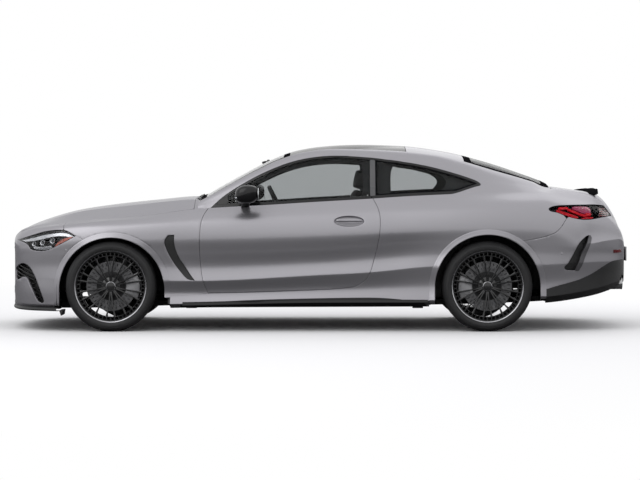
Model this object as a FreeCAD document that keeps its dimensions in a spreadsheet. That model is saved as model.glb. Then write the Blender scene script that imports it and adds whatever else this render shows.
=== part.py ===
"""Two-door coupe car: body shell panels, doors, lids, glass, cabin, axles and wheels.

Millimetres. +Z is up, the nose points to -X and the driver's side is -Y. The origin is on the
ground, midway between the ends of the car and on its centre plane.
"""
import FreeCAD, Part
import os
import Sketcher
from FreeCAD import Placement, Rotation, Vector

os.makedirs("parts", exist_ok=True)
doc = FreeCAD.newDocument("coupe")

# ---------------------------------------------------------------- driving dimensions
DIMENSIONS = {
    "front_axle_x": -1589, "rear_axle_x": 1286, "hub_height": 345,
    "arch_radius": 403, "front_arch_x": -1580, "rear_arch_x": 1287, "front_arch_z": 312, "rear_arch_z": 335,
    "house_radius": 425, "house_wall": 8, "front_house_inner": 490, "rear_house_inner": 605, "lip_inner": 893,
    "panel_gap": 6, "glass_gap": 8, "glass_thickness": 6, "roof_thickness": 30, "pillar_depth": 45,
    "skin_depth": 45, "door_depth": 110, "sill_inner": 655, "seal": 2,
    "tyre_radius": 345, "tyre_outer_face": 937, "front_tyre_width": 265, "rear_tyre_width": 295,
    "shoulder_radius": 322, "shoulder_inset": 14, "shoulder_edge": 4, "tread_edge": 341, "tread_inset": 36,
    "sidewall_radius": 297, "bead_radius": 256.5, "bead_top": 275, "bead_edge": 4, "fit": 0.5,
    "rim_seat": 256, "rim_flange": 274, "barrel_inner": 240, "flange_depth": 12, "lip_depth": 2,
    "spoke_face": 24, "spoke_depth": 26, "spoke_width": 9, "spoke_spread": 12, "spoke_pairs": 10,
    "hub_radius": 74, "hub_depth": 46, "centre_bore": 33.5,
    "disc_radius": 190, "disc_thickness": 36, "hat_radius": 84, "rotor_step": 16, "hat_wall": 8,
    "hat_inner": 76, "spindle_radius": 28,
    "caliper_radius": 228, "caliper_bore": 125, "caliper_clear": 6, "caliper_arm": 32, "caliper_face": 22,
    "jack_height": 172, "jack_length": 80, "jack_width": 60, "jack_y": 745,
    "steering_radius": 185, "steering_rim": 16, "tailpipe_radius": 46, "tailpipe_wall": 3, "tailpipe_z": 352,
    "cushion_width": 500, "cushion_length": 500, "cushion_height": 150, "seat_centre": 370,
    "engine_length": 720, "engine_width": 460, "engine_height": 520, "engine_base": 340,
}

sheet = doc.addObject("Spreadsheet::Sheet", "dims")
for row, (name, number) in enumerate(DIMENSIONS.items(), start=1):
    sheet.set("A%d" % row, name)
    sheet.set("B%d" % row, str(number))
    sheet.setAlias("B%d" % row, name)
doc.recompute()


def size(name):
    """The number in the sheet's cell of that name."""
    return float(sheet.get(name))


MIRROR = Vector(0, 1, 0)
SIDES = (("left", -1), ("right", 1))
AXLES = ("front", "rear")
FLOOR_TOP = 250
FAR_OUT = 3000
parts = []


def feature(label, shape):
    """A sub-part whose shape is made with Part's own functions from the sheet's numbers."""
    made = doc.addObject("Part::Feature", label)
    made.Label = label
    made.Shape = shape
    made.Placement = Placement()
    parts.append(made)
    return made


# ---------------------------------------------------------------- body surface
def curve_value(knots, x):
    """The value at x of the smooth curve through (x, value) knots, which never overshoots them."""
    if x <= knots[0][0]:
        return knots[0][1]
    if x >= knots[-1][0]:
        return knots[-1][1]
    runs = [(b[0] - a[0], (b[1] - a[1]) / (b[0] - a[0])) for a, b in zip(knots, knots[1:])]

    def slope_at(k):
        if k == 0 or k == len(runs):
            return runs[min(k, len(runs) - 1)][1]
        (run0, rise0), (run1, rise1) = runs[k - 1], runs[k]
        if rise0 * rise1 <= 0:
            return 0.0
        weight0, weight1 = 2 * run1 + run0, run1 + 2 * run0
        return (weight0 + weight1) / (weight0 / rise0 + weight1 / rise1)

    k = max(i for i in range(len(runs)) if knots[i][0] <= x)
    run = runs[k][0]
    t = (x - knots[k][0]) / run
    return (knots[k][1] * (1 + 2 * t) * (1 - t) ** 2 + knots[k + 1][1] * t * t * (3 - 2 * t)
            + run * slope_at(k) * t * (1 - t) ** 2 - run * slope_at(k + 1) * t * t * (1 - t))


# The widest reach of the body in plan, as (x, half width).
REACH = [(-2425, 200), (-2412, 350), (-2370, 540), (-2300, 680), (-2200, 785), (-2080, 855), (-1900, 920),
         (-1700, 946), (-1589, 950), (-1300, 943), (-900, 930), (0, 925), (500, 930), (850, 948),
         (1100, 963), (1300, 967.5), (1500, 962), (1750, 930), (1950, 885), (2100, 835), (2200, 785),
         (2300, 700), (2370, 575), (2412, 380), (2425, 220)]

# Lines that run along the lower body, from the underside up to the belt: how far each lies
# inside the widest reach, and its height, each as (x, value) knots.
SIDE_LINES = [
    ("keel", [(-2425, 15), (-2200, 60), (-1500, 80), (1700, 80), (2300, 40), (2425, 15)],
     [(-2425, 190), (-2300, 165), (-1900, 158), (-1000, 180), (900, 190), (1700, 215), (2100, 270),
      (2300, 330), (2425, 390)]),
    ("sill", [(-2425, 5), (-2200, 10), (-1000, 2), (400, 2), (1300, 6), (2200, 20), (2425, 5)],
     [(-2425, 225), (-2300, 205), (-1900, 200), (-1000, 212), (0, 232), (900, 235), (1700, 265),
      (2100, 320), (2300, 370), (2425, 430)]),
    ("tuck", [(-2425, 0), (-2200, 12), (-1000, 28), (0, 30), (900, 20), (2200, 14), (2425, 0)],
     [(-2425, 320), (-1900, 290), (-900, 292), (0, 318), (900, 350), (1700, 375), (2200, 440),
      (2425, 480)]),
    ("crease", [(-2425, 0), (-1000, 2), (0, 0), (2425, 0)],
     [(-2425, 420), (-1600, 390), (-940, 388), (0, 433), (400, 455), (900, 500), (1700, 510),
      (2200, 530), (2425, 525)]),
    ("hollow", [(-2425, 0), (-2000, 10), (-1300, 12), (-900, 22), (0, 26), (500, 22), (1000, 8), (2425, 0)],
     [(-2425, 520), (-1700, 580), (-900, 560), (0, 580), (900, 630), (1700, 640), (2200, 640),
      (2425, 560)]),
    ("waist", [(-2425, 0), (-1900, 2), (-900, 4), (0, 2), (1300, 0), (2425, 0)],
     [(-2425, 600), (-2300, 640), (-2100, 700), (-1600, 755), (-900, 775), (0, 800), (600, 815),
      (1300, 835), (1800, 820), (2200, 750), (2350, 680), (2425, 590)]),
    ("shoulder", [(-2425, 4), (-2200, 25), (-1900, 40), (-1450, 45), (-900, 38), (0, 38), (700, 42),
                  (1300, 48), (1900, 50), (2200, 40), (2425, 4)],
     [(-2425, 640), (-2300, 708), (-2200, 745), (-1900, 800), (-1450, 832), (-900, 868), (0, 893),
      (700, 920), (1300, 945), (1650, 950), (1900, 935), (2200, 860), (2330, 760), (2425, 605)]),
]
# The same for the lines across the top, with their distance from the centre plane.
TOP_LINES = [
    ("edge", [(-2425, 160), (-2390, 340), (-2300, 560), (-2165, 655), (-1950, 735), (-1600, 775),
              (-1000, 785), (0, 800), (700, 795), (1000, 785), (1300, 760), (1680, 690), (2000, 650),
              (2200, 600), (2330, 500), (2400, 330), (2425, 170)],
     [(-2425, 668), (-2390, 708), (-2300, 762), (-2165, 800), (-1950, 820), (-1700, 852), (-1300, 886),
      (-850, 940), (-400, 965), (0, 990), (400, 1013), (700, 1033), (1000, 1047), (1350, 1062),
      (1680, 1062), (1900, 1025), (2150, 960), (2250, 900), (2330, 800), (2425, 616)]),
    ("dome", [(-2425, 110), (-2390, 200), (-2300, 330), (-2200, 395), (-1850, 450), (-1500, 485),
              (-1130, 545), (-850, 600), (700, 600), (1680, 560), (2200, 480), (2330, 380), (2425, 110)],
     [(-2425, 682), (-2390, 722), (-2300, 778), (-2200, 812), (-2055, 860), (-1850, 912), (-1540, 950),
      (-1335, 972), (-1130, 994), (-950, 1006), (-800, 985), (0, 995), (700, 1038), (1350, 1072),
      (1800, 1082), (2000, 1060), (2160, 1035), (2250, 955), (2330, 840), (2425, 622)]),
    ("crown", [(-2425, 55), (-2300, 165), (-1500, 245), (-850, 300), (1680, 280), (2330, 190), (2425, 55)],
     [(-2425, 690), (-2390, 730), (-2300, 786), (-2150, 845), (-1910, 913), (-1590, 961), (-1270, 995),
      (-950, 1022), (-800, 990), (0, 996), (700, 1040), (1350, 1078), (1770, 1100), (2010, 1074),
      (2150, 1052), (2250, 982), (2335, 856), (2380, 745), (2425, 626)]),
    ("centre", [(-2425, 0), (2425, 0)],
     [(-2425, 692), (-2390, 734), (-2300, 790), (-2150, 850), (-1910, 918), (-1590, 966), (-1270, 1000),
      (-950, 1027), (-800, 992), (0, 997), (700, 1041), (1350, 1080), (1770, 1108), (2010, 1080),
      (2150, 1058), (2250, 988), (2335, 862), (2380, 750), (2425, 630)]),
]
BODY_STATIONS = [-2425, -2408, -2365, -2290, -2180, -2040, -1850, -1589, -1300, -1060, -950, -840, -600, -150,
                 300, 700, 1000, 1290, 1550, 1720, 1860, 2020, 2150, 2230, 2310, 2370, 2408, 2425]
# How far the inner surface lies inside the outer one: at the sides, and under the top.
WALL_DEPTH = [(-1250, "skin_depth"), (-950, "door_depth"), (900, "door_depth"), (1150, "skin_depth")]
TOP_DEPTH = [(-930, -30), (-850, 60), (1230, 60), (1320, -30)]
NOSE_DEPTH = 40


def closed_section(x, half):
    """A closed wire across the car at x through the half section's (y, z) points and their mirror."""
    right = [Vector(x, y, z) for y, z in half]
    left = [Vector(x, -y, z) for y, z in reversed(half) if y > 1]
    return Part.makePolygon(right + left + right[:1])


def body_section(x, side=0.0, top=0.0, base=0.0):
    """The lower body's section at x, drawn in by `side`, moved by `top` and raised by `base`."""
    reach = curve_value(REACH, x)
    points = []
    for name, inset, height in SIDE_LINES:
        lift = base if name in ("keel", "sill") else 0.0
        points.append([reach - curve_value(inset, x) - side, curve_value(height, x) + lift])
    for name, across, height in TOP_LINES:
        y = max(curve_value(across, x) - (side if name == "edge" else 0.0), 0.0)
        points.append([y, curve_value(height, x) + top])
    points[6][1] += min(top, 0.0)
    return closed_section(x, points)


def lofted(wires):
    """A closed solid through the section wires."""
    return Part.makeLoft(wires, True, False)


def depth_at(knots, x):
    """A depth from (x, number or cell name) knots."""
    return curve_value([(at, size(v) if isinstance(v, str) else v) for at, v in knots], x)


body_outer = lofted([body_section(x) for x in BODY_STATIONS])
inner_stations = [x for x in BODY_STATIONS if abs(x) < 2400 - NOSE_DEPTH]
body_inner = lofted([body_section(x, depth_at(WALL_DEPTH, x), depth_at(TOP_DEPTH, x), NOSE_DEPTH)
                     for x in inner_stations])
body_shell = body_outer.cut(body_inner)

# The greenhouse: rows from the belt up to the cant rail, then the roof's crown as a curve.
BELT_Y = [(-970, 772), (-850, 788), (0, 798), (700, 793), (1000, 782), (1300, 752), (1600, 690), (1830, 630)]
RAIL_Y = [(-970, 752), (-840, 732), (-500, 665), (-200, 612), (100, 588), (500, 576), (900, 562),
          (1130, 550), (1500, 530), (1830, 505)]
RAIL_Z = [(-970, 960), (-840, 1028), (-500, 1215), (-300, 1310), (-100, 1370), (100, 1392), (500, 1380),
          (900, 1345), (1130, 1290), (1370, 1218), (1550, 1168), (1830, 1092)]
ROOF_Z = [(-970, 1012), (-870, 1052), (-790, 1098), (-630, 1187), (-470, 1273), (-310, 1346), (-150, 1394),
          (10, 1419), (170, 1431), (330, 1435), (650, 1426), (970, 1386), (1290, 1310), (1610, 1206),
          (1770, 1146), (1830, 1112)]
ROOF_STATIONS = [-970, -900, -800, -640, -480, -320, -160, 0, 200, 500, 800, 1050, 1290, 1500, 1680, 1830]
# The pillars end short of the hood's and the boot lid's hinge lines.
PILLAR_FRONT, PILLAR_REAR = -945, 1806
BELT_LINE = TOP_LINES[0][2]
TUMBLEHOME_BULGE = 14
CROWN_STEPS = (0.9, 0.72, 0.45)


def roof_section(x, side=0.0, top=0.0):
    """The greenhouse's section at x, drawn in by `side` and lowered by `top`."""
    belt = Vector(0, curve_value(BELT_Y, x) - side, curve_value(BELT_LINE, x) - 4)
    rail = Vector(0, curve_value(RAIL_Y, x) - side, curve_value(RAIL_Z, x) - top)
    crown = curve_value(ROOF_Z, x) - top
    middle = (belt + rail) * 0.5 + Vector(0, TUMBLEHOME_BULGE * min(1.0, (rail.z - belt.z) / 300), 0)
    rows = [(belt.y - 20, belt.z - 60), (belt.y, belt.z), (middle.y, middle.z), (rail.y, rail.z)]
    rows += [(rail.y * s, crown - (crown - rail.z) * s ** 2.2) for s in CROWN_STEPS]
    rows.append((0.0, crown))
    return closed_section(x, rows)


roof_outer = lofted([roof_section(x) for x in ROOF_STATIONS])
roof_inner = lofted([roof_section(x, size("pillar_depth"), size("roof_thickness")) for x in ROOF_STATIONS])
glass_depth = size("glass_thickness")
glass_inner = lofted([roof_section(x, glass_depth + 1, glass_depth) for x in ROOF_STATIONS])
roof_frame = roof_outer.cut(roof_inner)
glass_skin = roof_outer.cut(glass_inner)


# ---------------------------------------------------------------- cutting regions
def side_prism(points, near=400, far=1100, offset=0.0):
    """A prism across the car from an outline in side view, on the +Y side."""
    wire = Part.makePolygon([Vector(x, near, z) for x, z in points + points[:1]])
    face = Part.Face(wire)
    if offset:
        face = face.makeOffset2D(offset)
    return face.extrude(Vector(0, far - near, 0))


def plan_prism(points, low, high, offset=0.0):
    """A prism upwards from an outline in plan, mirrored to both sides."""
    loop = points + [(x, -y) for x, y in reversed(points)]
    face = Part.Face(Part.makePolygon([Vector(x, y, low) for x, y in loop + loop[:1]]))
    if offset:
        face = face.makeOffset2D(offset)
    return face.extrude(Vector(0, 0, high - low))


def box(low, high):
    """A block between two corners."""
    return Part.makeBox(high[0] - low[0], high[1] - low[1], high[2] - low[2], Vector(*low))


def biggest(shape):
    """The largest solid of a cut shape."""
    return max(shape.Solids, key=lambda solid: solid.Volume)


def both_sides(shape):
    """A right-hand shape and its mirror as one compound."""
    return Part.makeCompound([shape, shape.mirror(Vector(), MIRROR)])


gap = size("panel_gap")
DOOR_FRONT = [(-845, 945), (-875, 900), (-897, 840), (-908, 740), (-910, 640), (-902, 500), (-882, 385),
              (-845, 293)]
DOOR_FLOOR = [(-500, 300), (0, 318), (190, 330)]
DOOR_REAR = [(280, 345), (340, 380), (385, 440), (420, 550), (455, 700), (468, 840), (455, 930), (415, 1013)]
door_outline = DOOR_FRONT[::-1] + [(-845, 1100), (415, 1100)] + DOOR_REAR[::-1] + DOOR_FLOOR[::-1]
door_region = side_prism(door_outline)
door_aperture = side_prism(door_outline, offset=gap)

bumper_front_line = [(-1950, 1000), (-1950, 775), (-1850, 730), (-1770, 690), (-1700, 150)]
bumper_front_region = side_prism([(-2600, 0), (-2600, 1000)] + bumper_front_line + [(-1700, 0)], near=-1100)
fender_region = side_prism([(-1950 + gap, 1100), (-1950 + gap, 778), (-1850, 730 + gap), (-1765, 695),
                            (-1600, 500), (-1165, 276), (-850, 291), (-800, 291), (-800, 1100)])
sill_front = [(-1165, 0), (-1165, 270), (-850, 285), (-850, 0)]
bumper_rear_line = [(1500, 150), (1500, 685), (1650, 710), (1750, 735), (1815, 762), (1860, 810), (1895, 862),
                    (2010, 845), (2110, 852), (2400, 862)]
bumper_rear_region = side_prism(bumper_rear_line + [(2600, 862), (2600, 0), (1500, 0)], near=-1100)
headlamp_outline = [(-2340, 692), (-2200, 736), (-2100, 765), (-1990, 778), (-1925, 772), (-1850, 730),
                    (-1950, 675), (-2080, 615), (-2215, 622), (-2340, 660)]
tail_lamp_outline = [(1750, 930), (1790, 958), (1900, 966), (2050, 968), (2160, 965), (2345, 935),
                     (2345, 872), (2110, 860), (2010, 853), (1900, 875), (1820, 905)]
LAMP_INNER = 520
TAIL_LAMP_INNER = 535
headlamp_region = side_prism(headlamp_outline, LAMP_INNER)
headlamp_hole = side_prism(headlamp_outline, LAMP_INNER - 2, offset=size("seal"))
tail_lamp_region = side_prism(tail_lamp_outline, TAIL_LAMP_INNER)
tail_lamp_hole = side_prism(tail_lamp_outline, TAIL_LAMP_INNER - 2, offset=size("seal"))

HOOD_EDGE = [(-2352, 0), (-2345, 330), (-2300, 545), (-2165, 645), (-1950, 725), (-1600, 765), (-1000, 775),
             (-958, 775), (-958, 0)]
HOOD_LIP_Z = 722
hood_region = plan_prism(HOOD_EDGE, HOOD_LIP_Z, 1200)
hood_aperture = plan_prism(HOOD_EDGE, HOOD_LIP_Z - gap, 1200, gap)
LID_EDGE = [(1812, 0), (1812, 500), (1850, 520), (2600, 520), (2600, 0)]
lid_region = plan_prism(LID_EDGE, 868, 1200)
lid_aperture = plan_prism(LID_EDGE, 868, 1200, gap)

WINDSCREEN_EDGE = [(-930, 0), (-915, 715), (-840, 698), (-500, 630), (-225, 582), (-235, 0)]
ROOF_GLASS_EDGE = [(-227, 0), (-217, 580), (100, 560), (668, 545), (675, 0)]
ROOF_PANEL_EDGE = [(683, 0), (676, 543), (1120, 520), (1128, 0)]
REAR_WINDOW_EDGE = [(1136, 0), (1128, 515), (1500, 497), (1790, 470), (1800, 0)]
centre_strip = [(-936, 0), (-920, 720), (-840, 701), (-500, 633), (-220, 584), (100, 563), (700, 546),
                (1125, 522), (1500, 500), (1796, 473), (1806, 0)]
centre_aperture = plan_prism(centre_strip, 900, 1500)

DOOR_GLASS = [(-820, 952), (-740, 1022), (-600, 1113), (-400, 1218), (-200, 1293), (0, 1330), (200, 1336),
              (385, 1325), (398, 1012), (0, 988), (-400, 964)]
QUARTER_GLASS = [(425, 1322), (600, 1302), (800, 1266), (1000, 1215), (1120, 1180), (1200, 1152),
                 (1240, 1120), (1190, 1104), (1080, 1076), (900, 1046), (700, 1034), (430, 1015)]
door_glass_region = side_prism(DOOR_GLASS, near=450)
door_window = side_prism(DOOR_GLASS, near=450, offset=size("glass_gap"))
quarter_region = side_prism(QUARTER_GLASS, near=450)
quarter_window = side_prism(QUARTER_GLASS, near=450, offset=size("seal"))


def arch(axle_x, centre_z, radius, near, far):
    """A wheel opening: a round arch that runs straight down below its centre."""
    drum = Part.makeCylinder(radius, far - near, Vector(axle_x, near, centre_z), Vector(0, 1, 0))
    return drum.fuse(box((axle_x - radius, near, -50), (axle_x + radius, far, centre_z)))


arches = []
for axle in AXLES:
    centre, centre_z = size("%s_arch_x" % axle), size("%s_arch_z" % axle)
    inner = size("%s_house_inner" % axle)
    arches.append(arch(centre, centre_z, size("arch_radius"), inner, 1100))
    arches.append(arch(centre, centre_z, size("house_radius"), inner, size("lip_inner")))
arches = arches[0].fuse(arches[1:])
all_arches = both_sides(arches)

# ---------------------------------------------------------------- fixed panels
right_half = box((-3000, 0, -100), (3000, 1200, 2000))
outer_right = body_shell.common(right_half)

screen = glass_skin.common(plan_prism(WINDSCREEN_EDGE, 990, 1500))
COWL_LOW, COWL_HIGH = (-951, -700, 900), (-880, 700, 1100)
cowl_hole = box((COWL_LOW[0] - 1, COWL_LOW[1] - 2, COWL_LOW[2]), (-790, COWL_HIGH[1] + 2, COWL_HIGH[2]))
fender = outer_right.common(fender_region).cut(Part.makeCompound(
    [arches, door_aperture, hood_aperture, headlamp_hole]))
fender = fender.cut(cowl_hole).cut(screen).common(box((-2600, 480, 0), (-800, 1200, 1200)))
feature("front_fenders", both_sides(fender))

GRILLE = dict(half=430, low=300, high=640, depth=70)
grille_mouth = box((-2600, -GRILLE["half"], GRILLE["low"]), (-2300, GRILLE["half"], GRILLE["high"]))
bumper = body_shell.common(bumper_front_region).cut(Part.makeCompound(
    [all_arches, hood_aperture, both_sides(headlamp_hole), grille_mouth,
     box((-2250, -size("sill_inner"), 0), (-1000, size("sill_inner"), FLOOR_TOP))]))
feature("front_bumper", bumper)

lamp = outer_right.common(headlamp_region)
feature("headlamps", both_sides(lamp))

frame_bar = 22
mouth = (GRILLE["half"] - 2, GRILLE["low"] + 2, GRILLE["high"] - 2)
grille_box = box((-2424, -mouth[0], mouth[1]), (-2424 + GRILLE["depth"], mouth[0], mouth[2]))
grille = grille_box.cut(box((-2500, -mouth[0] + frame_bar, mouth[1] + frame_bar),
                            (-2300, mouth[0] - frame_bar, mouth[2] - frame_bar)))
slats = 7
for i in range(slats):
    z = mouth[1] + (mouth[2] - mouth[1]) * (i + 1) / (slats + 1)
    grille = grille.fuse(box((-2405, -mouth[0] + 5, z - 5), (-2375, mouth[0] - 5, z + 5)))
feature("grille", grille)

rear_bumper = body_shell.common(bumper_rear_region)
diffuser_region = side_prism([(1680, 0), (1690, 310), (1800, 345), (2000, 400), (2100, 445), (2250, 530),
                              (2600, 545), (2600, 0)], near=-1100)
REAR_FLOOR_HALF = 580
floor_cut = box((1000, -REAR_FLOOR_HALF, 0), (2180, REAR_FLOOR_HALF, 330))
bumper_cut = box((1000, -REAR_FLOOR_HALF, 0), (2180, REAR_FLOOR_HALF, 400))
feature("rear_bumper", biggest(rear_bumper.cut(Part.makeCompound(
    [all_arches, both_sides(tail_lamp_hole), diffuser_region, bumper_cut]))))
diffuser = rear_bumper.common(diffuser_region).cut(Part.makeCompound([all_arches, floor_cut]))
PIPE_START, PIPE_END, PIPE_END_WALL = 2182, 2360, 20
PIPES_Y = (-545, -430, 430, 545)
pipe = size("tailpipe_radius")


def along_x(radius, start, y):
    """A cylinder along the car from `start` to past the tail, at a tailpipe's height."""
    return Part.makeCylinder(radius, FAR_OUT - start, Vector(start, y, size("tailpipe_z")), Vector(1, 0, 0))


feature("rear_diffuser", diffuser.cut(Part.makeCompound([along_x(pipe + 3, 2050, y) for y in PIPES_Y])))
pipes = Part.makeCompound([along_x(pipe, PIPE_START, y).cut(
    along_x(pipe - size("tailpipe_wall"), PIPE_START + PIPE_END_WALL, y)) for y in PIPES_Y])
feature("tailpipes", pipes.common(box((PIPE_START, -1000, 0), (PIPE_END, 1000, 1000))))

tail_lamp = outer_right.common(tail_lamp_region)
feature("tail_lamps", both_sides(tail_lamp))

lower_side = outer_right.common(box((-1165, 0, 0), (2420, 1200, 1300))).cut(Part.makeCompound(
    [arches, door_aperture, lid_aperture,
     side_prism([(-1950, 1100), (-1950, 276), (-1165, 270), (-850, 285), (-800, 285), (-800, 935),
                 (-850, 935), (-850, 1100)]),
     side_prism(bumper_rear_line + [(2600, 862), (2600, 0), (1500, 0)], offset=2),
     tail_lamp_hole]))
lower_side = lower_side.common(box((-1200, 532, 0), (2420, 1200, 1300)))
lower_side = lower_side.cut(box((-1200, 500, 0), (1500, size("sill_inner"), 900)))
upper_side = roof_frame.common(right_half)
upper_side = upper_side.cut(Part.makeCompound([centre_aperture, door_window, quarter_window]))
upper_side = upper_side.cut(box((-1000, 0, 0), (-845, 1200, 935)))
upper_side = upper_side.cut(door_aperture.common(box((-1200, 0, 0), (1000, 1200, 985))))
right_side = biggest(lower_side)
right_pillars = biggest(upper_side.cut(body_outer))
right_pillars = biggest(right_pillars.common(box((PILLAR_FRONT, 0, 0), (PILLAR_REAR, 1200, 2000))))
feature("roof_pillars", both_sides(right_pillars))
feature("right_body_side", right_side)
feature("left_body_side", right_side.mirror(Vector(), MIRROR))

floor_half = size("sill_inner") - 2
floor = body_shell.common(box((-2245, -floor_half, 100), (2170, floor_half, 330)))
floor = floor.cut(Part.makeCompound([all_arches, box((-2400, -700, FLOOR_TOP), (1300, 700, 400)),
                                     box((-2400, -700, 300), (1700, 700, 400))]))
floor = floor.cut(both_sides(box((1000, REAR_FLOOR_HALF - 2, 0), (2300, 700, 400))))
feature("floor_pan", floor)

JACK_X, JACK_TOP = (-980, 760), 215
half_long, half_wide = size("jack_length") / 2, size("jack_width") / 2
pads = [box((x - half_long, y - half_wide, size("jack_height")), (x + half_long, y + half_wide, JACK_TOP))
        for x in JACK_X for y in (-size("jack_y"), size("jack_y"))]
pads = [pad.cut(body_outer) for pad in pads]
feature("jack_pads", Part.makeCompound(pads))

houses = []
HOUSE_OUTER = {"front": 780, "rear": 800}
HOUSE_BACK = 12
for axle in AXLES:
    centre, centre_z = size("%s_arch_x" % axle), size("%s_arch_z" % axle)
    inner = size("%s_house_inner" % axle)
    house = Part.makeCylinder(size("house_radius") + size("house_wall"),
                              HOUSE_OUTER[axle] - inner + HOUSE_BACK,
                              Vector(centre, inner - HOUSE_BACK, centre_z), Vector(0, 1, 0))
    house = house.cut(Part.makeCylinder(size("house_radius"), 900, Vector(centre, inner, centre_z),
                                        Vector(0, 1, 0)))
    house = house.common(box((centre - 600, 0, centre_z - 20), (centre + 600, 1200, 1000)))
    axle_window = box((centre - 190, 0, 0), (centre + 190, inner + 20, 560))
    houses.append(both_sides(house.cut(axle_window).cut(body_shell)))
feature("wheelhouses", Part.makeCompound([s for h in houses for s in h.Solids]))

bulkhead = biggest(box((-1010, -780, 245), (-985, 780, 930)).cut(body_shell))
cowl = body_shell.common(box(COWL_LOW, COWL_HIGH)).cut(roof_outer)
bulkhead_rear = box((1150, -REAR_FLOOR_HALF, 300), (1170, REAR_FLOOR_HALF, 1000))
bulkhead_rear = bulkhead_rear.cut(Part.makeCompound([body_shell, all_arches, houses[1]]))
feature("firewall", bulkhead)
feature("cowl_panel", cowl)
deck = body_shell.common(box((1322, -528, 900), (PILLAR_REAR, 528, 1200)))
feature("parcel_shelf", deck)
feature("rear_bulkhead", biggest(bulkhead_rear))

feature("windscreen", screen)
feature("rear_window", glass_skin.common(plan_prism(REAR_WINDOW_EDGE, 1080, 1500)))
feature("roof_glass", roof_frame.common(plan_prism(ROOF_GLASS_EDGE, 1300, 1500)))
feature("roof_panel", roof_frame.common(plan_prism(ROOF_PANEL_EDGE, 1200, 1500)))
quarter_glass = biggest(glass_skin.common(quarter_region).common(right_half).cut(body_outer))
feature("quarter_windows", both_sides(quarter_glass))

# ---------------------------------------------------------------- moving panels
feature("hood", body_shell.common(hood_region))
feature("boot_lid", body_shell.common(lid_region))
SPOILER_LIP = [(2060, 1070), (2172, 1088), (2178, 1082), (2160, 1000), (2060, 1000), (2060, 1070)]
SPOILER_HALF = 508
spoiler = Part.Face(Part.makePolygon([Vector(x, -SPOILER_HALF, z) for x, z in SPOILER_LIP]))
spoiler = spoiler.extrude(Vector(0, 2 * SPOILER_HALF, 0))
feature("boot_spoiler", biggest(spoiler.cut(body_outer)))

door = body_shell.common(door_region).cut(roof_outer)
STEP_WIDTH, STEP_FACE = 25, 870
step_body = side_prism(door_outline, far=STEP_FACE)
inner_step = step_body.cut(side_prism(door_outline, far=STEP_FACE, offset=-STEP_WIDTH))
inner_step = inner_step.common(box((200, 0, 0), (600, 1200, 1100)))
door = door.common(right_half).cut(inner_step)
door = biggest(door)
pane = glass_skin.common(door_glass_region)
pane = biggest(pane.common(right_half))
mirror_head = Part.Face(Part.makePolygon([Vector(x, 838, z) for x, z in (
    (-640, 1010), (-625, 1085), (-560, 1112), (-480, 1100), (-455, 1060), (-460, 985), (-520, 970),
    (-600, 975), (-640, 1010))])).extrude(Vector(0, 180, 0))
mirror_stalk = Part.Face(Part.makePolygon([Vector(x, 770, z) for x, z in (
    (-640, 975), (-560, 985), (-545, 945), (-600, 925), (-640, 975))])).extrude(Vector(0, 100, 0))
mirror = mirror_head.fuse(mirror_stalk).cut(Part.makeCompound([body_outer, roof_outer]))
mirror = biggest(mirror)
for side, sign in SIDES:
    for name, shape in (("door", door), ("door_glass", pane), ("mirror", mirror)):
        placed = shape if sign > 0 else shape.mirror(Vector(), MIRROR)
        feature("%s_%s" % (side, name), placed)

# ---------------------------------------------------------------- cabin
DASH_HALF = 636
dash = Part.Face(Part.makePolygon([Vector(x, -DASH_HALF, z) for x, z in (
    (-930, 720), (-930, 935), (-860, 965), (-520, 975), (-430, 930), (-430, 850), (-520, 700), (-620, 640),
    (-930, 720))])).extrude(Vector(0, 2 * DASH_HALF, 0))
console = box((-700, -120, 232), (330, 120, 430)).fuse(box((-700, -120, 400), (-480, 120, 800)))
feature("dashboard", dash.fuse(console).removeSplitter())


def cushion(low, high, lean=0.0, rounding=30):
    """A rounded block for a seat part, leaned back about its lower front edge."""
    solid = box(low, high)
    solid = solid.makeFillet(rounding, solid.Edges)
    solid.rotate(Vector(low[0], 0, low[2]), Vector(0, 1, 0), lean)
    return solid


SEAT_FRONT, SEAT_BASE = -370, 300
seats = []
for side, sign in SIDES:
    centre = sign * size("seat_centre")
    half = size("cushion_width") / 2
    base = cushion((SEAT_FRONT, centre - half, SEAT_BASE),
                   (SEAT_FRONT + size("cushion_length"), centre + half, SEAT_BASE + size("cushion_height")))
    back = cushion((95, centre - half + 10, 430), (215, centre + half - 10, 1080), 17, 40)
    head = cushion((262, centre - 130, 1075), (362, centre + 130, 1235), 8, 35)
    plinth = box((-300, centre - 200, 228), (100, centre + 200, 320))
    seats.append(base.fuse([back, head, plinth]))
feature("front_seats", Part.makeCompound(seats))
bench = cushion((640, -600, 330), (1060, 600, 480), 0, 40)
bench = bench.fuse([cushion((1000, -590, 440), (1120, 590, 960), 8, 40),
                    box((700, -590, 232), (1100, 590, 350))])
bench = bench.cut(Part.makeCompound([all_arches, houses[1], body_shell]))
feature("rear_seat", bench.common(box((500, -598, 0), (1148, 598, 1100))))

wheel_ring = Part.makeTorus(size("steering_radius"), size("steering_rim"))
hub_pad = Part.makeCylinder(55, 50, Vector(0, 0, -40))
spoke_bars = box((-size("steering_radius") + 5, -14, -12), (size("steering_radius") - 5, 14, 4))
column = Part.makeCylinder(28, 190, Vector(0, 0, -200))
steering = wheel_ring.fuse([hub_pad, spoke_bars, column])
STEERING_X, STEERING_Z, STEERING_TILT = -312, 932, 65
tilt = Rotation(Vector(0, 1, 0), STEERING_TILT).multiply(Rotation(Vector(0, 0, 1), 90))
steering.Placement = Placement(Vector(STEERING_X, -size("seat_centre"), STEERING_Z), tilt)
feature("steering_wheel", steering.cut(doc.getObject("dashboard").Shape))

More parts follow.
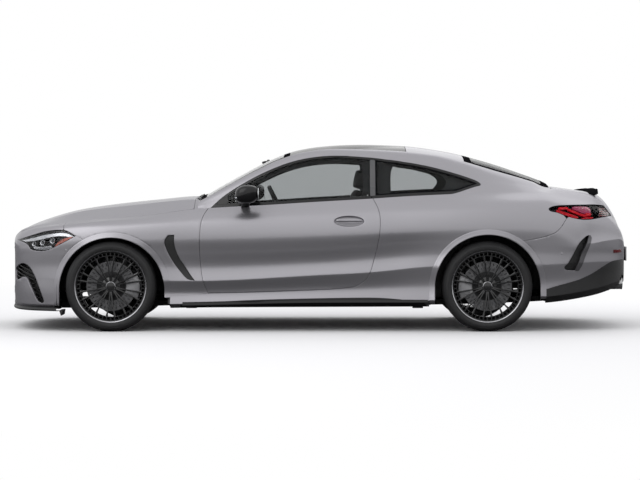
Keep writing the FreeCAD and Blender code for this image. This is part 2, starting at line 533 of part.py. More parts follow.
# ---------------------------------------------------------------- engine and axles
engine = doc.addObject("Part::Box", "engine")
for prop, cell in (("Length", "engine_length"), ("Width", "engine_width"), ("Height", "engine_height")):
    engine.setExpression(prop, "dims." + cell)
engine.setExpression("Placement.Base.x", "dims.front_axle_x - 260")
engine.setExpression("Placement.Base.y", "-dims.engine_width / 2")
engine.setExpression("Placement.Base.z", "dims.engine_base")
parts.append(engine)


def bar(start, end, radius):
    """A round bar between two points."""
    return Part.makeCylinder(radius, (end - start).Length, start, end - start)


hub = size("hub_height")
rotor_gap = size("rotor_step")
hub_back = size("tyre_outer_face") - size("spoke_face") - size("hub_depth")
rotor_face = hub_back - rotor_gap
HUB_GAP = 5
hub_face = hub_back - size("hat_wall") - HUB_GAP
BEAM_Z = {"front": 226, "rear": 264}
BEAM_HALF, BEAM_LENGTH, BEAM_HEIGHT, ARM_END = 70, 400, 60, 640
CARRIER_Y, CARRIER_HALF = 660, 60
for axle in AXLES:
    x, low = size("%s_axle_x" % axle), BEAM_Z[axle]
    middle = low + BEAM_HEIGHT / 2
    pieces = [box((x - BEAM_HALF, -BEAM_LENGTH, low), (x + BEAM_HALF, BEAM_LENGTH, low + BEAM_HEIGHT))]
    for sign in (-1, 1):
        foot = Vector(x, sign * ARM_END, middle)
        pieces.append(bar(Vector(x, sign * (BEAM_LENGTH - 20), middle), foot, 18))
        pieces.append(bar(Vector(x - 60, sign * (BEAM_LENGTH - 40), middle + 5), foot, 14))
        if axle == "rear":
            pieces.append(box((x - 170, sign * CARRIER_Y - 20, hub - CARRIER_HALF),
                              (x - 20, sign * CARRIER_Y + 20, hub + CARRIER_HALF)))
            low_y, high_y = sorted((sign * CARRIER_Y, sign * (rotor_face - size("disc_thickness") - 42)))
            pieces.append(box((x - 170, low_y, hub - CARRIER_HALF), (x - 120, high_y, hub + CARRIER_HALF)))
            pieces.append(box((x - 45, sign * ARM_END - 28, low), (x + 45, sign * ARM_END + 28, 450)))
            pieces.append(Part.makeCylinder(size("spindle_radius"), hub_face - ARM_END,
                                            Vector(x, sign * ARM_END, hub), Vector(0, sign, 0)))
            pieces.append(bar(Vector(x, sign * ARM_END, 430), Vector(x, sign * 560, 500), 16))
    feature("%s_axle" % axle, pieces[0].fuse(pieces[1:]))


def caliper(x, sign, rear_side):
    """A fixed caliper over the disc's edge, at the given side of the axle."""
    clear = size("caliper_clear")
    inner = rotor_face - size("disc_thickness") - clear
    low = Vector(x, inner - size("caliper_arm"), hub)
    width = size("disc_thickness") + 2 * clear + size("caliper_arm") + size("caliper_face")
    ring = Part.makeCylinder(size("caliper_radius"), width, low, Vector(0, 1, 0))
    ring = ring.cut(Part.makeCylinder(size("caliper_bore"), width, low, Vector(0, 1, 0)))
    slot = Part.makeCylinder(size("disc_radius") + clear, size("disc_thickness") + 2 * clear,
                             Vector(x, inner, hub), Vector(0, 1, 0))
    wedge = Part.Face(Part.makePolygon([Vector(x, 0, hub), Vector(x + rear_side * 300, 0, hub - 175),
                                        Vector(x + rear_side * 300, 0, hub + 175), Vector(x, 0, hub)]))
    piece = ring.cut(slot).common(wedge.extrude(Vector(0, 1200, 0)))
    return piece if sign > 0 else piece.mirror(Vector(), MIRROR)


for side, sign in SIDES:
    x = size("front_axle_x")
    upright = box((x - 42, 655, 285), (x + 42, 700, 560))
    spindle = Part.makeCylinder(size("spindle_radius"), hub_face - 680, Vector(x, 680, hub), Vector(0, 1, 0))
    bracket = box((x, CARRIER_Y, hub - CARRIER_HALF), (x + 150, CARRIER_Y + 34, hub + CARRIER_HALF))
    bracket = bracket.fuse(box((x + 110, CARRIER_Y, hub - CARRIER_HALF),
                               (x + 170, rotor_face - size("disc_thickness") - 20, hub + CARRIER_HALF)))
    knuckle = upright.fuse([spindle, bracket, caliper(x, 1, 1)])
    feature("%s_knuckle" % side, knuckle if sign > 0 else knuckle.mirror(Vector(), MIRROR))
feature("rear_calipers", Part.makeCompound([caliper(size("rear_axle_x"), sign, -1) for side, sign in SIDES]))


# ---------------------------------------------------------------- wheels
def plane_of(body, role):
    """One of a body's own origin planes or axes, by its role."""
    return [f for f in body.Origin.OriginFeatures if f.Role == role][0]


def closed_sketch(body, name, role, loops):
    """A sketch of closed polygons whose corners are held to sheet expressions.

    Each loop is a list of corners, and each corner is (x value, x rule, y value, y rule).
    """
    sketch = body.newObject("Sketcher::SketchObject", name)
    sketch.AttachmentSupport = (plane_of(body, role), [""])
    sketch.MapMode = "FlatFace"
    for corners in loops:
        first = sketch.GeometryCount
        count = len(corners)
        for corner, following in zip(corners, corners[1:] + corners[:1]):
            sketch.addGeometry(Part.LineSegment(Vector(corner[0], corner[2], 0),
                                                Vector(following[0], following[2], 0)))
        for k in range(count):
            sketch.addConstraint(Sketcher.Constraint("Coincident", first + k, 2, first + (k + 1) % count, 1))
        for k, (across, across_rule, up, up_rule) in enumerate(corners):
            for kind, number, rule in (("DistanceX", across, across_rule), ("DistanceY", up, up_rule)):
                index = sketch.addConstraint(Sketcher.Constraint(kind, -1, 1, first + k, 1, number))
                sketch.setExpression("Constraints[%d]" % index, rule)
    return sketch


def turn_profile(body, name, corners):
    """Adds a full turn about the axle of a profile of radius and distance along it."""
    sketch = closed_sketch(body, name + "_profile", "XY_Plane", [corners])
    turned = body.newObject("PartDesign::Revolution", name)
    turned.Profile = sketch
    turned.ReferenceAxis = (sketch, ["V_Axis"])
    turned.Angle = 360
    body.Tip = turned


def axle_body(label, place):
    """An empty body for a piece that turns about the axle."""
    body = doc.addObject("PartDesign::Body", label)
    body.Label = label
    body.Placement = place
    parts.append(body)
    return body


def radius_at(cell, depth, depth_rule):
    """A profile corner at a radius cell, so far inward from the tyre's outer face."""
    return (size(cell), "dims." + cell, -depth, "-(%s)" % depth_rule)


def wheel_place(x, sign):
    """The tyre's outer face on the axle line; +Y of the wheel points away from the car."""
    turn = Rotation() if sign > 0 else Rotation(Vector(0, 0, 1), 180)
    return Placement(Vector(x, sign * size("tyre_outer_face"), size("hub_height")), turn)


def depth(*cells):
    """A distance inward from the tyre's outer face as a sum of cells, with its rule; - subtracts."""
    total = sum(-size(cell[1:]) if cell[0] == "-" else size(cell) for cell in cells)
    rule = "".join((" - dims." + cell[1:]) if cell[0] == "-" else (" + dims." + cell) for cell in cells)
    return total, "0" + rule


def profile(rows):
    """Corners from rows of a radius cell and the cells whose sum is the depth."""
    return [radius_at(row[0], *depth(*row[1:])) for row in rows]


for axle in AXLES:
    wide = "%s_tyre_width" % axle
    for side, sign in SIDES:
        place = wheel_place(size("%s_axle_x" % axle), sign)
        stem = "%s_%s" % (axle, side)
        tyre = axle_body(stem + "_tyre", place)
        turn_profile(tyre, stem + "_tyre_ring", profile([
            ("bead_radius", "flange_depth", "fit"), ("bead_top", "flange_depth", "fit"),
            ("bead_top", "bead_edge"), ("sidewall_radius",), ("shoulder_radius", "shoulder_edge"),
            ("tread_edge", "shoulder_inset"), ("tyre_radius", "tread_inset"),
            ("tyre_radius", wide, "-tread_inset"), ("tread_edge", wide, "-shoulder_inset"),
            ("shoulder_radius", wide, "-shoulder_edge"), ("sidewall_radius", wide),
            ("bead_top", wide, "-bead_edge"), ("bead_top", wide, "-flange_depth", "-fit"),
            ("bead_radius", wide, "-flange_depth", "-fit")]))

        wheel = axle_body(stem + "_wheel", place)
        turn_profile(wheel, stem + "_barrel", profile([
            ("barrel_inner", "lip_depth"), ("rim_flange", "lip_depth"), ("rim_flange", "flange_depth"),
            ("rim_seat", "flange_depth"), ("rim_seat", wide, "-flange_depth"),
            ("rim_flange", wide, "-flange_depth"), ("rim_flange", wide, "-lip_depth"),
            ("barrel_inner", wide, "-lip_depth")]))
        turn_profile(wheel, stem + "_hub", profile([
            ("centre_bore", "spoke_face"), ("hub_radius", "spoke_face"),
            ("hub_radius", "spoke_face", "hub_depth"), ("centre_bore", "spoke_face", "hub_depth")]))
        root, root_rule = size("hub_radius") - 4, "dims.hub_radius - 4"
        tip, tip_rule = size("barrel_inner") + 3, "dims.barrel_inner + 3"
        bars = []
        for hand in (1, -1):
            near, far = size("spoke_spread") - size("spoke_width"), size("spoke_spread") + size("spoke_width")
            bars.append([(root, root_rule, hand * 2.0, "%d" % (hand * 2)),
                         (tip, tip_rule, hand * near, "%d * (dims.spoke_spread - dims.spoke_width)" % hand),
                         (tip, tip_rule, hand * far, "%d * (dims.spoke_spread + dims.spoke_width)" % hand),
                         (root, root_rule, hand * 12.0, "%d" % (hand * 12))])
        spoke_sketch = closed_sketch(wheel, stem + "_spoke_profile", "XZ_Plane", bars)
        spoke_sketch.setExpression("AttachmentOffset.Base.z", "dims.spoke_face")
        spoke = wheel.newObject("PartDesign::Pad", stem + "_spoke_pair")
        spoke.Profile = spoke_sketch
        spoke.setExpression("Length", "dims.spoke_depth")
        wheel.Tip = spoke
        spokes = wheel.newObject("PartDesign::PolarPattern", stem + "_spokes")
        spokes.Originals = [spoke]
        spokes.Axis = (plane_of(wheel, "Y_Axis"), [""])
        spokes.Angle = 360
        spokes.setExpression("Occurrences", "dims.spoke_pairs")
        wheel.Tip = spokes

        disc = axle_body(stem + "_brake_disc", place)
        turn_profile(disc, stem + "_rotor", profile([
            ("centre_bore", "spoke_face", "hub_depth"), ("hat_radius", "spoke_face", "hub_depth"),
            ("hat_radius", "spoke_face", "hub_depth", "rotor_step"),
            ("disc_radius", "spoke_face", "hub_depth", "rotor_step"),
            ("disc_radius", "spoke_face", "hub_depth", "rotor_step", "disc_thickness"),
            ("hat_inner", "spoke_face", "hub_depth", "rotor_step", "disc_thickness"),
            ("hat_inner", "spoke_face", "hub_depth", "hat_wall"),
            ("centre_bore", "spoke_face", "hub_depth", "hat_wall")]))

doc.recompute()
for thing in doc.Objects:
    if "Invalid" in thing.State or "Error" in thing.State:
        raise SystemExit("%s failed to build: %s" % (thing.Label, thing.State))
for thing in parts:
    if thing.Shape.isNull() or not thing.Shape.isValid():
        raise SystemExit("%s has no valid shape" % thing.Label)
for thing in parts:
    thing.Shape.exportStep("parts/%s.step" % thing.Label)
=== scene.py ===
"""Looks of the two-door coupe: painted panels, glass, lamps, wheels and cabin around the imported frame.

Metres. +Z is up, the nose points to -X and the driver's side is -Y.
"""
import math
import bmesh
import bpy
import numpy as np
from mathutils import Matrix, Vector, kdtree


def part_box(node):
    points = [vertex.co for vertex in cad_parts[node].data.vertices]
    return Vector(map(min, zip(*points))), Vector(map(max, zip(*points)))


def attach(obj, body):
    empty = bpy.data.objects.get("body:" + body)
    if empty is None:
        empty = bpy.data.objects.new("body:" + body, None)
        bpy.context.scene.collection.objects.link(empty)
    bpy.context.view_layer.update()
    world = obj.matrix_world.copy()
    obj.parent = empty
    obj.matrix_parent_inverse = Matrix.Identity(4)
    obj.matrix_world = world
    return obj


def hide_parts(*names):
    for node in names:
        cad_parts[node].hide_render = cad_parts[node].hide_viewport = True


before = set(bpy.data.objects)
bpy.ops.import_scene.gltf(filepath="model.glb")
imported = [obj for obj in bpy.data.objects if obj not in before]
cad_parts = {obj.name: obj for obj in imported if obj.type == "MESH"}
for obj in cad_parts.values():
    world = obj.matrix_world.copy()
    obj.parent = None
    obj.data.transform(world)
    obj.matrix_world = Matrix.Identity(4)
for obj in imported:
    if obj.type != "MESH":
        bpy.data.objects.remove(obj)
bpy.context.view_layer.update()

# ------------------------------------------------------------ body surface
# The outer skin of pressed steel and aluminium that every painted panel is a piece of. It runs
# along a few lines from the nose to the tail: eight up each side, and more across hood, roof and deck.
PLAN = [(-2.425, 0.06), (-2.412, 0.2), (-2.393, 0.35), (-2.352, 0.54), (-2.29, 0.68), (-2.2, 0.785),
    (-2.08, 0.855), (-1.9, 0.92), (-1.7, 0.946), (-1.589, 0.95), (-1.3, 0.943), (-0.9, 0.93), (0, 0.925),
    (0.5, 0.93), (0.85, 0.948), (1.1, 0.963), (1.3, 0.9675), (1.5, 0.962), (1.75, 0.93), (1.95, 0.885),
    (2.1, 0.835), (2.2, 0.785), (2.288, 0.7), (2.352, 0.575), (2.394, 0.38), (2.412, 0.22), (2.425, 0.06)]
# name, (x, distance inside the plan line), (x, height)
SIDE_LINES = [
    ("keel", [(-2.425, 0.03), (-2.2, 0.06), (-1.5, 0.08), (1.7, 0.08), (2.3, 0.04), (2.425, 0.02)],
        [(-2.425, 0.165), (-2.3, 0.16), (-1.9, 0.158), (-1.0, 0.18), (0.9, 0.19), (1.7, 0.215), (2.1, 0.27),
        (2.3, 0.33), (2.425, 0.37)]),
    ("sill", [(-2.425, 0.005), (-2.2, 0.004), (-1.0, 0.002), (0.4, 0.002), (1.3, 0.006), (2.2, 0.02),
        (2.425, 0.005)], [(-2.425, 0.205), (-2.3, 0.2), (-1.9, 0.2), (-1.0, 0.212), (0, 0.232),
        (0.9, 0.235), (1.7, 0.265), (2.1, 0.32), (2.3, 0.37), (2.425, 0.41)]),
    ("tuck", [(-2.425, 0), (-2.2, -0.002), (-1.9, 0.002), (-1.0, 0.028), (0, 0.03), (0.9, 0.02),
        (2.2, 0.014), (2.425, 0)], [(-2.425, 0.3), (-1.9, 0.285), (-0.9, 0.288), (0, 0.308), (0.9, 0.345),
        (1.7, 0.375), (2.2, 0.44), (2.425, 0.47)]),
    ("crease", [(-2.425, 0), (-1.0, 0.004), (0, 0.003), (1.3, 0.002), (2.425, 0)],
        [(-2.425, 0.42), (-1.6, 0.39), (-0.94, 0.388), (0, 0.433), (0.4, 0.455), (0.9, 0.5), (1.7, 0.51),
        (2.2, 0.53), (2.425, 0.525)]),
    ("hollow", [(-2.425, 0), (-2.0, 0.006), (-1.3, 0.012), (-0.9, 0.026), (0, 0.028), (0.5, 0.026),
        (1.0, 0.01), (1.7, 0.004), (2.1, 0.0), (2.425, 0)], [(-2.425, 0.5), (-1.7, 0.51), (-0.9, 0.482),
        (0, 0.513), (0.9, 0.58), (1.7, 0.6), (2.2, 0.6), (2.425, 0.54)]),
    ("flank", [(-2.425, 0), (-2.0, 0.002), (-1.3, 0.006), (-0.9, 0.012), (0, 0.013), (0.5, 0.012),
        (1.0, 0.005), (1.7, 0.001), (2.08, -0.003), (2.3, -0.004), (2.425, 0)],
        [(-2.425, 0.56), (-1.7, 0.62), (-0.9, 0.605), (0, 0.63), (0.9, 0.69), (1.7, 0.69), (2.0, 0.64),
        (2.2, 0.645), (2.425, 0.57)]),
    ("waist", [(-2.425, 0), (-2.0, 0.002), (-0.9, 0.0), (1.3, 0.0), (2.0, 0), (2.08, -0.005), (2.3, -0.007),
        (2.425, 0)], [(-2.425, 0.6), (-2.3, 0.63), (-2.1, 0.67), (-1.6, 0.715), (-0.9, 0.71), (0, 0.735),
        (0.6, 0.755), (1.3, 0.79), (1.75, 0.78), (1.92, 0.725), (2.04, 0.668), (2.2, 0.694), (2.33, 0.704),
        (2.425, 0.6)]),
    ("shoulder", [(-2.425, 0.004), (-2.2, 0.025), (-1.9, 0.036), (-1.45, 0.036), (-0.9, 0.04), (0, 0.042),
        (0.7, 0.04), (1.3, 0.04), (1.9, 0.05), (2.2, 0.04), (2.425, 0.004)],
        [(-2.425, 0.64), (-2.3, 0.708), (-2.2, 0.745), (-1.9, 0.8), (-1.45, 0.826), (-0.9, 0.858),
        (0, 0.885), (0.7, 0.917), (1.3, 0.943), (1.65, 0.95), (1.9, 0.935), (2.2, 0.86), (2.33, 0.76),
        (2.425, 0.605)])]
# name, (x, distance from the centre plane), (x, height)
TOP_LINES = [
    ("edge", [(-2.425, 0.045), (-2.412, 0.17), (-2.385, 0.33), (-2.29, 0.56), (-2.165, 0.655),
        (-1.95, 0.735), (-1.6, 0.775), (-1.0, 0.785), (0, 0.8), (0.7, 0.795), (1.0, 0.785), (1.3, 0.76),
        (1.68, 0.69), (2.0, 0.65), (2.2, 0.6), (2.33, 0.48), (2.39, 0.33), (2.412, 0.17), (2.425, 0.045)],
        [(-2.425, 0.668), (-2.39, 0.708), (-2.3, 0.762), (-2.165, 0.8), (-1.95, 0.82), (-1.7, 0.852),
        (-1.3, 0.886), (-0.85, 0.94), (-0.4, 0.965), (0, 0.99), (0.4, 1.013), (0.7, 1.033), (1.0, 1.047),
        (1.35, 1.062), (1.68, 1.062), (1.9, 1.025), (2.15, 0.96), (2.25, 0.9), (2.33, 0.8),
        (2.425, 0.616)]),
    ("dome", [(-2.425, 0.03), (-2.412, 0.11), (-2.385, 0.2), (-2.3, 0.33), (-2.2, 0.395), (-1.85, 0.45),
        (-1.5, 0.485), (-1.13, 0.545), (-0.85, 0.6), (0.7, 0.6), (1.68, 0.56), (2.2, 0.48), (2.33, 0.36),
        (2.412, 0.11), (2.425, 0.03)], [(-2.425, 0.682), (-2.39, 0.722), (-2.3, 0.778), (-2.2, 0.812),
        (-2.055, 0.86), (-1.85, 0.912), (-1.54, 0.95), (-1.335, 0.972), (-1.13, 0.994), (-0.95, 1.006),
        (-0.8, 0.985), (0, 0.995), (0.7, 1.038), (1.35, 1.072), (1.8, 1.082), (2.0, 1.06), (2.16, 1.035),
        (2.25, 0.955), (2.33, 0.84), (2.425, 0.622)]),
    ("crown", [(-2.425, 0.015), (-2.412, 0.055), (-2.3, 0.165), (-1.5, 0.245), (-0.85, 0.3), (1.68, 0.28),
        (2.33, 0.18), (2.412, 0.055), (2.425, 0.015)], [(-2.425, 0.69), (-2.39, 0.73), (-2.3, 0.786),
        (-2.15, 0.845), (-1.91, 0.913), (-1.59, 0.961), (-1.27, 0.995), (-0.95, 1.022), (-0.8, 0.99),
        (0, 0.996), (0.7, 1.04), (1.35, 1.078), (1.77, 1.1), (2.01, 1.074), (2.15, 1.052), (2.25, 0.982),
        (2.335, 0.856), (2.38, 0.745), (2.425, 0.626)]),
    ("centre", [(-2.425, 0), (2.425, 0)], [(-2.425, 0.692), (-2.39, 0.734), (-2.3, 0.79), (-2.15, 0.85),
        (-1.91, 0.918), (-1.59, 0.966), (-1.27, 1.0), (-0.95, 1.027), (-0.8, 0.992), (0, 0.997),
        (0.7, 1.041), (1.35, 1.08), (1.77, 1.108), (2.01, 1.08), (2.15, 1.058), (2.25, 0.988),
        (2.335, 0.862), (2.38, 0.75), (2.425, 0.63)])]
RAIL_Y = [(-0.97, 0.752), (-0.84, 0.732), (-0.5, 0.665), (-0.2, 0.612), (0.1, 0.588), (0.5, 0.576),
    (0.9, 0.562), (1.13, 0.55), (1.5, 0.53), (1.83, 0.505)]
RAIL_Z = [(-0.97, 0.96), (-0.84, 1.028), (-0.5, 1.215), (-0.3, 1.31), (-0.1, 1.37), (0.1, 1.392),
    (0.5, 1.38), (0.9, 1.345), (1.13, 1.29), (1.37, 1.218), (1.55, 1.168), (1.83, 1.084)]
ROOF_Z = [(-0.97, 1.012), (-0.87, 1.052), (-0.79, 1.098), (-0.63, 1.187), (-0.47, 1.273), (-0.31, 1.346),
    (-0.15, 1.394), (0.01, 1.419), (0.17, 1.431), (0.33, 1.435), (0.65, 1.426), (0.97, 1.386), (1.29, 1.31),
    (1.61, 1.206), (1.77, 1.146), (1.83, 1.112)]
CROWN_STEPS = (0.9, 0.72, 0.45, 0.0)
GREENHOUSE, BULGE = (-0.97, 1.83), 0.014
HALF_LENGTH, END_HALF = 2.425, 0.06
DENSE, STATION_STEP, END_STEP, SOFT_PLAN, SOFT_ROWS = 0.004, 0.0145, 0.009, 0.025, 0.04


def eased(knots, x):
    """The smooth curve through (x, value) knots, which never overshoots them, at an array of x."""
    at, value = np.array(knots, float).T
    run = np.diff(at)
    rise = np.diff(value) / run
    slope = np.concatenate([rise[:1], np.zeros(len(rise) - 1), rise[-1:]])
    first, second = rise[:-1], rise[1:]
    turning = first * second <= 0
    safe_first, safe_second = np.where(turning, 1, first), np.where(turning, 1, second)
    weight, other = 2 * run[1:] + run[:-1], run[1:] + 2 * run[:-1]
    slope[1:-1] = np.where(turning, 0, (weight + other) / (weight / safe_first + other / safe_second))
    k = np.clip(np.searchsorted(at, x, side="right") - 1, 0, len(run) - 1)
    t = np.clip((x - at[k]) / run[k], 0, 1)
    return (value[k] * (1 + 2 * t) * (1 - t) ** 2 + value[k + 1] * t * t * (3 - 2 * t) + run[k] * slope[k]
        * t * (1 - t) ** 2 - run[k] * slope[k + 1] * t * t * (1 - t))


def ramp(x, start, end):
    """0 before start, 1 after end, and a smooth rise between them."""
    t = np.clip((x - start) / (end - start), 0, 1)
    return t * t * (3 - 2 * t)


def softened(values, spread, step, odd):
    """Values along the car, averaged over `spread`; past each end they go on as their mirror image."""
    reach = int(3 * spread / step)
    kernel = np.exp(-0.5 * (np.arange(-reach, reach + 1) * step / spread) ** 2)
    kernel /= kernel.sum()
    sign = -1 if odd else 1
    padded = np.concatenate([sign * values[reach:0:-1], values, sign * values[-2:-reach - 2:-1]])
    return np.convolve(padded, kernel, mode="valid")


def plan_stations():
    """(x, half width) all the way round the car's plan from the middle of the nose to that of the tail."""
    at = np.array([-HALF_LENGTH + 0.002 * i for i in range(2426)])
    line = np.stack([at, eased(PLAN, at)], 1)
    caps = [np.stack([np.full(50, end), np.linspace(0, half, 50, endpoint=False)], 1)
        for end, half in ((-HALF_LENGTH, END_HALF), (HALF_LENGTH, END_HALF))]
    line = np.concatenate([caps[0], line, caps[1][::-1]])
    length = np.concatenate([[0], np.cumsum(np.hypot(*np.diff(line, axis=0).T))])
    even = np.arange(0, length[-1], DENSE)
    x, half = np.interp(even, length, line[:, 0]), np.interp(even, length, line[:, 1])
    return softened(x, SOFT_PLAN, DENSE, False), softened(half, SOFT_PLAN, DENSE, True), even


plan_x, plan_half, plan_length = plan_stations()
plan_x = plan_x * (HALF_LENGTH / np.abs(plan_x).max())
share = plan_half / eased(PLAN, plan_x)
line_points = {}
for line_name, inset, height in SIDE_LINES:
    line_points[line_name] = ((eased(PLAN, plan_x) - eased(inset, plan_x)) * share, eased(height, plan_x))
for line_name, across_knots, height in TOP_LINES:
    line_points[line_name] = (eased(across_knots, plan_x) * np.minimum(share, 1), eased(height, plan_x))
line_points = {key: (softened(y, SOFT_ROWS, DENSE, True), softened(z, SOFT_ROWS, DENSE, False))
    for key, (y, z) in line_points.items()}

steps = [0.0]
while steps[-1] < plan_length[-1]:
    here = np.interp(steps[-1], plan_length, plan_x)
    steps.append(steps[-1] + END_STEP + (STATION_STEP - END_STEP) * ramp(2.3 - abs(here), 0.0, 0.25))
steps[-1] = plan_length[-1]
x_row = np.interp(steps, plan_length, plan_x)
rows = {key: np.stack([x_row, np.interp(steps, plan_length, y), np.interp(steps, plan_length, z)], 1)
    for key, (y, z) in line_points.items()}
rows["edge"][:, 1] = np.maximum(rows["edge"][:, 1], 0)


def unit(vectors):
    """The vectors at length one."""
    return vectors / np.maximum(np.linalg.norm(vectors, axis=-1, keepdims=True), 1e-9)


def middle_lean(before, here, after):
    """The direction across the car at a row, from the rows on both sides of it."""
    first, second = here - before, after - here
    a = np.linalg.norm(first, axis=1, keepdims=True) + 1e-6
    b = np.linalg.norm(second, axis=1, keepdims=True) + 1e-6
    return (first / a * b + second / b * a) / (a + b)


def cubic(start, end, leave, arrive, t):
    """A place on the cubic curve between two points that has the given slopes at them."""
    return start * (1 + 2 * t) * (1 - t) ** 2 + end * t * t * (3 - 2 * t) + leave * t * (
        1 - t) ** 2 - arrive * t * t * (1 - t)


def spanned(points, leans, counts):
    """A grid of points across rows: each span is a cubic curve with the given leans at its two rows."""
    columns = []
    for k, count in enumerate(counts):
        start, end = points[k], points[k + 1]
        reach = np.linalg.norm(end - start, axis=1, keepdims=True)
        leave, arrive = leans[k][1] * reach, leans[k + 1][0] * reach
        t_values = np.arange(count) / count
        t_values = t_values + 0.09 * np.sin(2 * np.pi * t_values) * -1
        columns += [cubic(start, end, leave, arrive, t) for t in t_values]
    columns.append(points[-1])
    return np.stack(columns, 1)


house = (x_row > GREENHOUSE[0] - 0.05) & (x_row < GREENHOUSE[1] + 0.05)
belt = rows["edge"]
rail = np.stack([x_row, eased(RAIL_Y, x_row), eased(RAIL_Z, x_row)], 1)
crown_z = eased(ROOF_Z, x_row)


def bulged_middle():
    """The row halfway up the side windows, which stands out a little where they are tall."""
    made = (belt + rail) / 2
    made[:, 1] += BULGE * np.clip((rail[:, 2] - belt[:, 2]) / 0.3, 0, 1)
    return made


mid = bulged_middle()
creased = ramp(x_row, -1.02, -0.88) * (1 - ramp(x_row, 1.08, 1.32))
upward = rows["dome"] + (mid - rows["dome"]) * (ramp(x_row, -0.98, -0.88) * (1 - ramp(x_row, 1.68, 1.82)))[
    :, None]
smooth_belt = middle_lean(rows["shoulder"], belt, upward)
below_belt = unit(smooth_belt * (1 - creased)[:, None] + unit(belt - rows["shoulder"]) * creased[:, None])
above_belt = unit(smooth_belt * (1 - creased)[:, None] + unit(upward - belt) * creased[:, None])

side_names = [entry[0] for entry in SIDE_LINES] + ["edge"]
side_rows = [rows[key] for key in side_names]
SHARP = {"keel", "sill", "crease"}
LEDGE_LEAN = [1.0, 3.2, 1.0]
side_leans = []
for k, key in enumerate(side_names):
    if key == "edge":
        side_leans.append((below_belt, above_belt))
    elif k == 0:
        lean = unit(side_rows[1] - side_rows[0])
        side_leans.append((lean, lean))
    elif key in SHARP:
        side_leans.append((unit(side_rows[k] - side_rows[k - 1]), unit(side_rows[k + 1] - side_rows[k])))
    else:
        lean = unit(middle_lean(side_rows[k - 1], side_rows[k], side_rows[k + 1]))
        ledge = ramp(x_row, 1.98, 2.08)[:, None] * (key == "waist")
        side_leans.append((unit(lean * (1 - ledge) + unit(side_rows[k] - side_rows[k - 1]) * ledge),
            unit(lean * (1 - ledge) + unit((side_rows[k + 1] - side_rows[k]) * LEDGE_LEAN) * ledge)))
side_grid = spanned(side_rows, side_leans, (3, 8, 8, 10, 7, 7, 9, 9))

hood_rows = [rows[key] for key in ("edge", "dome", "crown", "centre")]
flat_lean = np.tile([0.0, -1.0, 0.0], (len(x_row), 1))
hood_leans = [(above_belt, above_belt)]
hood_leans.append((unit(hood_rows[1] - hood_rows[0]), unit(hood_rows[2] - hood_rows[1])))
lean = unit(middle_lean(hood_rows[1], hood_rows[2], hood_rows[3]))
hood_leans += [(lean, lean), (flat_lean, flat_lean)]
deck_lean = unit(middle_lean(hood_rows[0], hood_rows[1], hood_rows[2]))
soft_dome = (ramp(-x_row, 1.9, 2.35) + ramp(x_row, 0, 0.2))[:, None]
hood_leans[1] = tuple(unit(one * (1 - soft_dome) + deck_lean * soft_dome) for one in hood_leans[1])
top_grid = spanned(hood_rows, hood_leans, (14, 12, 12))


def settled(row):
    """A row let down on the rear deck towards the tail."""
    deck = np.array([np.interp(-y, -top_grid[i, :, 1], top_grid[i, :, 2]) for i, y in enumerate(row[:, 1])])
    row[:, 2] += (deck - row[:, 2]) * ramp(x_row, 1.66, 1.8)
    return row


rail = settled(rail)
mid = settled(bulged_middle())
house_rows = [belt, mid, rail]
house_rows += [np.stack([x_row, rail[:, 1] * s, crown_z - (crown_z - rail[:, 2]) * s ** 2.2], 1)
    for s in CROWN_STEPS]
house_rows = [row[house] for row in house_rows]
house_leans = [(above_belt[house], above_belt[house])]
for k in range(1, len(house_rows) - 1):
    lean = unit(middle_lean(house_rows[k - 1], house_rows[k], house_rows[k + 1]))
    house_leans.append((lean, lean))
house_leans.append((flat_lean[house], flat_lean[house]))
house_grid = spanned(house_rows, house_leans, (9, 10, 5, 6, 8, 10))


def outward(grid):
    """The unit direction out of the body at every point of a grid."""
    along, across = np.gradient(grid, axis=0), np.gradient(grid, axis=1)
    return unit(np.cross(across, along))


surfaces = [(grid, outward(grid)) for grid in (side_grid, top_grid, house_grid)]
SIDE, TOP, HOUSE = 0, 1, 2

# ------------------------------------------------------------ body paint
# Metallic base coat with fine flakes under a clear coat, sprayed on every outer panel. Its colour
# drifts a little over the panels, and so do the materials of the other pieces, by the same grain.
grain = bpy.data.node_groups.new("patches_and_grain", "ShaderNodeTree")
for socket_name, start in (("Patch Scale", 3.0), ("Grain Scale", 400.0)):
    grain.interface.new_socket(socket_name, in_out="INPUT",
        socket_type="NodeSocketFloat").default_value = start
for socket_name in ("Patches", "Grain"):
    grain.interface.new_socket(socket_name, in_out="OUTPUT", socket_type="NodeSocketFloat")
grain_in, grain_out = grain.nodes.new("NodeGroupInput"), grain.nodes.new("NodeGroupOutput")
grain_place = grain.nodes.new("ShaderNodeTexCoord").outputs["Object"]
for scale_name, socket_name, detail in (("Patch Scale", "Patches", 3.0), ("Grain Scale", "Grain", 1.0)):
    cloud = grain.nodes.new("ShaderNodeTexNoise")
    cloud.inputs["Detail"].default_value = detail
    grain.links.new(grain_place, cloud.inputs["Vector"])
    grain.links.new(grain_in.outputs[scale_name], cloud.inputs["Scale"])
    grain.links.new(cloud.outputs["Fac"], grain_out.inputs[socket_name])


def new_material(name):
    """An empty material with a Principled shader, its nodes and its links."""
    made = bpy.data.materials.new(name)
    made.use_nodes = True
    tree = made.node_tree
    return made, tree.nodes, tree.links, tree.nodes["Principled BSDF"]


def spread(nodes, links, value, low, high, start=0.3, end=0.7):
    """A value between start and end spread between two numbers."""
    made = nodes.new("ShaderNodeMapRange")
    for socket, number in (("From Min", start), ("From Max", end), ("To Min", low), ("To Max", high)):
        made.inputs[socket].default_value = number
    links.new(value, made.inputs["Value"])
    return made.outputs["Result"]


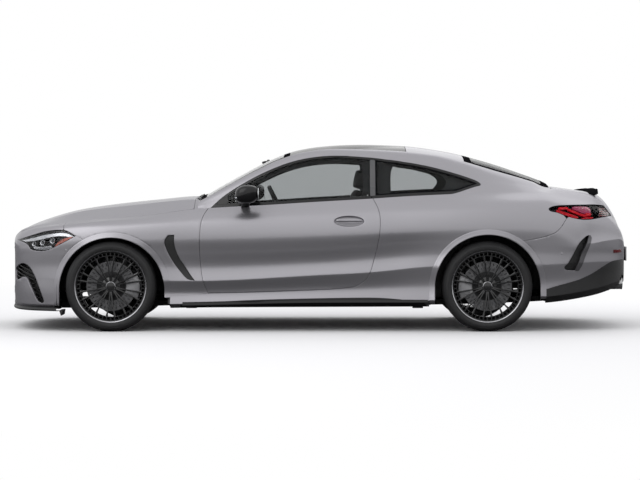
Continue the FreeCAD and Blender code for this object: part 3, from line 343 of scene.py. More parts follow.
def two_colours(nodes, links, factor, first, second):
    """A mix of two colours by a factor."""
    made = nodes.new("ShaderNodeMix")
    made.data_type = "RGBA"
    links.new(factor, made.inputs["Factor"])
    made.inputs[6].default_value = (*first, 1)
    made.inputs[7].default_value = (*second, 1)
    return made.outputs[2]


def bumped(nodes, links, shader, height, distance):
    """A bump on a shader from a height."""
    made = nodes.new("ShaderNodeBump")
    made.inputs["Distance"].default_value = distance
    made.inputs["Strength"].default_value = 1.0
    links.new(height, made.inputs["Height"])
    links.new(made.outputs["Normal"], shader.inputs["Normal"])


def finish(name, first, second, rough, patches=4.0, grain_scale=400.0, grain_depth=0.0, **constants):
    """A surface whose colour and roughness drift between two values, with a fine grain in it."""
    made, nodes, links, shader = new_material(name)
    group = nodes.new("ShaderNodeGroup")
    group.node_tree = grain
    group.inputs["Patch Scale"].default_value = patches
    group.inputs["Grain Scale"].default_value = grain_scale
    drift = spread(nodes, links, group.outputs["Patches"], 0, 1)
    links.new(two_colours(nodes, links, drift, first, second), shader.inputs["Base Color"])
    links.new(spread(nodes, links, group.outputs["Patches"], *rough), shader.inputs["Roughness"])
    if grain_depth:
        bumped(nodes, links, shader, group.outputs["Grain"], grain_depth)
    for socket, number in constants.items():
        shader.inputs[socket.replace("_", " ").title().replace("Ior", "IOR")].default_value = number
    return made


paint = finish("silver_paint", (0.375, 0.366, 0.393), (0.34, 0.333, 0.357), (0.34, 0.38), patches=900.0,
    metallic=0.8, coat_weight=0.4, coat_roughness=0.06)
paint.node_tree.nodes["Principled BSDF"].inputs["Specular Tint"].default_value = (0.45, 0.45, 0.47, 1)

# ------------------------------------------------------------ painted panels
# Each panel is pressed sheet cut from the body surface along its shut lines, with its edge
# turned in. The gaps between panels are 5 mm wide.
GAP, WELD = 0.0025, 2e-5
EDGE_RINGS = [(0.0006, 0.0002), (0.0011, 0.0006), (0.0014, 0.0014)]


def curved(points, steps_each=8):
    """A smooth closed outline through the points; a point with a third value is a corner."""
    made = []
    pts = np.array([p[:2] for p in points for _ in p[1:]], float)
    count = len(pts)
    for k in range(count):
        before, a, b, after = (pts[(k + step) % count] for step in (-1, 0, 1, 2))
        if np.allclose(a, b):
            continue
        leave = (b - before) / 2 if not np.allclose(a, before) else (b - a) / 2
        arrive = (after - a) / 2 if not np.allclose(b, after) else (b - a) / 2
        reach = np.linalg.norm(b - a)
        leave *= reach / max(np.linalg.norm(leave), 1e-9)
        arrive *= reach / max(np.linalg.norm(arrive), 1e-9)
        made += [cubic(a, b, leave, arrive, t) for t in np.arange(steps_each) / steps_each]
    return np.array(made)


def inside_distance(outline, across, up):
    """Distance from every point to a closed outline, negative inside it; a box's distance far from it."""
    low, high = outline.min(axis=0), outline.max(axis=0)
    away = np.maximum(np.maximum(low[0] - across, across - high[0]), np.maximum(low[1] - up, up - high[1]))
    close = away < 0.06
    p = np.stack([across[close], up[close]], 1)
    best = np.full(len(p), 1e9)
    inside = np.zeros(len(p), bool)
    for a, b in zip(outline, np.roll(outline, -1, axis=0)):
        step = b - a
        t = np.clip(((p - a) @ step) / max(step @ step, 1e-12), 0, 1)
        gap = p - a - t[:, None] * step
        best = np.minimum(best, (gap * gap).sum(axis=1))
        if abs(step[1]) > 1e-12:
            crossing = (a[1] > p[:, 1]) != (b[1] > p[:, 1])
            inside ^= crossing & (p[:, 0] < a[0] + (p[:, 1] - a[1]) * step[0] / step[1])
    away[close] = np.where(inside, -1, 1) * np.sqrt(best)
    return away


def from_side(outline):
    """A region given by its outline in side view."""
    return lambda p: inside_distance(outline, p[..., 0], p[..., 2])


def from_above(outline):
    """A region given by half of its outline in plan."""
    half = outline[outline[:, 1] > 1e-6]
    loop = np.concatenate([half, (half * [1, -1])[::-1]])
    return lambda p: inside_distance(loop, p[..., 0], p[..., 1])


def both(*regions):
    """The place where all the regions overlap."""
    return lambda p: np.max([region(p) for region in regions], axis=0)


def without(region, *removed):
    """A region with others, and the gap round them, left out."""
    return lambda p: np.max([region(p)] + [-cut(p) for cut in removed], axis=0)


def grown(region, amount):
    """A region with its edge moved outwards."""
    return lambda p: region(p) - amount


def clipped(grid, normals, values):
    """The part of a grid where values are negative: its points, normals and faces."""
    points, leans, faces, index, cuts = [], [], [], {}, {}

    def corner(i, j):
        if (i, j) not in index:
            index[i, j] = len(points)
            points.append(grid[i, j])
            leans.append(normals[i, j])
        return index[i, j]

    def cut(a, b):
        key = (a, b) if a < b else (b, a)
        if key not in cuts:
            va, vb = values[key[0]], values[key[1]]
            t = min(max(va / (va - vb), 0.02), 0.98)
            cuts[key] = len(points)
            points.append(grid[key[0]] * (1 - t) + grid[key[1]] * t)
            leans.append(normals[key[0]] * (1 - t) + normals[key[1]] * t)
        return cuts[key]

    within = values < 0
    some = within[:-1, :-1] | within[1:, :-1] | within[:-1, 1:] | within[1:, 1:]
    for i, j in zip(*np.nonzero(some)):
        ring = [(i, j), (i, j + 1), (i + 1, j + 1), (i + 1, j)]
        face = []
        for a, b in zip(ring, ring[1:] + ring[:1]):
            if within[a]:
                face.append(corner(*a))
            if within[a] != within[b]:
                face.append(cut(a, b))
        faces.append(face)
    return points, leans, faces


def sheet_metal(region, on, depth, inner=True, rings=EDGE_RINGS, sunk=0.0, front=True):
    """A panel cut from the surfaces, sunk below them, with a turned edge and an inner face."""
    points, leans, faces = [], [], []
    for which in on:
        grid, normals = surfaces[which]
        p, n, f = clipped(grid, normals, region(grid))
        faces += [[k + len(points) for k in face] for face in f]
        points += p
        leans += n
    if not points:
        raise ValueError("an empty panel")
    points, leans = np.array(points), unit(np.array(leans))
    keys, back = np.unique(np.round(points / WELD).astype(int), axis=0, return_inverse=True)
    back = back.ravel()
    first = np.zeros(len(keys), int)
    first[back[::-1]] = np.arange(len(points))[::-1]
    summed = np.zeros((len(keys), 3))
    np.add.at(summed, back, leans)
    leans = unit(summed)
    points = points[first] - leans * sunk
    cleaned = []
    for face in faces:
        face = [back[k] for k in face]
        face = [k for i, k in enumerate(face) if k != face[i - 1]]
        if len(face) > 2:
            cleaned.append(face)
    return with_edges(points, leans, cleaned, depth, inner, rings, front)


def with_edges(points, leans, faces, depth, inner, rings, front):
    """A sheet's faces with its border turned in to a depth, and its inner face."""
    rings = [(rings, rings)] if isinstance(rings, float) else rings
    edges = {}
    for face in faces:
        for a, b in zip(face, face[1:] + face[:1]):
            edges[a, b] = True
    middle = np.abs(points[:, 1]) < 1e-6
    border = [(a, b) for a, b in edges if (b, a) not in edges and not (middle[a] and middle[b])]
    sideways = np.zeros_like(points)
    for a, b in border:
        push = unit(np.cross(points[b] - points[a], leans[a]))
        sideways[a] += push
        sideways[b] += push
    rim = sorted({k for edge in border for k in edge})
    count = len(points)
    out_points, out_leans, out_faces = [points], [leans], list(faces) if front else []
    side = unit(sideways[rim])
    lean = leans[rim]
    previous = {k: k for k in rim}
    all_rings = list(rings) + ([(rings[-1][0], depth)] if depth > rings[-1][1] else [])
    for number, (out, down) in enumerate(all_rings):
        angle = min((number + 1) / len(rings), 1) * math.pi / 2
        out_points.append(points[rim] + side * out - lean * down)
        out_leans.append(unit(lean * math.cos(angle) + side * math.sin(angle)))
        here = {k: count + i for i, k in enumerate(rim)}
        out_faces += [[previous[b], previous[a], here[a], here[b]] for a, b in border]
        count += len(rim)
        previous = here
    if inner:
        out_points.append(points - leans * depth)
        out_leans.append(-leans)
        out_faces += [[k + count for k in reversed(face)] for face in faces]
        out_faces += [[previous[b], previous[a], a + count, b + count] for a, b in border]
    return np.concatenate(out_points), np.concatenate(out_leans), out_faces


def finer(which, start, end):
    """Adds a stretch of a surface with its points twice as close together, and gives its number."""
    grid, normals = surfaces[which]
    along = grid[:, 0, 0]
    near = np.nonzero((along >= start) & (along <= end))[0]
    first, last = max(near[0] - 1, 0), min(near[-1] + 1, len(grid) - 1)
    made = []
    for values in (grid[first:last + 1], normals[first:last + 1]):
        for axis in (0, 1):
            places = np.arange((values.shape[axis] - 1) * 2 + 1) / 2
            low = np.minimum(places.astype(int), values.shape[axis] - 2)
            share_on = (places - low).reshape([-1 if k == axis else 1 for k in range(3)])
            values = np.take(values, low, axis) * (1 - share_on) + np.take(values, low + 1, axis) * share_on
        made.append(values)
    surfaces.append((made[0], unit(made[1])))
    return len(surfaces) - 1


def mirrored(part):
    """The same sheet on the car's other side."""
    points, leans, faces = part
    return points * [1, -1, 1], leans * [1, -1, 1], [face[::-1] for face in faces]


def joined(*parts):
    """Several lots of points, normals and faces as one."""
    points, leans, faces, count = [], [], [], 0
    for p, n, f in parts:
        points.append(p)
        leans.append(n)
        faces += [[k + count for k in face] for face in f]
        count += len(p)
    return np.concatenate(points), np.concatenate(leans), faces


def whole(part):
    """A sheet of the +Y half and its mirror image, welded along the centre plane."""
    points, leans, faces = joined(part, mirrored(part))
    count = len(part[0])
    on_middle = np.abs(points[:count, 1]) < 1e-6
    weld = np.arange(len(points))
    weld[count:][on_middle] = np.nonzero(on_middle)[0]
    leans[:count][on_middle] = unit(leans[:count][on_middle] * [1, 0, 1])
    return points, leans, [[int(weld[k]) for k in face] for face in faces]


def thinned(mesh, share):
    """The mesh with fewer faces where its surface is nearly flat, closed along its seams."""
    form = bmesh.new()
    form.from_mesh(mesh)
    bmesh.ops.remove_doubles(form, verts=form.verts, dist=WELD)
    form.to_mesh(mesh)
    form.free()
    holder = bpy.data.objects.new("holder", mesh)
    bpy.context.collection.objects.link(holder)
    holder.modifiers.new("fewer", "DECIMATE").ratio = share
    fewer = bpy.data.meshes.new_from_object(holder.evaluated_get(bpy.context.evaluated_depsgraph_get()))
    name = mesh.name
    bpy.data.objects.remove(holder)
    bpy.data.meshes.remove(mesh)
    fewer.name = name
    return fewer


def corner_leans(mesh, exact_points, exact_leans):
    """The exact surface's outward direction at every corner of a thinned mesh."""
    tree = kdtree.KDTree(len(exact_points))
    for k, point in enumerate(exact_points):
        tree.insert(point, k)
    tree.balance()
    found = [tree.find_n(vertex.co, NEAREST) for vertex in mesh.vertices]
    near = np.array([[hit[1] for hit in hits] for hits in found])
    gap = np.array([[hit[2] for hit in hits] for hits in found])
    corner_vertex, corner_face = np.empty(len(mesh.loops), int), np.empty(len(mesh.loops), int)
    mesh.loops.foreach_get("vertex_index", corner_vertex)
    facing = np.empty(len(mesh.polygons) * 3)
    mesh.polygons.foreach_get("normal", facing)
    for face in mesh.polygons:
        corner_face[face.loop_start:face.loop_start + face.loop_total] = face.index
    facing = facing.reshape(-1, 3)[corner_face]
    choices = np.asarray(exact_leans)[near[corner_vertex]]
    agree = np.einsum("ijk,ik->ij", choices, facing)
    weight = np.where(agree > ALIKE, 1.0, 1e-4) / (gap[corner_vertex] + 1e-4)
    leans = unit((choices * weight[..., None]).sum(axis=1))
    return np.where(agree.max(axis=1, keepdims=True) > ALIKE, leans, facing)


NEAREST, ALIKE = 5, 0.75
MANY_FACES, FEW_FACES, PAINT_SHARE, OTHER_SHARE = 45000, 25000, 0.3, 0.15


def made_piece(name, parts, body, slot, *stands_for, sharp_degrees=35):
    """A piece of one or more (part, material) pairs, riding on a body and standing for CAD nodes."""
    points, faces, leans, marks, materials = [], [], [], [], []
    for (part_points, part_leans, part_faces), material in parts:
        start = sum(len(lot) for lot in points)
        points.append(part_points)
        leans.append(part_leans)
        faces += [[int(k) + start for k in face] for face in part_faces]
        if material not in materials:
            materials.append(material)
        marks += [materials.index(material)] * len(part_faces)
    points = np.concatenate(points)
    used = np.unique(np.concatenate([np.array(face) for face in faces]))
    number = np.zeros(len(points), int)
    number[used] = np.arange(len(used))
    faces = [[int(number[k]) for k in face] for face in faces]
    mesh = bpy.data.meshes.new(name)
    mesh.from_pydata(points[used].tolist(), [], faces)
    for material in materials:
        mesh.materials.append(material)
    mesh.polygons.foreach_set("material_index", marks)
    mesh.update()
    mesh.shade_smooth()
    triangles = sum(len(face) - 2 for face in faces)
    exact = all(part_leans is not None for part_leans in leans)
    if triangles > MANY_FACES:
        share = PAINT_SHARE if paint in materials else OTHER_SHARE
        mesh = thinned(mesh, (FEW_FACES + share * (triangles - FEW_FACES)) / triangles)
    if exact and triangles > MANY_FACES:
        mesh.normals_split_custom_set(corner_leans(mesh, points[used],
            np.concatenate(leans)[used]).tolist())
    elif exact:
        mesh.normals_split_custom_set_from_vertices(np.concatenate(leans)[used].tolist())
    else:
        mesh.set_sharp_from_angle(angle=math.radians(sharp_degrees))
    piece = bpy.data.objects.new(name, mesh)
    bpy.context.collection.objects.link(piece)
    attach(piece, body)
    if stands_for:
        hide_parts(*stands_for)
    return piece


FRONT_SIDE, FRONT_TOP = finer(SIDE, -2.43, -0.83), finer(TOP, -2.43, -0.83)
DOOR_SIDE = finer(SIDE, -0.93, 0.5)
REAR_SIDE, REAR_TOP = finer(SIDE, 1.45, 2.43), finer(TOP, 1.5, 2.43)
WINDOW_HOUSE = finer(HOUSE, -0.95, 1.35)


def circle_region(centre_x, centre_z, radius):
    """A wheel opening in side view: a round arch that runs straight down below its centre."""
    def distance(p):
        across = p[..., 0] - centre_x
        up = np.maximum(p[..., 2] - centre_z, 0)
        return np.hypot(across, up) - radius
    return distance


ARCHES = {"front": (-1.58, 0.312), "rear": (1.287, 0.335)}
ARCH_RADIUS, FLARE_RADIUS = 0.403, 0.446
flares = [circle_region(*centre, FLARE_RADIUS) for centre in ARCHES.values()]

DOOR = curved([(-0.845, 0.945), (-0.875, 0.9), (-0.897, 0.84), (-0.908, 0.74), (-0.91, 0.64), (-0.902, 0.5),
    (-0.882, 0.385), (-0.847, 0.293, 1), (-0.5, 0.3), (0, 0.318), (0.19, 0.33), (0.28, 0.345), (0.34, 0.38),
    (0.385, 0.44), (0.42, 0.55), (0.455, 0.7), (0.468, 0.84), (0.455, 0.93), (0.415, 1.013, 1),
    (0.405, 1.1, 1), (-0.845, 1.1, 1), (-0.845, 0.945)])
HEADLAMP = curved([(-2.345, 0.69, 1), (-2.2, 0.736), (-2.1, 0.765), (-1.99, 0.778), (-1.925, 0.772),
    (-1.85, 0.73, 1), (-1.95, 0.675), (-2.08, 0.617), (-2.15, 0.612), (-2.215, 0.624), (-2.24, 0.655),
    (-2.27, 0.672)])
TAIL_LAMP = curved([(1.75, 0.93), (1.79, 0.958), (1.9, 0.966), (2.05, 0.968), (2.16, 0.966),
    (2.34, 0.94, 1), (2.34, 0.885, 1), (2.18, 0.868), (2.08, 0.852), (2.0, 0.853), (1.9, 0.875),
    (1.82, 0.905)])
HOOD_EDGE = curved([(-2.352, 0, 1), (-2.345, 0.33), (-2.3, 0.545), (-2.165, 0.645), (-1.95, 0.725),
    (-1.6, 0.765), (-1.0, 0.775), (-0.958, 0.775, 1), (-0.958, 0, 1)], 6)
LID_EDGE = curved([(1.812, 0, 1), (1.812, 0.5, 1), (1.85, 0.52, 1), (2.6, 0.52, 1), (2.6, 0, 1)], 4)


def below(height):
    """Everything under a height."""
    return lambda p: p[..., 2] - height


def above(height):
    """Everything over a height."""
    return lambda p: height - p[..., 2]


def ahead_of(points):
    """Everything in front of a line in side view, given by points from its top down."""
    line = np.array(points, float)[::-1]
    return lambda p: p[..., 0] - np.interp(p[..., 2], line[:, 1], line[:, 0])


def behind(points):
    """Everything behind a line in side view, given by points from its top down."""
    region = ahead_of(points)
    return lambda p: -region(p)


door_space = from_side(DOOR)
LAMP_INNER, TAIL_LAMP_INNER = 0.52, 0.535


def beyond(distance):
    """Everything farther than a distance from the centre plane."""
    return lambda p: distance - np.abs(p[..., 1])


headlamp_space = both(from_side(HEADLAMP), beyond(LAMP_INNER))
tail_lamp_space = both(from_side(TAIL_LAMP), beyond(TAIL_LAMP_INNER))
hood_space = both(from_above(HOOD_EDGE), above(0.722))
lid_space = both(from_above(LID_EDGE), above(0.868))
BUMPER_FRONT = [(-1.95, 1.2), (-1.95, 0.775), (-1.9, 0.752), (-1.85, 0.73), (-1.77, 0.69), (-1.7, 0.1)]
BUMPER_REAR_TOP = curved([(1.3, 0.68), (1.52, 0.688), (1.65, 0.71), (1.75, 0.735), (1.81, 0.762),
    (1.855, 0.81), (1.89, 0.862), (1.91, 0.88, 1), (2.02, 0.874), (2.12, 0.874), (2.2, 0.884), (2.3, 0.894),
    (2.345, 0.89), (2.36, 0.868, 1), (2.5, 0.866, 1), (2.5, -0.1, 1), (1.3, -0.1, 1)], 6)
DIFFUSER = curved([(1.68, 0, 1), (1.69, 0.31, 1), (1.8, 0.345), (1.9, 0.37), (2.0, 0.4), (2.1, 0.445),
    (2.2, 0.505), (2.27, 0.535), (2.5, 0.545, 1), (2.5, 0, 1)], 6)
bumper_front_space = ahead_of(BUMPER_FRONT)
bumper_rear_space = from_side(BUMPER_REAR_TOP)
diffuser_space = from_side(DIFFUSER)
INTAKE = curved([(-2.4, 0.435, 1), (-2.33, 0.5), (-2.28, 0.515), (-2.225, 0.49), (-2.18, 0.42),
    (-2.145, 0.34), (-2.118, 0.27), (-2.105, 0.225), (-2.125, 0.212), (-2.16, 0.232), (-2.19, 0.285),
    (-2.22, 0.345), (-2.262, 0.408), (-2.33, 0.385), (-2.4, 0.37, 1)])
intake_space = both(from_side(INTAKE), beyond(0.47))
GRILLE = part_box("grille")


def front_window(half, low, high, corner):
    """A rounded opening in front view, centred on the car."""
    def distance(p):
        across = np.abs(p[..., 1]) - half + corner
        up = np.abs(p[..., 2] - (low + high) / 2) - (high - low) / 2 + corner
        outside = np.hypot(np.maximum(across, 0), np.maximum(up, 0)) + np.minimum(np.maximum(across, up), 0)
        return np.maximum(outside - corner, p[..., 0] + 2.2)
    return distance


grille_space = front_window(GRILLE[1].y, GRILLE[0].z, GRILLE[1].z, 0.07)
lower_intake_space = front_window(0.4, 0.205, 0.272, 0.025)

VENT = curved([(-1.152, 0.738, 1), (-1.1, 0.741, 1), (-1.1, 0.68), (-1.09, 0.63), (-1.06, 0.56),
    (-1.02, 0.5), (-0.97, 0.425), (-0.94, 0.388, 1), (-1.0, 0.4), (-1.055, 0.455), (-1.115, 0.535),
    (-1.16, 0.62), (-1.178, 0.69)])
vent_space = from_side(VENT)
BLADE = curved([(-1.06, 0.1, 1), (-1.06, 0.203, 1), (-0.9, 0.222), (-0.5, 0.243), (0, 0.256), (0.4, 0.261),
    (0.55, 0.254), (0.72, 0.236), (0.82, 0.213, 1), (0.82, 0.1, 1)], 6)
blade_space = from_side(BLADE)
HANDLE_CENTRE, HANDLE_REACH = (0.23, 0.8425), (0.116, 0.0425)
REAR_VENT = curved([(2.07, 0.738, 1), (2.035, 0.722), (1.985, 0.672), (1.945, 0.6), (1.905, 0.53),
    (1.872, 0.492), (1.882, 0.47), (1.958, 0.463, 1), (1.985, 0.52), (2.005, 0.58), (2.045, 0.66)])
rear_vent_space = from_side(REAR_VENT)
CHIN = 0.18
chin_space = both(below(CHIN), bumper_front_space)
ROCKER = np.array([(-1.3, 0.268), (-1.0, 0.276), (-0.845, 0.289), (-0.5, 0.296)]).T


def handle_space(p):
    """The oval hollow behind the door handle."""
    across = (p[..., 0] - HANDLE_CENTRE[0]) / HANDLE_REACH[0]
    up = (p[..., 2] - HANDLE_CENTRE[1]) / HANDLE_REACH[1]
    return (np.hypot(across, up) - 1) * HANDLE_REACH[1]


def over_rocker(p):
    """Everything over the line between the sill and the fender."""
    return np.interp(p[..., 0], *ROCKER) - p[..., 2]


def past(x):
    """Everything behind a place along the car."""
    return lambda p: x - p[..., 0]


def short_of(x):
    """Everything in front of a place along the car."""
    return lambda p: p[..., 0] - x


def paint_piece(name, part, body, *stands_for):
    """A painted panel."""
    return made_piece(name, [(part, paint)], body, "body_paint", *stands_for)


bumper = sheet_metal(without(grown(bumper_front_space, -GAP), grown(hood_space, GAP), headlamp_space,
    grown(grille_space, 0.004), intake_space, lower_intake_space, flares[0], chin_space),
    (FRONT_SIDE, FRONT_TOP), 0.012)
paint_piece("front_bumper_cover", whole(bumper), "body", "front_bumper")

fender = sheet_metal(without(both(behind(BUMPER_FRONT), over_rocker, short_of(-0.838)), headlamp_space,
    grown(bumper_front_space, GAP), grown(hood_space, GAP), flares[0], grown(door_space, GAP), vent_space),
    (FRONT_SIDE, FRONT_TOP), 0.012)
paint_piece("front_fender_panels", joined(fender, mirrored(fender)), "body", "front_fenders")

hood = sheet_metal(grown(hood_space, -GAP), (SIDE, TOP), 0.014)
paint_piece("hood_panel", whole(hood), "hood", "hood")

door_skin = sheet_metal(without(grown(door_space, -GAP), handle_space), (DOOR_SIDE,), 0.004)
paint_piece("left_door_skin", mirrored(door_skin), "left_door", "left_door")
paint_piece("right_door_skin", door_skin, "right_door", "right_door")

DOOR_WINDOW = curved([(-0.845, 0.93, 1), (-0.74, 1.026), (-0.6, 1.12), (-0.4, 1.225), (-0.2, 1.3),
    (0, 1.337), (0.2, 1.343), (0.5, 1.318), (0.8, 1.272), (1.0, 1.222), (1.2, 1.157), (1.25, 1.125),
    (1.245, 1.115), (1.2, 1.103), (1.0, 1.045), (0.7, 1.03), (0.4, 1.0), (0, 0.975), (-0.4, 0.95)])
window_space = from_side(DOOR_WINDOW)
GLASS_EDGE = curved([(-0.93, 0, 1), (-0.915, 0.715, 1), (-0.84, 0.698), (-0.5, 0.63), (-0.22, 0.582),
    (0.1, 0.56), (0.67, 0.545), (1.12, 0.521), (1.5, 0.497), (1.795, 0.47, 1), (1.803, 0, 1)], 6)
roof_centre_space = from_above(GLASS_EDGE)

side = sheet_metal(without(past(-1.165), both(over_rocker, short_of(-0.84)), grown(door_space, GAP),
    grown(bumper_rear_space, GAP), tail_lamp_space, blade_space, *flares), (SIDE,), 0.012)
deck_sides = sheet_metal(without(past(1.8), grown(lid_space, GAP), grown(bumper_rear_space, GAP),
    tail_lamp_space), (TOP,), 0.012)
pillars = sheet_metal(without(both(past(-0.93), short_of(1.801)), window_space, roof_centre_space),
    (HOUSE,), 0.02)
body_side = joined(side, deck_sides, pillars)
paint_piece("left_side_panel", mirrored(body_side), "body", "left_body_side", "roof_pillars")
paint_piece("right_side_panel", body_side, "body", "right_body_side")

rear_bumper = sheet_metal(without(grown(bumper_rear_space, -GAP), tail_lamp_space, flares[1],
    diffuser_space, grown(lid_space, GAP), rear_vent_space), (REAR_SIDE, REAR_TOP), 0.012)
paint_piece("rear_bumper_cover", whole(rear_bumper), "body", "rear_bumper")
lid = sheet_metal(without(grown(lid_space, -GAP), tail_lamp_space), (SIDE, TOP), 0.014)
paint_piece("boot_lid_panel", whole(lid), "boot_lid", "boot_lid")


# ------------------------------------------------------------ wheel arches
# Rolled steel lips that stand a little proud of the body round each wheel opening, with black
# felted liners screwed inside them.
ARCH_FOOT = {"front": (0.197, 0.262), "rear": (0.212, 0.25)}
FLARE_PROFILE = [(0.4505, -0.0005), (0.4485, -0.002), (0.4465, 0.0005), (0.445, 0.0012), (0.436, 0.0024),
    (0.424, 0.0046), (0.4125, 0.0078), (0.4085, 0.0086), (0.405, 0.0074), (0.4032, 0.0042), (0.403, 0.0),
    (0.403, -0.03)]
LINER_RADIUS, LINER_EDGE, LINER_END, ARCH_STEP = 0.4215, 0.892, 0.776, 0.012


def side_y(x, z):
    """Half width of the body's side at a place in side view, below the belt."""
    k = int(np.clip(np.searchsorted(x_row, x) - 1, 0, len(x_row) - 2))
    t = (x - x_row[k]) / (x_row[k + 1] - x_row[k])
    section = side_grid[k] * (1 - t) + side_grid[k + 1] * t
    return float(np.interp(z, section[:, 2], section[:, 1]))


def arch_path(axle, radius):
    """Side-view points (x, z, radial x, radial z) round an arch, from its front foot to its rear foot."""
    x0, z0 = ARCHES[axle]
    front_foot, rear_foot = ARCH_FOOT[axle]
    path = [(x0 - radius, z, -1.0, 0.0) for z in np.linspace(front_foot, z0, 9)[:-1]]
    for angle in np.linspace(math.pi, 0, int(math.pi * ARCH_RADIUS / ARCH_STEP)):
        path.append((x0 + radius * math.cos(angle), z0 + radius * math.sin(angle), math.cos(angle),
            math.sin(angle)))
    return path + [(x0 + radius, z, 1.0, 0.0) for z in np.linspace(z0, rear_foot, 9)[1:]]


def ribbon(columns, closed=False):
    """Quads between columns of points, as a part whose edges are found by angle."""
    points = np.array([p for column in columns for p in column], float)
    high, faces = len(columns[0]), []
    count = len(columns) if closed else len(columns) - 1
    for i in range(count):
        j = (i + 1) % len(columns)
        faces += [[i * high + k, i * high + k + 1, j * high + k + 1, j * high + k] for k in range(high - 1)]
    return points, None, faces


def flipped(part):
    """A part with its faces turned over."""
    points, leans, faces = part
    return points, None if leans is None else -leans, [face[::-1] for face in faces]


def other_side(part):
    """A part on the car's other side."""
    points, leans, faces = part
    return points * [1, -1, 1], None if leans is None else leans * [1, -1,
        1], [face[::-1] for face in faces]


def joined_plain(*parts):
    """Several parts as one, with edges found by angle."""
    points, faces, count = [], [], 0
    for part_points, _, part_faces in parts:
        points.append(np.asarray(part_points))
        faces += [[int(k) + count for k in face] for face in part_faces]
        count += len(part_points)
    return np.concatenate(points), None, faces


liner_felt = finish("liner_felt", (0.012, 0.012, 0.013), (0.02, 0.02, 0.02), (0.75, 0.9), 9.0, 700.0, 0.002)
flare_parts, liner_parts = [], []
for axle in ARCHES:
    columns, liner = [], []
    for place in zip(*[arch_path(axle, radius) for radius, _ in FLARE_PROFILE]):
        stand = 1.0 - 0.75 * max(0.0, min(1.0, (place[0][2] - 0.2) / 0.6))
        column = [(x, side_y(x, z) + (out * stand if out > 0 else out), z)
            for (x, z, _, _), (_, out) in zip(place, FLARE_PROFILE)]
        columns.append(column)
    for x, z, across, up in arch_path(axle, LINER_RADIUS):
        edge = (x - across * 0.018, LINER_EDGE, z - up * 0.018)
        liner.append([edge, (x, LINER_EDGE - 0.004, z), (x, LINER_END, z),
            (x + across * 0.003, LINER_END, z + up * 0.003), (x + across * 0.003, LINER_EDGE,
            z + up * 0.003), edge])
    flare_parts += [flipped(ribbon(columns)), flipped(other_side(ribbon(columns)))]
    liner_parts += [ribbon(liner), other_side(ribbon(liner))]
made_piece("arch_lips", [(joined_plain(*flare_parts), paint)], "body", "body_paint", sharp_degrees=25)
made_piece("arch_liners", [(joined_plain(*liner_parts), liner_felt)], "body", "black_plastic")


# ------------------------------------------------------------ seams behind the panels
# The dark inner flanges that the outer panels are bolted and clipped to; they show only as the
# black lines between the panels and as gutters round the open doors, hood and lid.
FLANGE_DEPTH = 0.017
flange_black = finish("flange_black", (0.008, 0.008, 0.009), (0.014, 0.014, 0.015), (0.5, 0.65))
arch_holes = [circle_region(*centre, 0.43) for centre in ARCHES.values()]
flange_side = sheet_metal(without(both(past(-2.41), short_of(2.41)), grown(door_space, -0.022), *arch_holes,
    below(0.215), grown(grille_space, 0.012), grown(intake_space, 0.01), grown(lower_intake_space, 0.01),
    grown(rear_vent_space, 0.01), grown(headlamp_space, 0.006), grown(tail_lamp_space, 0.006),
    grown(lid_space, -0.022)), (SIDE,), 0.002, sunk=FLANGE_DEPTH)
flange_top = sheet_metal(without(both(past(-2.36), short_of(2.36)), grown(hood_space, -0.022),
    grown(lid_space, -0.022), both(past(-0.86), short_of(1.7))), (TOP,), 0.002, sunk=FLANGE_DEPTH)
made_piece("panel_flanges", [(whole(joined(flange_side, flange_top)), flange_black)], "body", "underbody")

# ------------------------------------------------------------ windows
# Tinted laminated glass with a black ceramic band printed round its edge, bonded to the shell;
# the door panes are frameless and drop into the doors. The roof's middle is one black glass panel.
def glass_material(name, colour, bend):
    """Clear or tinted glass, a little uneven in tint."""
    made, nodes, links, shader = new_material(name)
    group = nodes.new("ShaderNodeGroup")
    group.node_tree = grain
    group.inputs["Patch Scale"].default_value = 2.0
    tint = two_colours(nodes, links, group.outputs["Patches"], colour, tuple(c * 0.96 for c in colour))
    links.new(tint, shader.inputs["Base Color"])
    shader.inputs["Roughness"].default_value = 0.0
    shader.inputs["Transmission Weight"].default_value = 1.0
    shader.inputs["IOR"].default_value = bend
    return made


tinted_glass = glass_material("tinted_glass", (0.56, 0.575, 0.58), 1.2)
privacy_glass = glass_material("privacy_glass", (0.1, 0.103, 0.105), 1.04)
screen_glass = glass_material("screen_glass", (0.4, 0.41, 0.415), 1.08)
gloss_black = finish("gloss_black", (0.006, 0.006, 0.007), (0.009, 0.009, 0.01), (0.14, 0.2),
    specular_ior_level=0.4)
ceramic_black = finish("ceramic_black", (0.006, 0.006, 0.007), (0.01, 0.01, 0.011), (0.3, 0.4),
    specular_ior_level=0.0)
roof_glass = finish("roof_glass", (0.008, 0.008, 0.009), (0.012, 0.012, 0.013), (0.12, 0.16),
    specular_ior_level=0.02)
post_grey = finish("post_grey", (0.07, 0.07, 0.075), (0.09, 0.09, 0.095), (0.25, 0.32), coat_weight=0.5)
BELT_HEIGHT = TOP_LINES[0][2]
STRIP_HIGH, SURROUND = 0.022, 0.017
POST_FRONT, POST_REAR = 0.394, 0.432


def over_strip(p):
    """Everything over the strip along the belt."""
    return eased(BELT_HEIGHT, p[..., 0]) + STRIP_HIGH - p[..., 2]


def not_in(region):
    """Everything outside a region."""
    return lambda p: -region(p)


def rim_of(space, outer, inner):
    """The strip of a region between two moves of its edge."""
    return both(grown(space, outer), not_in(grown(space, inner)))


def same(part):
    """A part left as it is."""
    return part


SHEET_SIDES = (("left", mirrored), ("right", same))
PLAIN_SIDES = (("left", lambda part: flipped(other_side(part))), ("right", same))


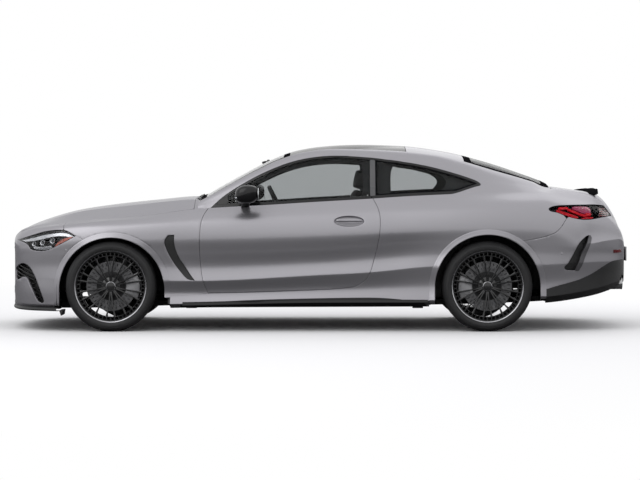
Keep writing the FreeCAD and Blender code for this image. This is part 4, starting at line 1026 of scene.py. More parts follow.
def pane(space, on, depth, band, tint=None):
    """Glass and the printed band round it, as parts with their materials."""
    clear = sheet_metal(grown(space, -band), on, depth, rings=0.0002)
    edge = sheet_metal(both(space, not_in(grown(space, -band))), on, depth, rings=0.0004, sunk=0.0002)
    return [(clear, tint or tinted_glass), (edge, ceramic_black)]


def two_sided(parts):
    """Parts of the +Y half and their mirror images."""
    return [(whole(part), material) for part, material in parts]


screen_space = both(grown(roof_centre_space, -0.004), past(-0.926), short_of(-0.229))
made_piece("windscreen_glass", two_sided(pane(screen_space, (HOUSE,), 0.004, 0.045, screen_glass)), "body",
    "window_glass", "windscreen")
rear_glass_space = both(grown(roof_centre_space, -0.004), past(1.134), short_of(1.797))
made_piece("rear_window_glass", two_sided(pane(rear_glass_space, (HOUSE,), 0.004, 0.055, privacy_glass)),
    "body", "window_glass", "rear_window")
roof_pane = sheet_metal(both(grown(roof_centre_space, -0.003), past(-0.224), short_of(0.673)), (HOUSE,),
    0.02)
made_piece("roof_glass_panel", two_sided([(roof_pane, roof_glass)]), "body", "gloss_black", "roof_glass")
roof_skin = sheet_metal(both(grown(roof_centre_space, -0.003), past(0.679), short_of(1.128)), (HOUSE,),
    0.02)
made_piece("roof_skin", two_sided([(roof_skin, paint)]), "body", "body_paint", "roof_panel")

inner_window = both(grown(window_space, -SURROUND), over_strip)
door_pane_space = both(inner_window, short_of(POST_FRONT - 0.002))
quarter_space = both(inner_window, past(POST_REAR + 0.002))
door_pane = sheet_metal(door_pane_space, (WINDOW_HOUSE,), 0.004, rings=0.0002, sunk=0.003)
quarter_parts = pane(quarter_space, (WINDOW_HOUSE,), 0.004, 0.012)
made_piece("quarter_glass", two_sided(quarter_parts), "body", "window_glass", "quarter_windows")
for side, turn in SHEET_SIDES:
    made_piece(side + "_door_pane", [(turn(door_pane), tinted_glass)], side + "_door", "window_glass",
        side + "_door_glass")

# ------------------------------------------------------------ window surrounds
# Gloss black extruded strips round the side windows and along the belt, and the cover of the
# post between door glass and quarter glass.
frame_space = both(window_space, not_in(grown(window_space, -SURROUND)), over_strip)
strip_space = both(window_space, not_in(over_strip))
post_space = both(inner_window, past(POST_FRONT), short_of(POST_REAR))
surround = [(sheet_metal(both(frame_space, past(-0.78)), (WINDOW_HOUSE,), 0.012), gloss_black),
    (sheet_metal(both(strip_space, past(0.408)), (WINDOW_HOUSE,), 0.012), gloss_black),
    (sheet_metal(post_space, (WINDOW_HOUSE,), 0.012), post_grey)]
made_piece("window_surrounds", two_sided(surround), "body", "gloss_black")
belt_strip = joined(sheet_metal(both(strip_space, short_of(0.4)), (WINDOW_HOUSE,), 0.012),
    sheet_metal(both(frame_space, short_of(-0.785)), (WINDOW_HOUSE,), 0.012))
for side, turn in SHEET_SIDES:
    made_piece(side + "_belt_strip", [(turn(belt_strip), gloss_black)], side + "_door", "gloss_black")

# ------------------------------------------------------------ tyres
# Low-profile tyres on 20-inch rims, 265 mm wide in front and 295 mm behind: moulded rubber with four
# grooves round the tread, slots across its shoulders and fine ribs on the side walls.
def shaped(points, faces, bevel=0.0, segments=2):
    """A form with its faces outwards and, where asked, its sharp edges rounded."""
    form = bmesh.new()
    corners = [form.verts.new(p) for p in points]
    for face in faces:
        form.faces.new([corners[int(k)] for k in face])
    bmesh.ops.remove_doubles(form, verts=form.verts, dist=1e-6)
    bmesh.ops.recalc_face_normals(form, faces=form.faces)
    if bevel:
        sharp = [edge for edge in form.edges if len(edge.link_faces) == 2 and edge.calc_face_angle(0) > 0.5]
        bmesh.ops.bevel(form, geom=sharp, offset=bevel, segments=segments, profile=0.5, affect="EDGES",
            clamp_overlap=True)
    form.verts.index_update()
    made = np.array([v.co[:] for v in form.verts]), None, [[v.index for v in f.verts] for f in form.faces]
    form.free()
    return made


def prism(outline, start, end, bevel=0.0, segments=2, axis=1):
    """A solid from a closed outline, drawn along one axis between two places."""
    outline = np.asarray(outline)
    count = len(outline)
    points = np.concatenate([np.insert(outline, axis, start, axis=1),
        np.insert(outline, axis, end, axis=1)])
    faces = [list(range(count)), list(range(2 * count - 1, count - 1, -1))]
    faces += [[k, k + count, (k + 1) % count + count, (k + 1) % count] for k in range(count)]
    return shaped(points, faces, bevel, segments)


def block(low, high, bevel=0.004, segments=2):
    """A block between two corners with rounded edges."""
    (x0, y0, z0), (x1, y1, z1) = low, high
    return prism([(x0, z0), (x1, z0), (x1, z1), (x0, z1)], y0, y1, bevel, segments)


def turned(profile, steps):
    """A closed profile of (radius, distance inwards) turned about the axle."""
    angles = np.linspace(0, 2 * math.pi, steps + 1)[:steps]
    points = [(r * math.sin(a), d, r * math.cos(a)) for a in angles for r, d in profile]
    count, faces = len(profile), []
    for i in range(steps):
        j = (i + 1) % steps
        for k in range(count):
            m = (k + 1) % count
            faces.append([i * count + k, j * count + k, j * count + m, i * count + m])
    return np.array(points), None, faces


def lathed(profile, steps):
    """A closed profile of (radius, distance inwards) turned about the axle as a clean solid."""
    return shaped(*turned(profile, steps)[::2])


def node_group(name, sockets, kinds, wires):
    """A geometry node group, its inputs' keys and its nodes, from tables of sockets, nodes and wires."""
    made = bpy.data.node_groups.new(name, "GeometryNodeTree")
    keys = [made.interface.new_socket(socket, in_out="INPUT", socket_type="NodeSocket" + kind).identifier
        for socket, kind in sockets]
    made.interface.new_socket("Geometry", in_out="OUTPUT", socket_type="NodeSocketGeometry")
    nodes = {short: made.nodes.new(kind) for short, kind in kinds}
    for start, out, end, into in wires:
        made.links.new(nodes[start].outputs[out], nodes[end].inputs[into])
    return made, keys, nodes


def through_nodes(part, group, keys, *values):
    """The part that a geometry node group makes of a part, with values for its other inputs."""
    points, _, faces = part
    mesh = bpy.data.meshes.new("pattern")
    mesh.from_pydata(points.tolist(), [], faces)
    base = bpy.data.objects.new("pattern", mesh)
    bpy.context.collection.objects.link(base)
    maker = base.modifiers.new(group.name, "NODES")
    maker.node_group = group
    for key, value in zip(keys[1:], values):
        maker[key] = value
    bpy.context.view_layer.update()
    full = bpy.data.meshes.new_from_object(base.evaluated_get(bpy.context.evaluated_depsgraph_get()))
    base.modifiers.remove(maker)
    found = np.zeros(len(full.vertices) * 3)
    full.vertices.foreach_get("co", found)
    made = found.reshape(-1, 3), None, [list(polygon.vertices) for polygon in full.polygons]
    bpy.data.objects.remove(base)
    bpy.data.meshes.remove(mesh)
    bpy.data.meshes.remove(full)
    return made


around, around_keys, around_nodes = node_group(
    "round_the_axle",
    (("Geometry", "Geometry"), ("Count", "Int"), ("Merge Distance", "Float"), ("Surface", "Material")),
    (("given", "NodeGroupInput"), ("result", "NodeGroupOutput"), ("spots", "GeometryNodePoints"),
     ("copies", "GeometryNodeInstanceOnPoints"), ("index", "GeometryNodeInputIndex"),
     ("share", "ShaderNodeMath"), ("angle", "ShaderNodeMath"), ("turn", "ShaderNodeCombineXYZ"),
     ("real", "GeometryNodeRealizeInstances"), ("merged", "GeometryNodeMergeByDistance"),
     ("coated", "GeometryNodeSetMaterial")),
    (("given", "Count", "spots", "Count"), ("given", "Count", "share", 1), ("share", 0, "angle", 0),
     ("index", 0, "angle", 1), ("angle", 0, "turn", "Y"), ("turn", 0, "copies", "Rotation"),
     ("spots", 0, "copies", "Points"), ("given", "Geometry", "copies", "Instance"),
     ("copies", 0, "real", 0), ("real", 0, "merged", "Geometry"),
     ("given", "Merge Distance", "merged", "Distance"), ("merged", 0, "coated", "Geometry"),
     ("given", "Surface", "coated", "Material"), ("coated", 0, "result", 0)))
around_nodes["share"].operation, around_nodes["angle"].operation = "DIVIDE", "MULTIPLY"
around_nodes["share"].inputs[0].default_value = 2 * math.pi


def repeated(part, count, material, merge=0.00002):
    """A part set `count` times round the axle, its seams closed."""
    return through_nodes(part, around, around_keys, count, merge, material)


TYRE_RADIUS, OUTER_FACE, HUB_HEIGHT = 0.345, 0.937, 0.345
AXLE_X = {"front": -1.589, "rear": 1.286}
TYRE_WIDTH = {"front": 0.265, "rear": 0.295}
PITCHES, TREAD_GROOVES, GROOVE_HALF, GROOVE_DEEP = 72, (-0.3, -0.1, 0.1, 0.3), 0.0045, 0.0065
SLOT_START, SLOT_END, SLOT_DEEP = 0.036, 0.075, 0.0045
SIDE_WALL = [(0.262, 0.034), (0.2735, 0.022), (0.2745, 0.013), (0.2765, 0.0078), (0.2795, 0.0052),
    (0.2815, 0.005), (0.283, 0.0036), (0.291, 0.0012), (0.2985, 0.0002), (0.2995, 0.001), (0.3015, 0.001),
    (0.3025, 0.0002), (0.31, 0.0022), (0.3165, 0.0052), (0.3175, 0.0046), (0.3215, 0.0078),
    (0.3225, 0.0092), (0.329, 0.0145), (0.335, 0.0225), (0.3395, 0.031), (0.342, 0.0385)]
rubber = finish("tyre_rubber", (0.017, 0.017, 0.018), (0.027, 0.027, 0.028), (0.62, 0.78), 6.0, 900.0,
    0.0004)


def tyre_profile(width):
    """(radius, distance inwards) round a tyre's section from bead to bead."""
    half = width / 2
    outer = list(SIDE_WALL) + [(0.3442, 0.052)]
    tread = []
    for share_of_width in TREAD_GROOVES:
        middle = half + share_of_width * (width - 0.09)
        tread += [(TYRE_RADIUS, middle - GROOVE_HALF), (TYRE_RADIUS - GROOVE_DEEP,
            middle - GROOVE_HALF * 0.7), (TYRE_RADIUS - GROOVE_DEEP, middle + GROOVE_HALF * 0.7),
            (TYRE_RADIUS, middle + GROOVE_HALF)]
    inner = [(r, width - d) for r, d in reversed(outer)]
    return outer + tread + inner


def tyre_pitch(width):
    """One pitch of the tread: a block and the slot beside it, as thick as the tyre."""
    columns = []
    for fraction in (0.0, 0.4, 0.8, 0.82, 0.98, 1.0):
        a = 2 * math.pi / PITCHES * fraction
        column = []
        for r, d in tyre_profile(width):
            in_slot = 0.81 < fraction < 0.99 and SLOT_START < min(d, width - d) < SLOT_END and r > 0.343
            cut = SLOT_DEEP if in_slot else 0.0
            column.append(((r - cut) * math.sin(a), d, (r - cut) * math.cos(a)))
        columns.append(column)
    return ribbon(columns)


def placed(part, axle, side):
    """A part made round the axle with its outer face at 0, moved to its wheel; side is -1 or 1."""
    points, leans, faces = part
    moved = np.stack([points[:, 0] + AXLE_X[axle], side * (OUTER_FACE - points[:, 1]),
        points[:, 2] + HUB_HEIGHT], 1)
    return moved, leans, faces if side < 0 else [face[::-1] for face in faces]


WHEELS = [(axle, sign, axle + "_" + side) for axle in AXLE_X for side, sign in (("left", -1), ("right", 1))]
for tyre_axle in AXLE_X:
    tyre = repeated(tyre_pitch(TYRE_WIDTH[tyre_axle]), PITCHES, rubber)
    for axle, sign, name in [wheel for wheel in WHEELS if wheel[0] == tyre_axle]:
        made_piece(name + "_tyre_rubber", [(placed(tyre, axle, sign), rubber)], name + "_wheel", "tyre",
            name + "_tyre", sharp_degrees=38)

# ------------------------------------------------------------ wheels
# Forged 20-inch wheels in black: ten pairs of thin spokes from the hub to a ring of small
# windows inside the rim, whose outer lip is turned bright. Plain round hub cap, five wheel bolts.
wheel_black = finish("wheel_black", (0.014, 0.014, 0.015), (0.02, 0.02, 0.021), (0.24, 0.32), metallic=0.35,
    coat_weight=0.6)
bright_lip = finish("machined_lip", (0.5, 0.5, 0.52), (0.42, 0.42, 0.44), (0.24, 0.32), 8.0, metallic=1.0)
SPOKE_PAIRS, WINDOWS = 10, 50
RIM_SECTION = [(0.2745, 0.0085), (0.2755, 0.011), (0.2745, 0.0155), (0.262, 0.018), (0.256, 0.03),
    (0.256, 0.1), (0.246, 0.125), (0.246, 0.19), (0.258, 0.235), (0.273, 0.252), (0.273, 0.258),
    (0.255, 0.245), (0.241, 0.195), (0.24, 0.12), (0.25, 0.096), (0.2525, 0.05), (0.2525, 0.036),
    (0.2605, 0.0215), (0.2645, 0.0185), (0.2655, 0.0165)]
LIP_SECTION = [(0.2745, 0.0085), (0.2655, 0.0165), (0.265, 0.015), (0.2668, 0.011), (0.2712, 0.0078),
    (0.2735, 0.0072)]
SPOKE_ROOT, SPOKE_END = 0.04, 0.236


def spoke(angle_root, angle_end):
    """A tapering spoke with a rounded back, from the hub out to the ring of windows."""
    rows = []
    for t in np.linspace(0, 1, 7):
        r = SPOKE_ROOT + (SPOKE_END - SPOKE_ROOT) * t
        a = angle_root + (angle_end - angle_root) * t
        half = 0.0062 - 0.0016 * math.sin(math.pi * min(t * 1.15, 1)) + 0.0034 * max(0.0, t - 0.82) / 0.18
        face = 0.0295 + 0.01 * (1 - t) ** 2 - 0.004 * t
        deep = 0.034 - 0.01 * t
        section = [(-half, face + 0.0018), (-half * 0.6, face), (half * 0.6, face), (half, face + 0.0018),
            (half * 0.8, face + deep * 0.7), (half * 0.4, face + deep), (-half * 0.4, face + deep),
            (-half * 0.8, face + deep * 0.7)]
        rows.append([(r * math.sin(a) + w * math.cos(a), d, r * math.cos(a) - w * math.sin(a))
            for w, d in section])
    points = [p for row in rows for p in row]
    wide = len(rows[0])
    faces = [
        [i * wide + k, (i + 1) * wide + k, (i + 1) * wide + (k + 1) % wide, i * wide + (k + 1) % wide]
            for i in range(len(rows) - 1) for k in range(wide)]
    faces += [list(range(wide))[::-1], [(len(rows) - 1) * wide + k for k in range(wide)]]
    return shaped(points, faces)


def window_pitch():
    """One small window of the ring inside the rim, with the bars round it."""
    pitch = 2 * math.pi / WINDOWS
    inner, outer, bar, ring = 0.2325, 0.261, 0.0082, 0.0042
    face, deep = 0.0262, 0.022
    radii, half = (inner, inner + ring, outer - ring, outer), bar / 2 / 0.247
    angles = (0.0, half, pitch - half, pitch)
    points = [(r * math.sin(a), d, r * math.cos(a)) for d in (face, face + deep) for r in radii
        for a in angles]
    faces = []

    def at(layer, i, j):
        return layer * 16 + i * 4 + j

    for i in range(3):
        for j in range(3):
            if (i, j) != (1, 1):
                faces.append([at(0, i, j), at(0, i, j + 1), at(0, i + 1, j + 1), at(0, i + 1, j)])
                faces.append([at(1, i, j), at(1, i + 1, j), at(1, i + 1, j + 1), at(1, i, j + 1)])
    for a, b in (((1, 1), (1, 2)), ((1, 2), (2, 2)), ((2, 2), (2, 1)), ((2, 1), (1, 1))):
        faces.append([at(0, *a), at(0, *b), at(1, *b), at(1, *a)])
    for i in (0, 3):
        for j in range(3):
            faces.append([at(0, i, j), at(1, i, j), at(1, i, j + 1), at(0, i, j + 1)])
    return np.array(points), None, faces


spoke_pair = joined_plain(spoke(-0.075, -0.135), spoke(0.075, 0.135))
ring = repeated(window_pitch(), WINDOWS, wheel_black)
ring = shaped(ring[0], ring[2])
spokes = repeated(spoke_pair, SPOKE_PAIRS, wheel_black, 0.0)
hub = lathed([(0.0001, 0.029), (0.028, 0.0292), (0.0345, 0.0308), (0.0365, 0.034), (0.0385, 0.0415),
    (0.048, 0.043), (0.066, 0.047), (0.07, 0.05), (0.07, 0.062), (0.052, 0.069), (0.0001, 0.069)], 60)
cap_ring = lathed([(0.0335, 0.0292), (0.0362, 0.0312), (0.0362, 0.0345), (0.0335, 0.034)], 60)
bolt_hex = [(0.0085 * math.sin(k * math.pi / 3), 0.052 + 0.0085 * math.cos(k * math.pi / 3))
    for k in range(6)]
bolts = repeated(prism(bolt_hex, 0.04, 0.052, 0.001), 5, wheel_black, 0.0)
valve = prism([(0.228 + 0.003 * math.cos(k * math.pi / 4), 0.003 * math.sin(k * math.pi / 4))
    for k in range(8)], 0.024, 0.05, 0.0008)
rim, lip = lathed(RIM_SECTION, 144), lathed(LIP_SECTION, 144)
for axle, sign, name in WHEELS:
    black = joined_plain(*[placed(part, axle, sign) for part in (rim, ring, spokes, hub, bolts, valve)])
    bright = joined_plain(placed(lip, axle, sign), placed(cap_ring, axle, sign))
    made_piece(name + "_rim", [(black, wheel_black), (bright, bright_lip)], name + "_wheel", "wheel_paint",
        name + "_wheel", sharp_degrees=32)

# ------------------------------------------------------------ brake discs
# Vented cast-iron discs 380 mm across, cross-drilled and turned bright where the pads run, on
# black hats bolted to the hubs.
disc_iron = finish("disc_iron", (0.17, 0.17, 0.175), (0.12, 0.12, 0.125), (0.28, 0.4), 30.0, 1200.0, 0.0002,
    metallic=1.0)
hat_black = finish("hat_black", (0.03, 0.03, 0.032), (0.045, 0.045, 0.047), (0.5, 0.65), metallic=0.4)
DISC_FACE, DISC_DEEP, DISC_WALL = 0.0865, 0.034, 0.009
DISC_RADIUS, PAD_INNER, DISC_PITCHES = 0.19, 0.112, 36
BOX_FACES = [[0, 1, 2, 3], [4, 7, 6, 5], [0, 4, 5, 1], [1, 5, 6, 2], [2, 6, 7, 3], [3, 7, 4, 0]]


def disc_pitch():
    """One pitch of a disc's ring: its two faces with their drilled holes, and the vane between them."""
    pitch = 2 * math.pi / DISC_PITCHES
    parts = []
    steps_across = np.linspace(PAD_INNER, DISC_RADIUS, 8)
    holes = {(1, 1), (2, 1), (4, 3), (5, 3)}
    steps_round = np.linspace(0, pitch, 6)
    for face in (DISC_FACE, DISC_FACE + DISC_DEEP - DISC_WALL):
        points = [(r * math.sin(a), d, r * math.cos(a)) for d in (face, face + DISC_WALL)
            for r in steps_across for a in steps_round]
        layer, wide = len(steps_across) * len(steps_round), len(steps_round)
        faces = []
        for i in range(len(steps_across) - 1):
            for j in range(wide - 1):
                k = i * wide + j
                if (i, j) in holes:
                    walls = {(i, j - 1): (k + wide, k), (i, j + 1): (k + 1, k + wide + 1),
                        (i - 1, j): (k, k + 1), (i + 1, j): (k + wide + 1, k + wide)}
                    faces += [[a, b, b + layer, a + layer] for beside, (a, b) in walls.items()
                        if beside not in holes]
                else:
                    faces.append([k, k + 1, k + wide + 1, k + wide])
                    faces.append([k + layer, k + wide + layer, k + wide + 1 + layer, k + 1 + layer])
        for i in (0, len(steps_across) - 1):
            for j in range(wide - 1):
                k = i * wide + j
                faces.append([k, k + layer, k + layer + 1, k + 1])
        parts.append((np.array(points), None, faces))
    vane = [(r * math.sin(a), d, r * math.cos(a)) for d in (DISC_FACE + 0.008,
        DISC_FACE + DISC_DEEP - 0.008) for r, a in ((PAD_INNER + 0.004, 0.05), (DISC_RADIUS - 0.003, 0.075),
        (DISC_RADIUS - 0.003, 0.1), (PAD_INNER + 0.004, 0.085))]
    parts.append(shaped(vane, BOX_FACES))
    return joined_plain(*parts)


disc_ring = repeated(disc_pitch(), DISC_PITCHES, disc_iron)
disc_ring = shaped(disc_ring[0], disc_ring[2])
hat = lathed([(0.0345, 0.0705), (0.082, 0.0705), (0.084, 0.073), (0.084, 0.088), (0.114, 0.091),
    (0.114, 0.098), (0.078, 0.098), (0.076, 0.078), (0.0345, 0.078)], 72)
for axle, sign, name in WHEELS:
    made_piece(name + "_disc", [(placed(disc_ring, axle, sign), disc_iron),
        (placed(hat, axle, sign), hat_black)], name + "_wheel", "disc_iron", name + "_brake_disc")

# ------------------------------------------------------------ grille and intakes
# Black moulded grille with plain level slats across the nose, crescent intakes at its corners,
# a slot below, and a black plastic splitter along the bottom edge of the bumper.
plastic = finish("black_plastic", (0.014, 0.014, 0.015), (0.022, 0.022, 0.023), (0.45, 0.6), 7.0, 900.0,
    0.0003)
stacked, stacked_keys, _ = node_group(
    "row_of_blades",
    (("Geometry", "Geometry"), ("Count", "Int"), ("Step", "Vector"), ("Surface", "Material")),
    (("given", "NodeGroupInput"), ("result", "NodeGroupOutput"), ("line", "GeometryNodeMeshLine"),
     ("copies", "GeometryNodeInstanceOnPoints"), ("real", "GeometryNodeRealizeInstances"),
     ("coated", "GeometryNodeSetMaterial")),
    (("given", "Count", "line", "Count"), ("given", "Step", "line", "Offset"),
     ("line", 0, "copies", "Points"), ("given", "Geometry", "copies", "Instance"),
     ("copies", 0, "real", 0), ("real", 0, "coated", "Geometry"),
     ("given", "Surface", "coated", "Material"), ("coated", 0, "result", 0)))


def in_a_row(part, count, step, material):
    """A part repeated at even steps along a line."""
    return through_nodes(part, stacked, stacked_keys, count, step, material)


def end_x(y, z, end=-1):
    """How far along the nose (-1) or tail (1) skin lies at a place in front view."""
    some = range(0, 90) if end < 0 else range(len(x_row) - 1, len(x_row) - 91, -1)
    xs = [float(np.interp(z, side_grid[i][:, 2], side_grid[i][:, 0])) for i in some]
    ys = [float(np.interp(z, side_grid[i][:, 2], side_grid[i][:, 1])) for i in some]
    return float(np.interp(abs(y), ys, xs))


def bowl(space, on, depth):
    """The walls and the back of a recess."""
    return flipped(sheet_metal(space, on, depth, front=False, rings=[(0.0, 0.0002)]))


def both_plain(part):
    """A plain part and its mirror image."""
    return joined_plain(part, flipped(other_side(part)))


GRILLE_HALF, GRILLE_LOW, GRILLE_HIGH, SLATS = 0.424, 0.306, 0.634, 7
mouth_space = front_window(GRILLE_HALF, GRILLE_LOW, GRILLE_HIGH, 0.066)
mouth_frame = both(mouth_space, not_in(grown(mouth_space, -0.014)))
frame_part = whole(sheet_metal(mouth_frame, (FRONT_SIDE,), 0.03))
mouth_bowl = whole(bowl(grown(mouth_space, -0.012), (FRONT_SIDE,), 0.075))
slat_middle = (GRILLE_LOW + GRILLE_HIGH) / 2
slat_step = (GRILLE_HIGH - GRILLE_LOW - 0.02) / (SLATS + 1)
slat = []
for y in np.linspace(-GRILLE_HALF + 0.02, GRILLE_HALF - 0.02, 61):
    front = end_x(y, slat_middle) + 0.012
    slat.append([(front + dx, y, GRILLE_LOW + 0.01 + slat_step + dz) for dx, dz in ((0.0, 0.0),
        (0.003, 0.0045), (0.012, 0.006), (0.046, 0.003), (0.048, -0.001), (0.012, -0.005), (0.003, -0.0038),
        (0.0, 0.0))])
slats = in_a_row(flipped(ribbon(slat)), SLATS, (0, 0, slat_step), plastic)
post = prism([(0, GRILLE_LOW + 0.012), (0.03, GRILLE_LOW + 0.012), (0.03, GRILLE_HIGH - 0.012),
    (0, GRILLE_HIGH - 0.012)], -0.004, 0.004, 0.001)
posts = []
for y in (-0.3, -0.2, -0.1, 0, 0.1, 0.2, 0.3):
    posts.append((post[0] + [end_x(y, slat_middle) + 0.03, y, 0], None, post[2]))
made_piece("grille_slats", [(joined_plain(slats, *posts), plastic)], "body", "black_plastic", "grille")
made_piece("grille_frame", [(frame_part, gloss_black), (mouth_bowl, liner_felt)], "body", "gloss_black")

intake_bowl = whole(bowl(grown(intake_space, 0.0005), (FRONT_SIDE,), 0.045))
slot_bowl = whole(bowl(grown(lower_intake_space, 0.0005), (FRONT_SIDE,), 0.05))
made_piece("intake_walls", [(intake_bowl, plastic), (slot_bowl, plastic)], "body", "black_plastic")
fin_parts = []
for z in (0.27, 0.3, 0.33, 0.36, 0.39, 0.42, 0.45):
    fin_space = both(intake_space, lambda p, z=z: np.abs(p[..., 2] - z + 0.35 * (p[..., 0] + 2.2)) - 0.004)
    fin_parts.append(sheet_metal(fin_space, (FRONT_SIDE,), 0.02, rings=0.0004, sunk=0.012))
made_piece("intake_fins", [(whole(joined(*fin_parts)), gloss_black)], "body", "gloss_black")


def swept_edge(row_name, start, end, profile, on_row=False):
    """A strip along one of the body's rows, with its profile's heights from the ground or from the row."""
    row = rows[row_name]
    tangent = np.gradient(row[:, :2], axis=0)
    outwards = unit(np.stack([-tangent[:, 1], tangent[:, 0]], 1))
    columns = []
    for k in np.nonzero((row[:, 0] >= start) & (row[:, 0] <= end))[0]:
        x, y, z = row[k]
        out_x, out_y = outwards[k]
        columns.append([(x + out_x * out, max(y + out_y * out, 0.0), z + height if on_row else height)
            for out, height in profile])
    return ribbon(columns)


SPLITTER = [(-0.03, 0.186), (-0.008, 0.182), (-0.002, 0.178), (0.003, 0.172), (0.006, 0.166),
    (0.006, 0.161), (0.003, 0.1565), (-0.005, 0.154), (-0.04, 0.153), (-0.08, 0.156)]
splitter = both_plain(swept_edge("sill", -2.43, -1.995, SPLITTER))
flap_outline = [(-1.985, 0.16), (-1.955, 0.162), (-1.962, 0.122), (-1.972, 0.12)]
flap = prism(flap_outline, 0.7, 0.885, 0.002)
made_piece("splitter", [(joined_plain(splitter, both_plain(flap)), plastic)], "body", "black_plastic")

# ------------------------------------------------------------ headlamps
# Clear polycarbonate lenses over black housings with a heavy brow, bright bezels, three
# projector units and a reflex marker towards the wheel.
clear_glass = glass_material("lamp_glass", (0.93, 0.94, 0.95), 1.2)
lamp_silver = finish("lamp_silver", (0.62, 0.62, 0.64), (0.5, 0.5, 0.52), (0.16, 0.24), 20.0, metallic=1.0)
lamp_dark = finish("lamp_housing", (0.02, 0.02, 0.022), (0.035, 0.035, 0.037), (0.3, 0.4), 12.0,
    metallic=0.3)
marker = finish("marker_lens", (0.62, 0.13, 0.07), (0.52, 0.09, 0.05), (0.2, 0.3), 40.0, 1500.0, 0.0004,
    coat_weight=1.0)
lit_white = finish("daylight_strip", (0.75, 0.78, 0.82), (0.68, 0.7, 0.74), (0.2, 0.3), 20.0,
    coat_weight=1.0)
BROW = curved([(-2.36, 0.73, 1), (-1.9, 0.82), (-1.84, 0.76, 1), (-1.86, 0.728), (-1.92, 0.752),
    (-1.99, 0.757), (-2.1, 0.742), (-2.2, 0.716), (-2.3, 0.694), (-2.36, 0.684, 1)])
BEZEL = curved([(-2.34, 0.683, 1), (-2.2, 0.714), (-2.1, 0.739), (-1.99, 0.754), (-1.92, 0.749),
    (-1.86, 0.726, 1), (-1.89, 0.722), (-1.95, 0.73), (-2.02, 0.728), (-2.1, 0.71), (-2.2, 0.69),
    (-2.34, 0.676, 1)])
MARKER = curved([(-2.025, 0.645, 1), (-1.985, 0.688), (-1.93, 0.715), (-1.875, 0.727, 1), (-1.88, 0.715),
    (-1.95, 0.675, 1)])
LOW_BEZEL = curved([(-2.2, 0.628, 1), (-2.1, 0.62), (-2.04, 0.636, 1), (-2.06, 0.652), (-2.13, 0.642),
    (-2.2, 0.646, 1)])
lamp_bowl = whole(bowl(grown(headlamp_space, 0.0004), (FRONT_SIDE, FRONT_TOP), 0.05))
rim_space = both(headlamp_space, not_in(grown(headlamp_space, -0.0065)))
lamp_rim = whole(sheet_metal(grown(rim_space, -0.0005), (FRONT_SIDE, FRONT_TOP), 0.006, rings=0.0003,
    sunk=0.0015))
lens = whole(sheet_metal(grown(headlamp_space, -0.007), (FRONT_SIDE, FRONT_TOP), 0.003, rings=0.0003,
    sunk=0.001))
insides = []
for outline, material, sunk, deep in ((BROW, gloss_black, 0.008, 0.014), (BEZEL, lamp_silver, 0.012, 0.008),
        (MARKER, marker, 0.008, 0.02), (LOW_BEZEL, lamp_silver, 0.014, 0.01)):
    space = both(grown(headlamp_space, -0.004), from_side(outline))
    insides.append((whole(sheet_metal(space, (FRONT_SIDE, FRONT_TOP), deep, rings=[(0.001, 0.0008)],
        sunk=sunk)), material))
unit_parts = {lamp_silver: [], clear_glass: [], gloss_black: []}
PROJECTOR = [(0.0001, -0.011), (0.008, -0.0095), (0.0145, -0.004), (0.0165, 0.0)]
for x, z, size in ((-2.185, 0.668, 0.85), (-2.115, 0.68, 1.0), (-2.035, 0.694, 1.0)):
    aim = Vector((-0.55, 0.83, 0.0)).normalized()
    turn = aim.to_track_quat("-Y", "Z").to_matrix()
    centre = Vector((x, side_y(x, z) - 0.022, z))
    for material, profile in ((lamp_silver, [(0.017, -0.004), (0.0235, -0.0065), (0.0245, -0.004),
            (0.0245, 0.02), (0.017, 0.02)]), (clear_glass, PROJECTOR + [(0.0001, 0.0)]),
            (gloss_black, [(0.0001, 0.004), (0.017, 0.004), (0.017, 0.022), (0.0001, 0.022)])):
        points, _, faces = lathed([(r * size, d * size) for r, d in profile], 40)
        points = np.array([turn @ Vector(p) + centre for p in points])
        unit_parts[material].append((points, None, faces))
for material, found in unit_parts.items():
    both_units = joined_plain(*found)
    insides.append((both_plain(both_units), material))
made_piece("headlamp_insides", insides + [(lamp_bowl, lamp_dark)], "body", "black_plastic")
made_piece("headlamp_lenses", [(lens, clear_glass), (lamp_rim, gloss_black)], "body", "lamp_glass",
    "headlamps")

# ------------------------------------------------------------ tail lamps
# Dark red polycarbonate lenses that wrap round the tail, with bright slanted blades of light
# divided by black bars, a pale upper strip and a smoked rear end, in a black frame.
blade_red = finish("blade_red", (0.66, 0.003, 0.016), (0.55, 0.002, 0.012), (0.2, 0.3), 30.0,
    specular_ior_level=0.25)
deep_red = finish("deep_red", (0.16, 0.004, 0.008), (0.11, 0.003, 0.006), (0.2, 0.3), 30.0,
    specular_ior_level=0.3)
smoked_red = finish("smoked_red", (0.02, 0.016, 0.018), (0.03, 0.02, 0.024), (0.15, 0.22), 30.0,
    specular_ior_level=0.02)
rose = finish("rose_lens", (0.4, 0.028, 0.12), (0.27, 0.02, 0.07), (0.2, 0.3), 60.0,
    specular_ior_level=0.35)
LIGHT_BLADES = [
    [(1.8102, 0.9174), (1.8189, 0.9291), (1.8786, 0.9138), (1.9369, 0.8934), (1.982, 0.8774),
        (1.9908, 0.8592), (1.966, 0.8592), (1.9078, 0.8737), (1.8422, 0.8934)],
    [(1.8262, 0.9378), (1.8379, 0.9516), (1.9019, 0.9531), (1.9107, 0.9436), (1.8859, 0.9378),
        (1.8532, 0.9334)],
    [(1.8976, 0.9334), (1.9165, 0.9392), (1.966, 0.9189), (2.0097, 0.9007), (2.0504, 0.8912),
        (2.0643, 0.881), (2.0315, 0.8788), (1.9951, 0.8897), (1.9442, 0.9116)],
    [(2.006, 0.8643), (2.0665, 0.8737), (2.108, 0.8723), (2.0912, 0.8563), (2.0475, 0.8519)],
    [(2.0432, 0.9072), (2.0934, 0.9028), (2.0825, 0.881), (2.0548, 0.8868)]]
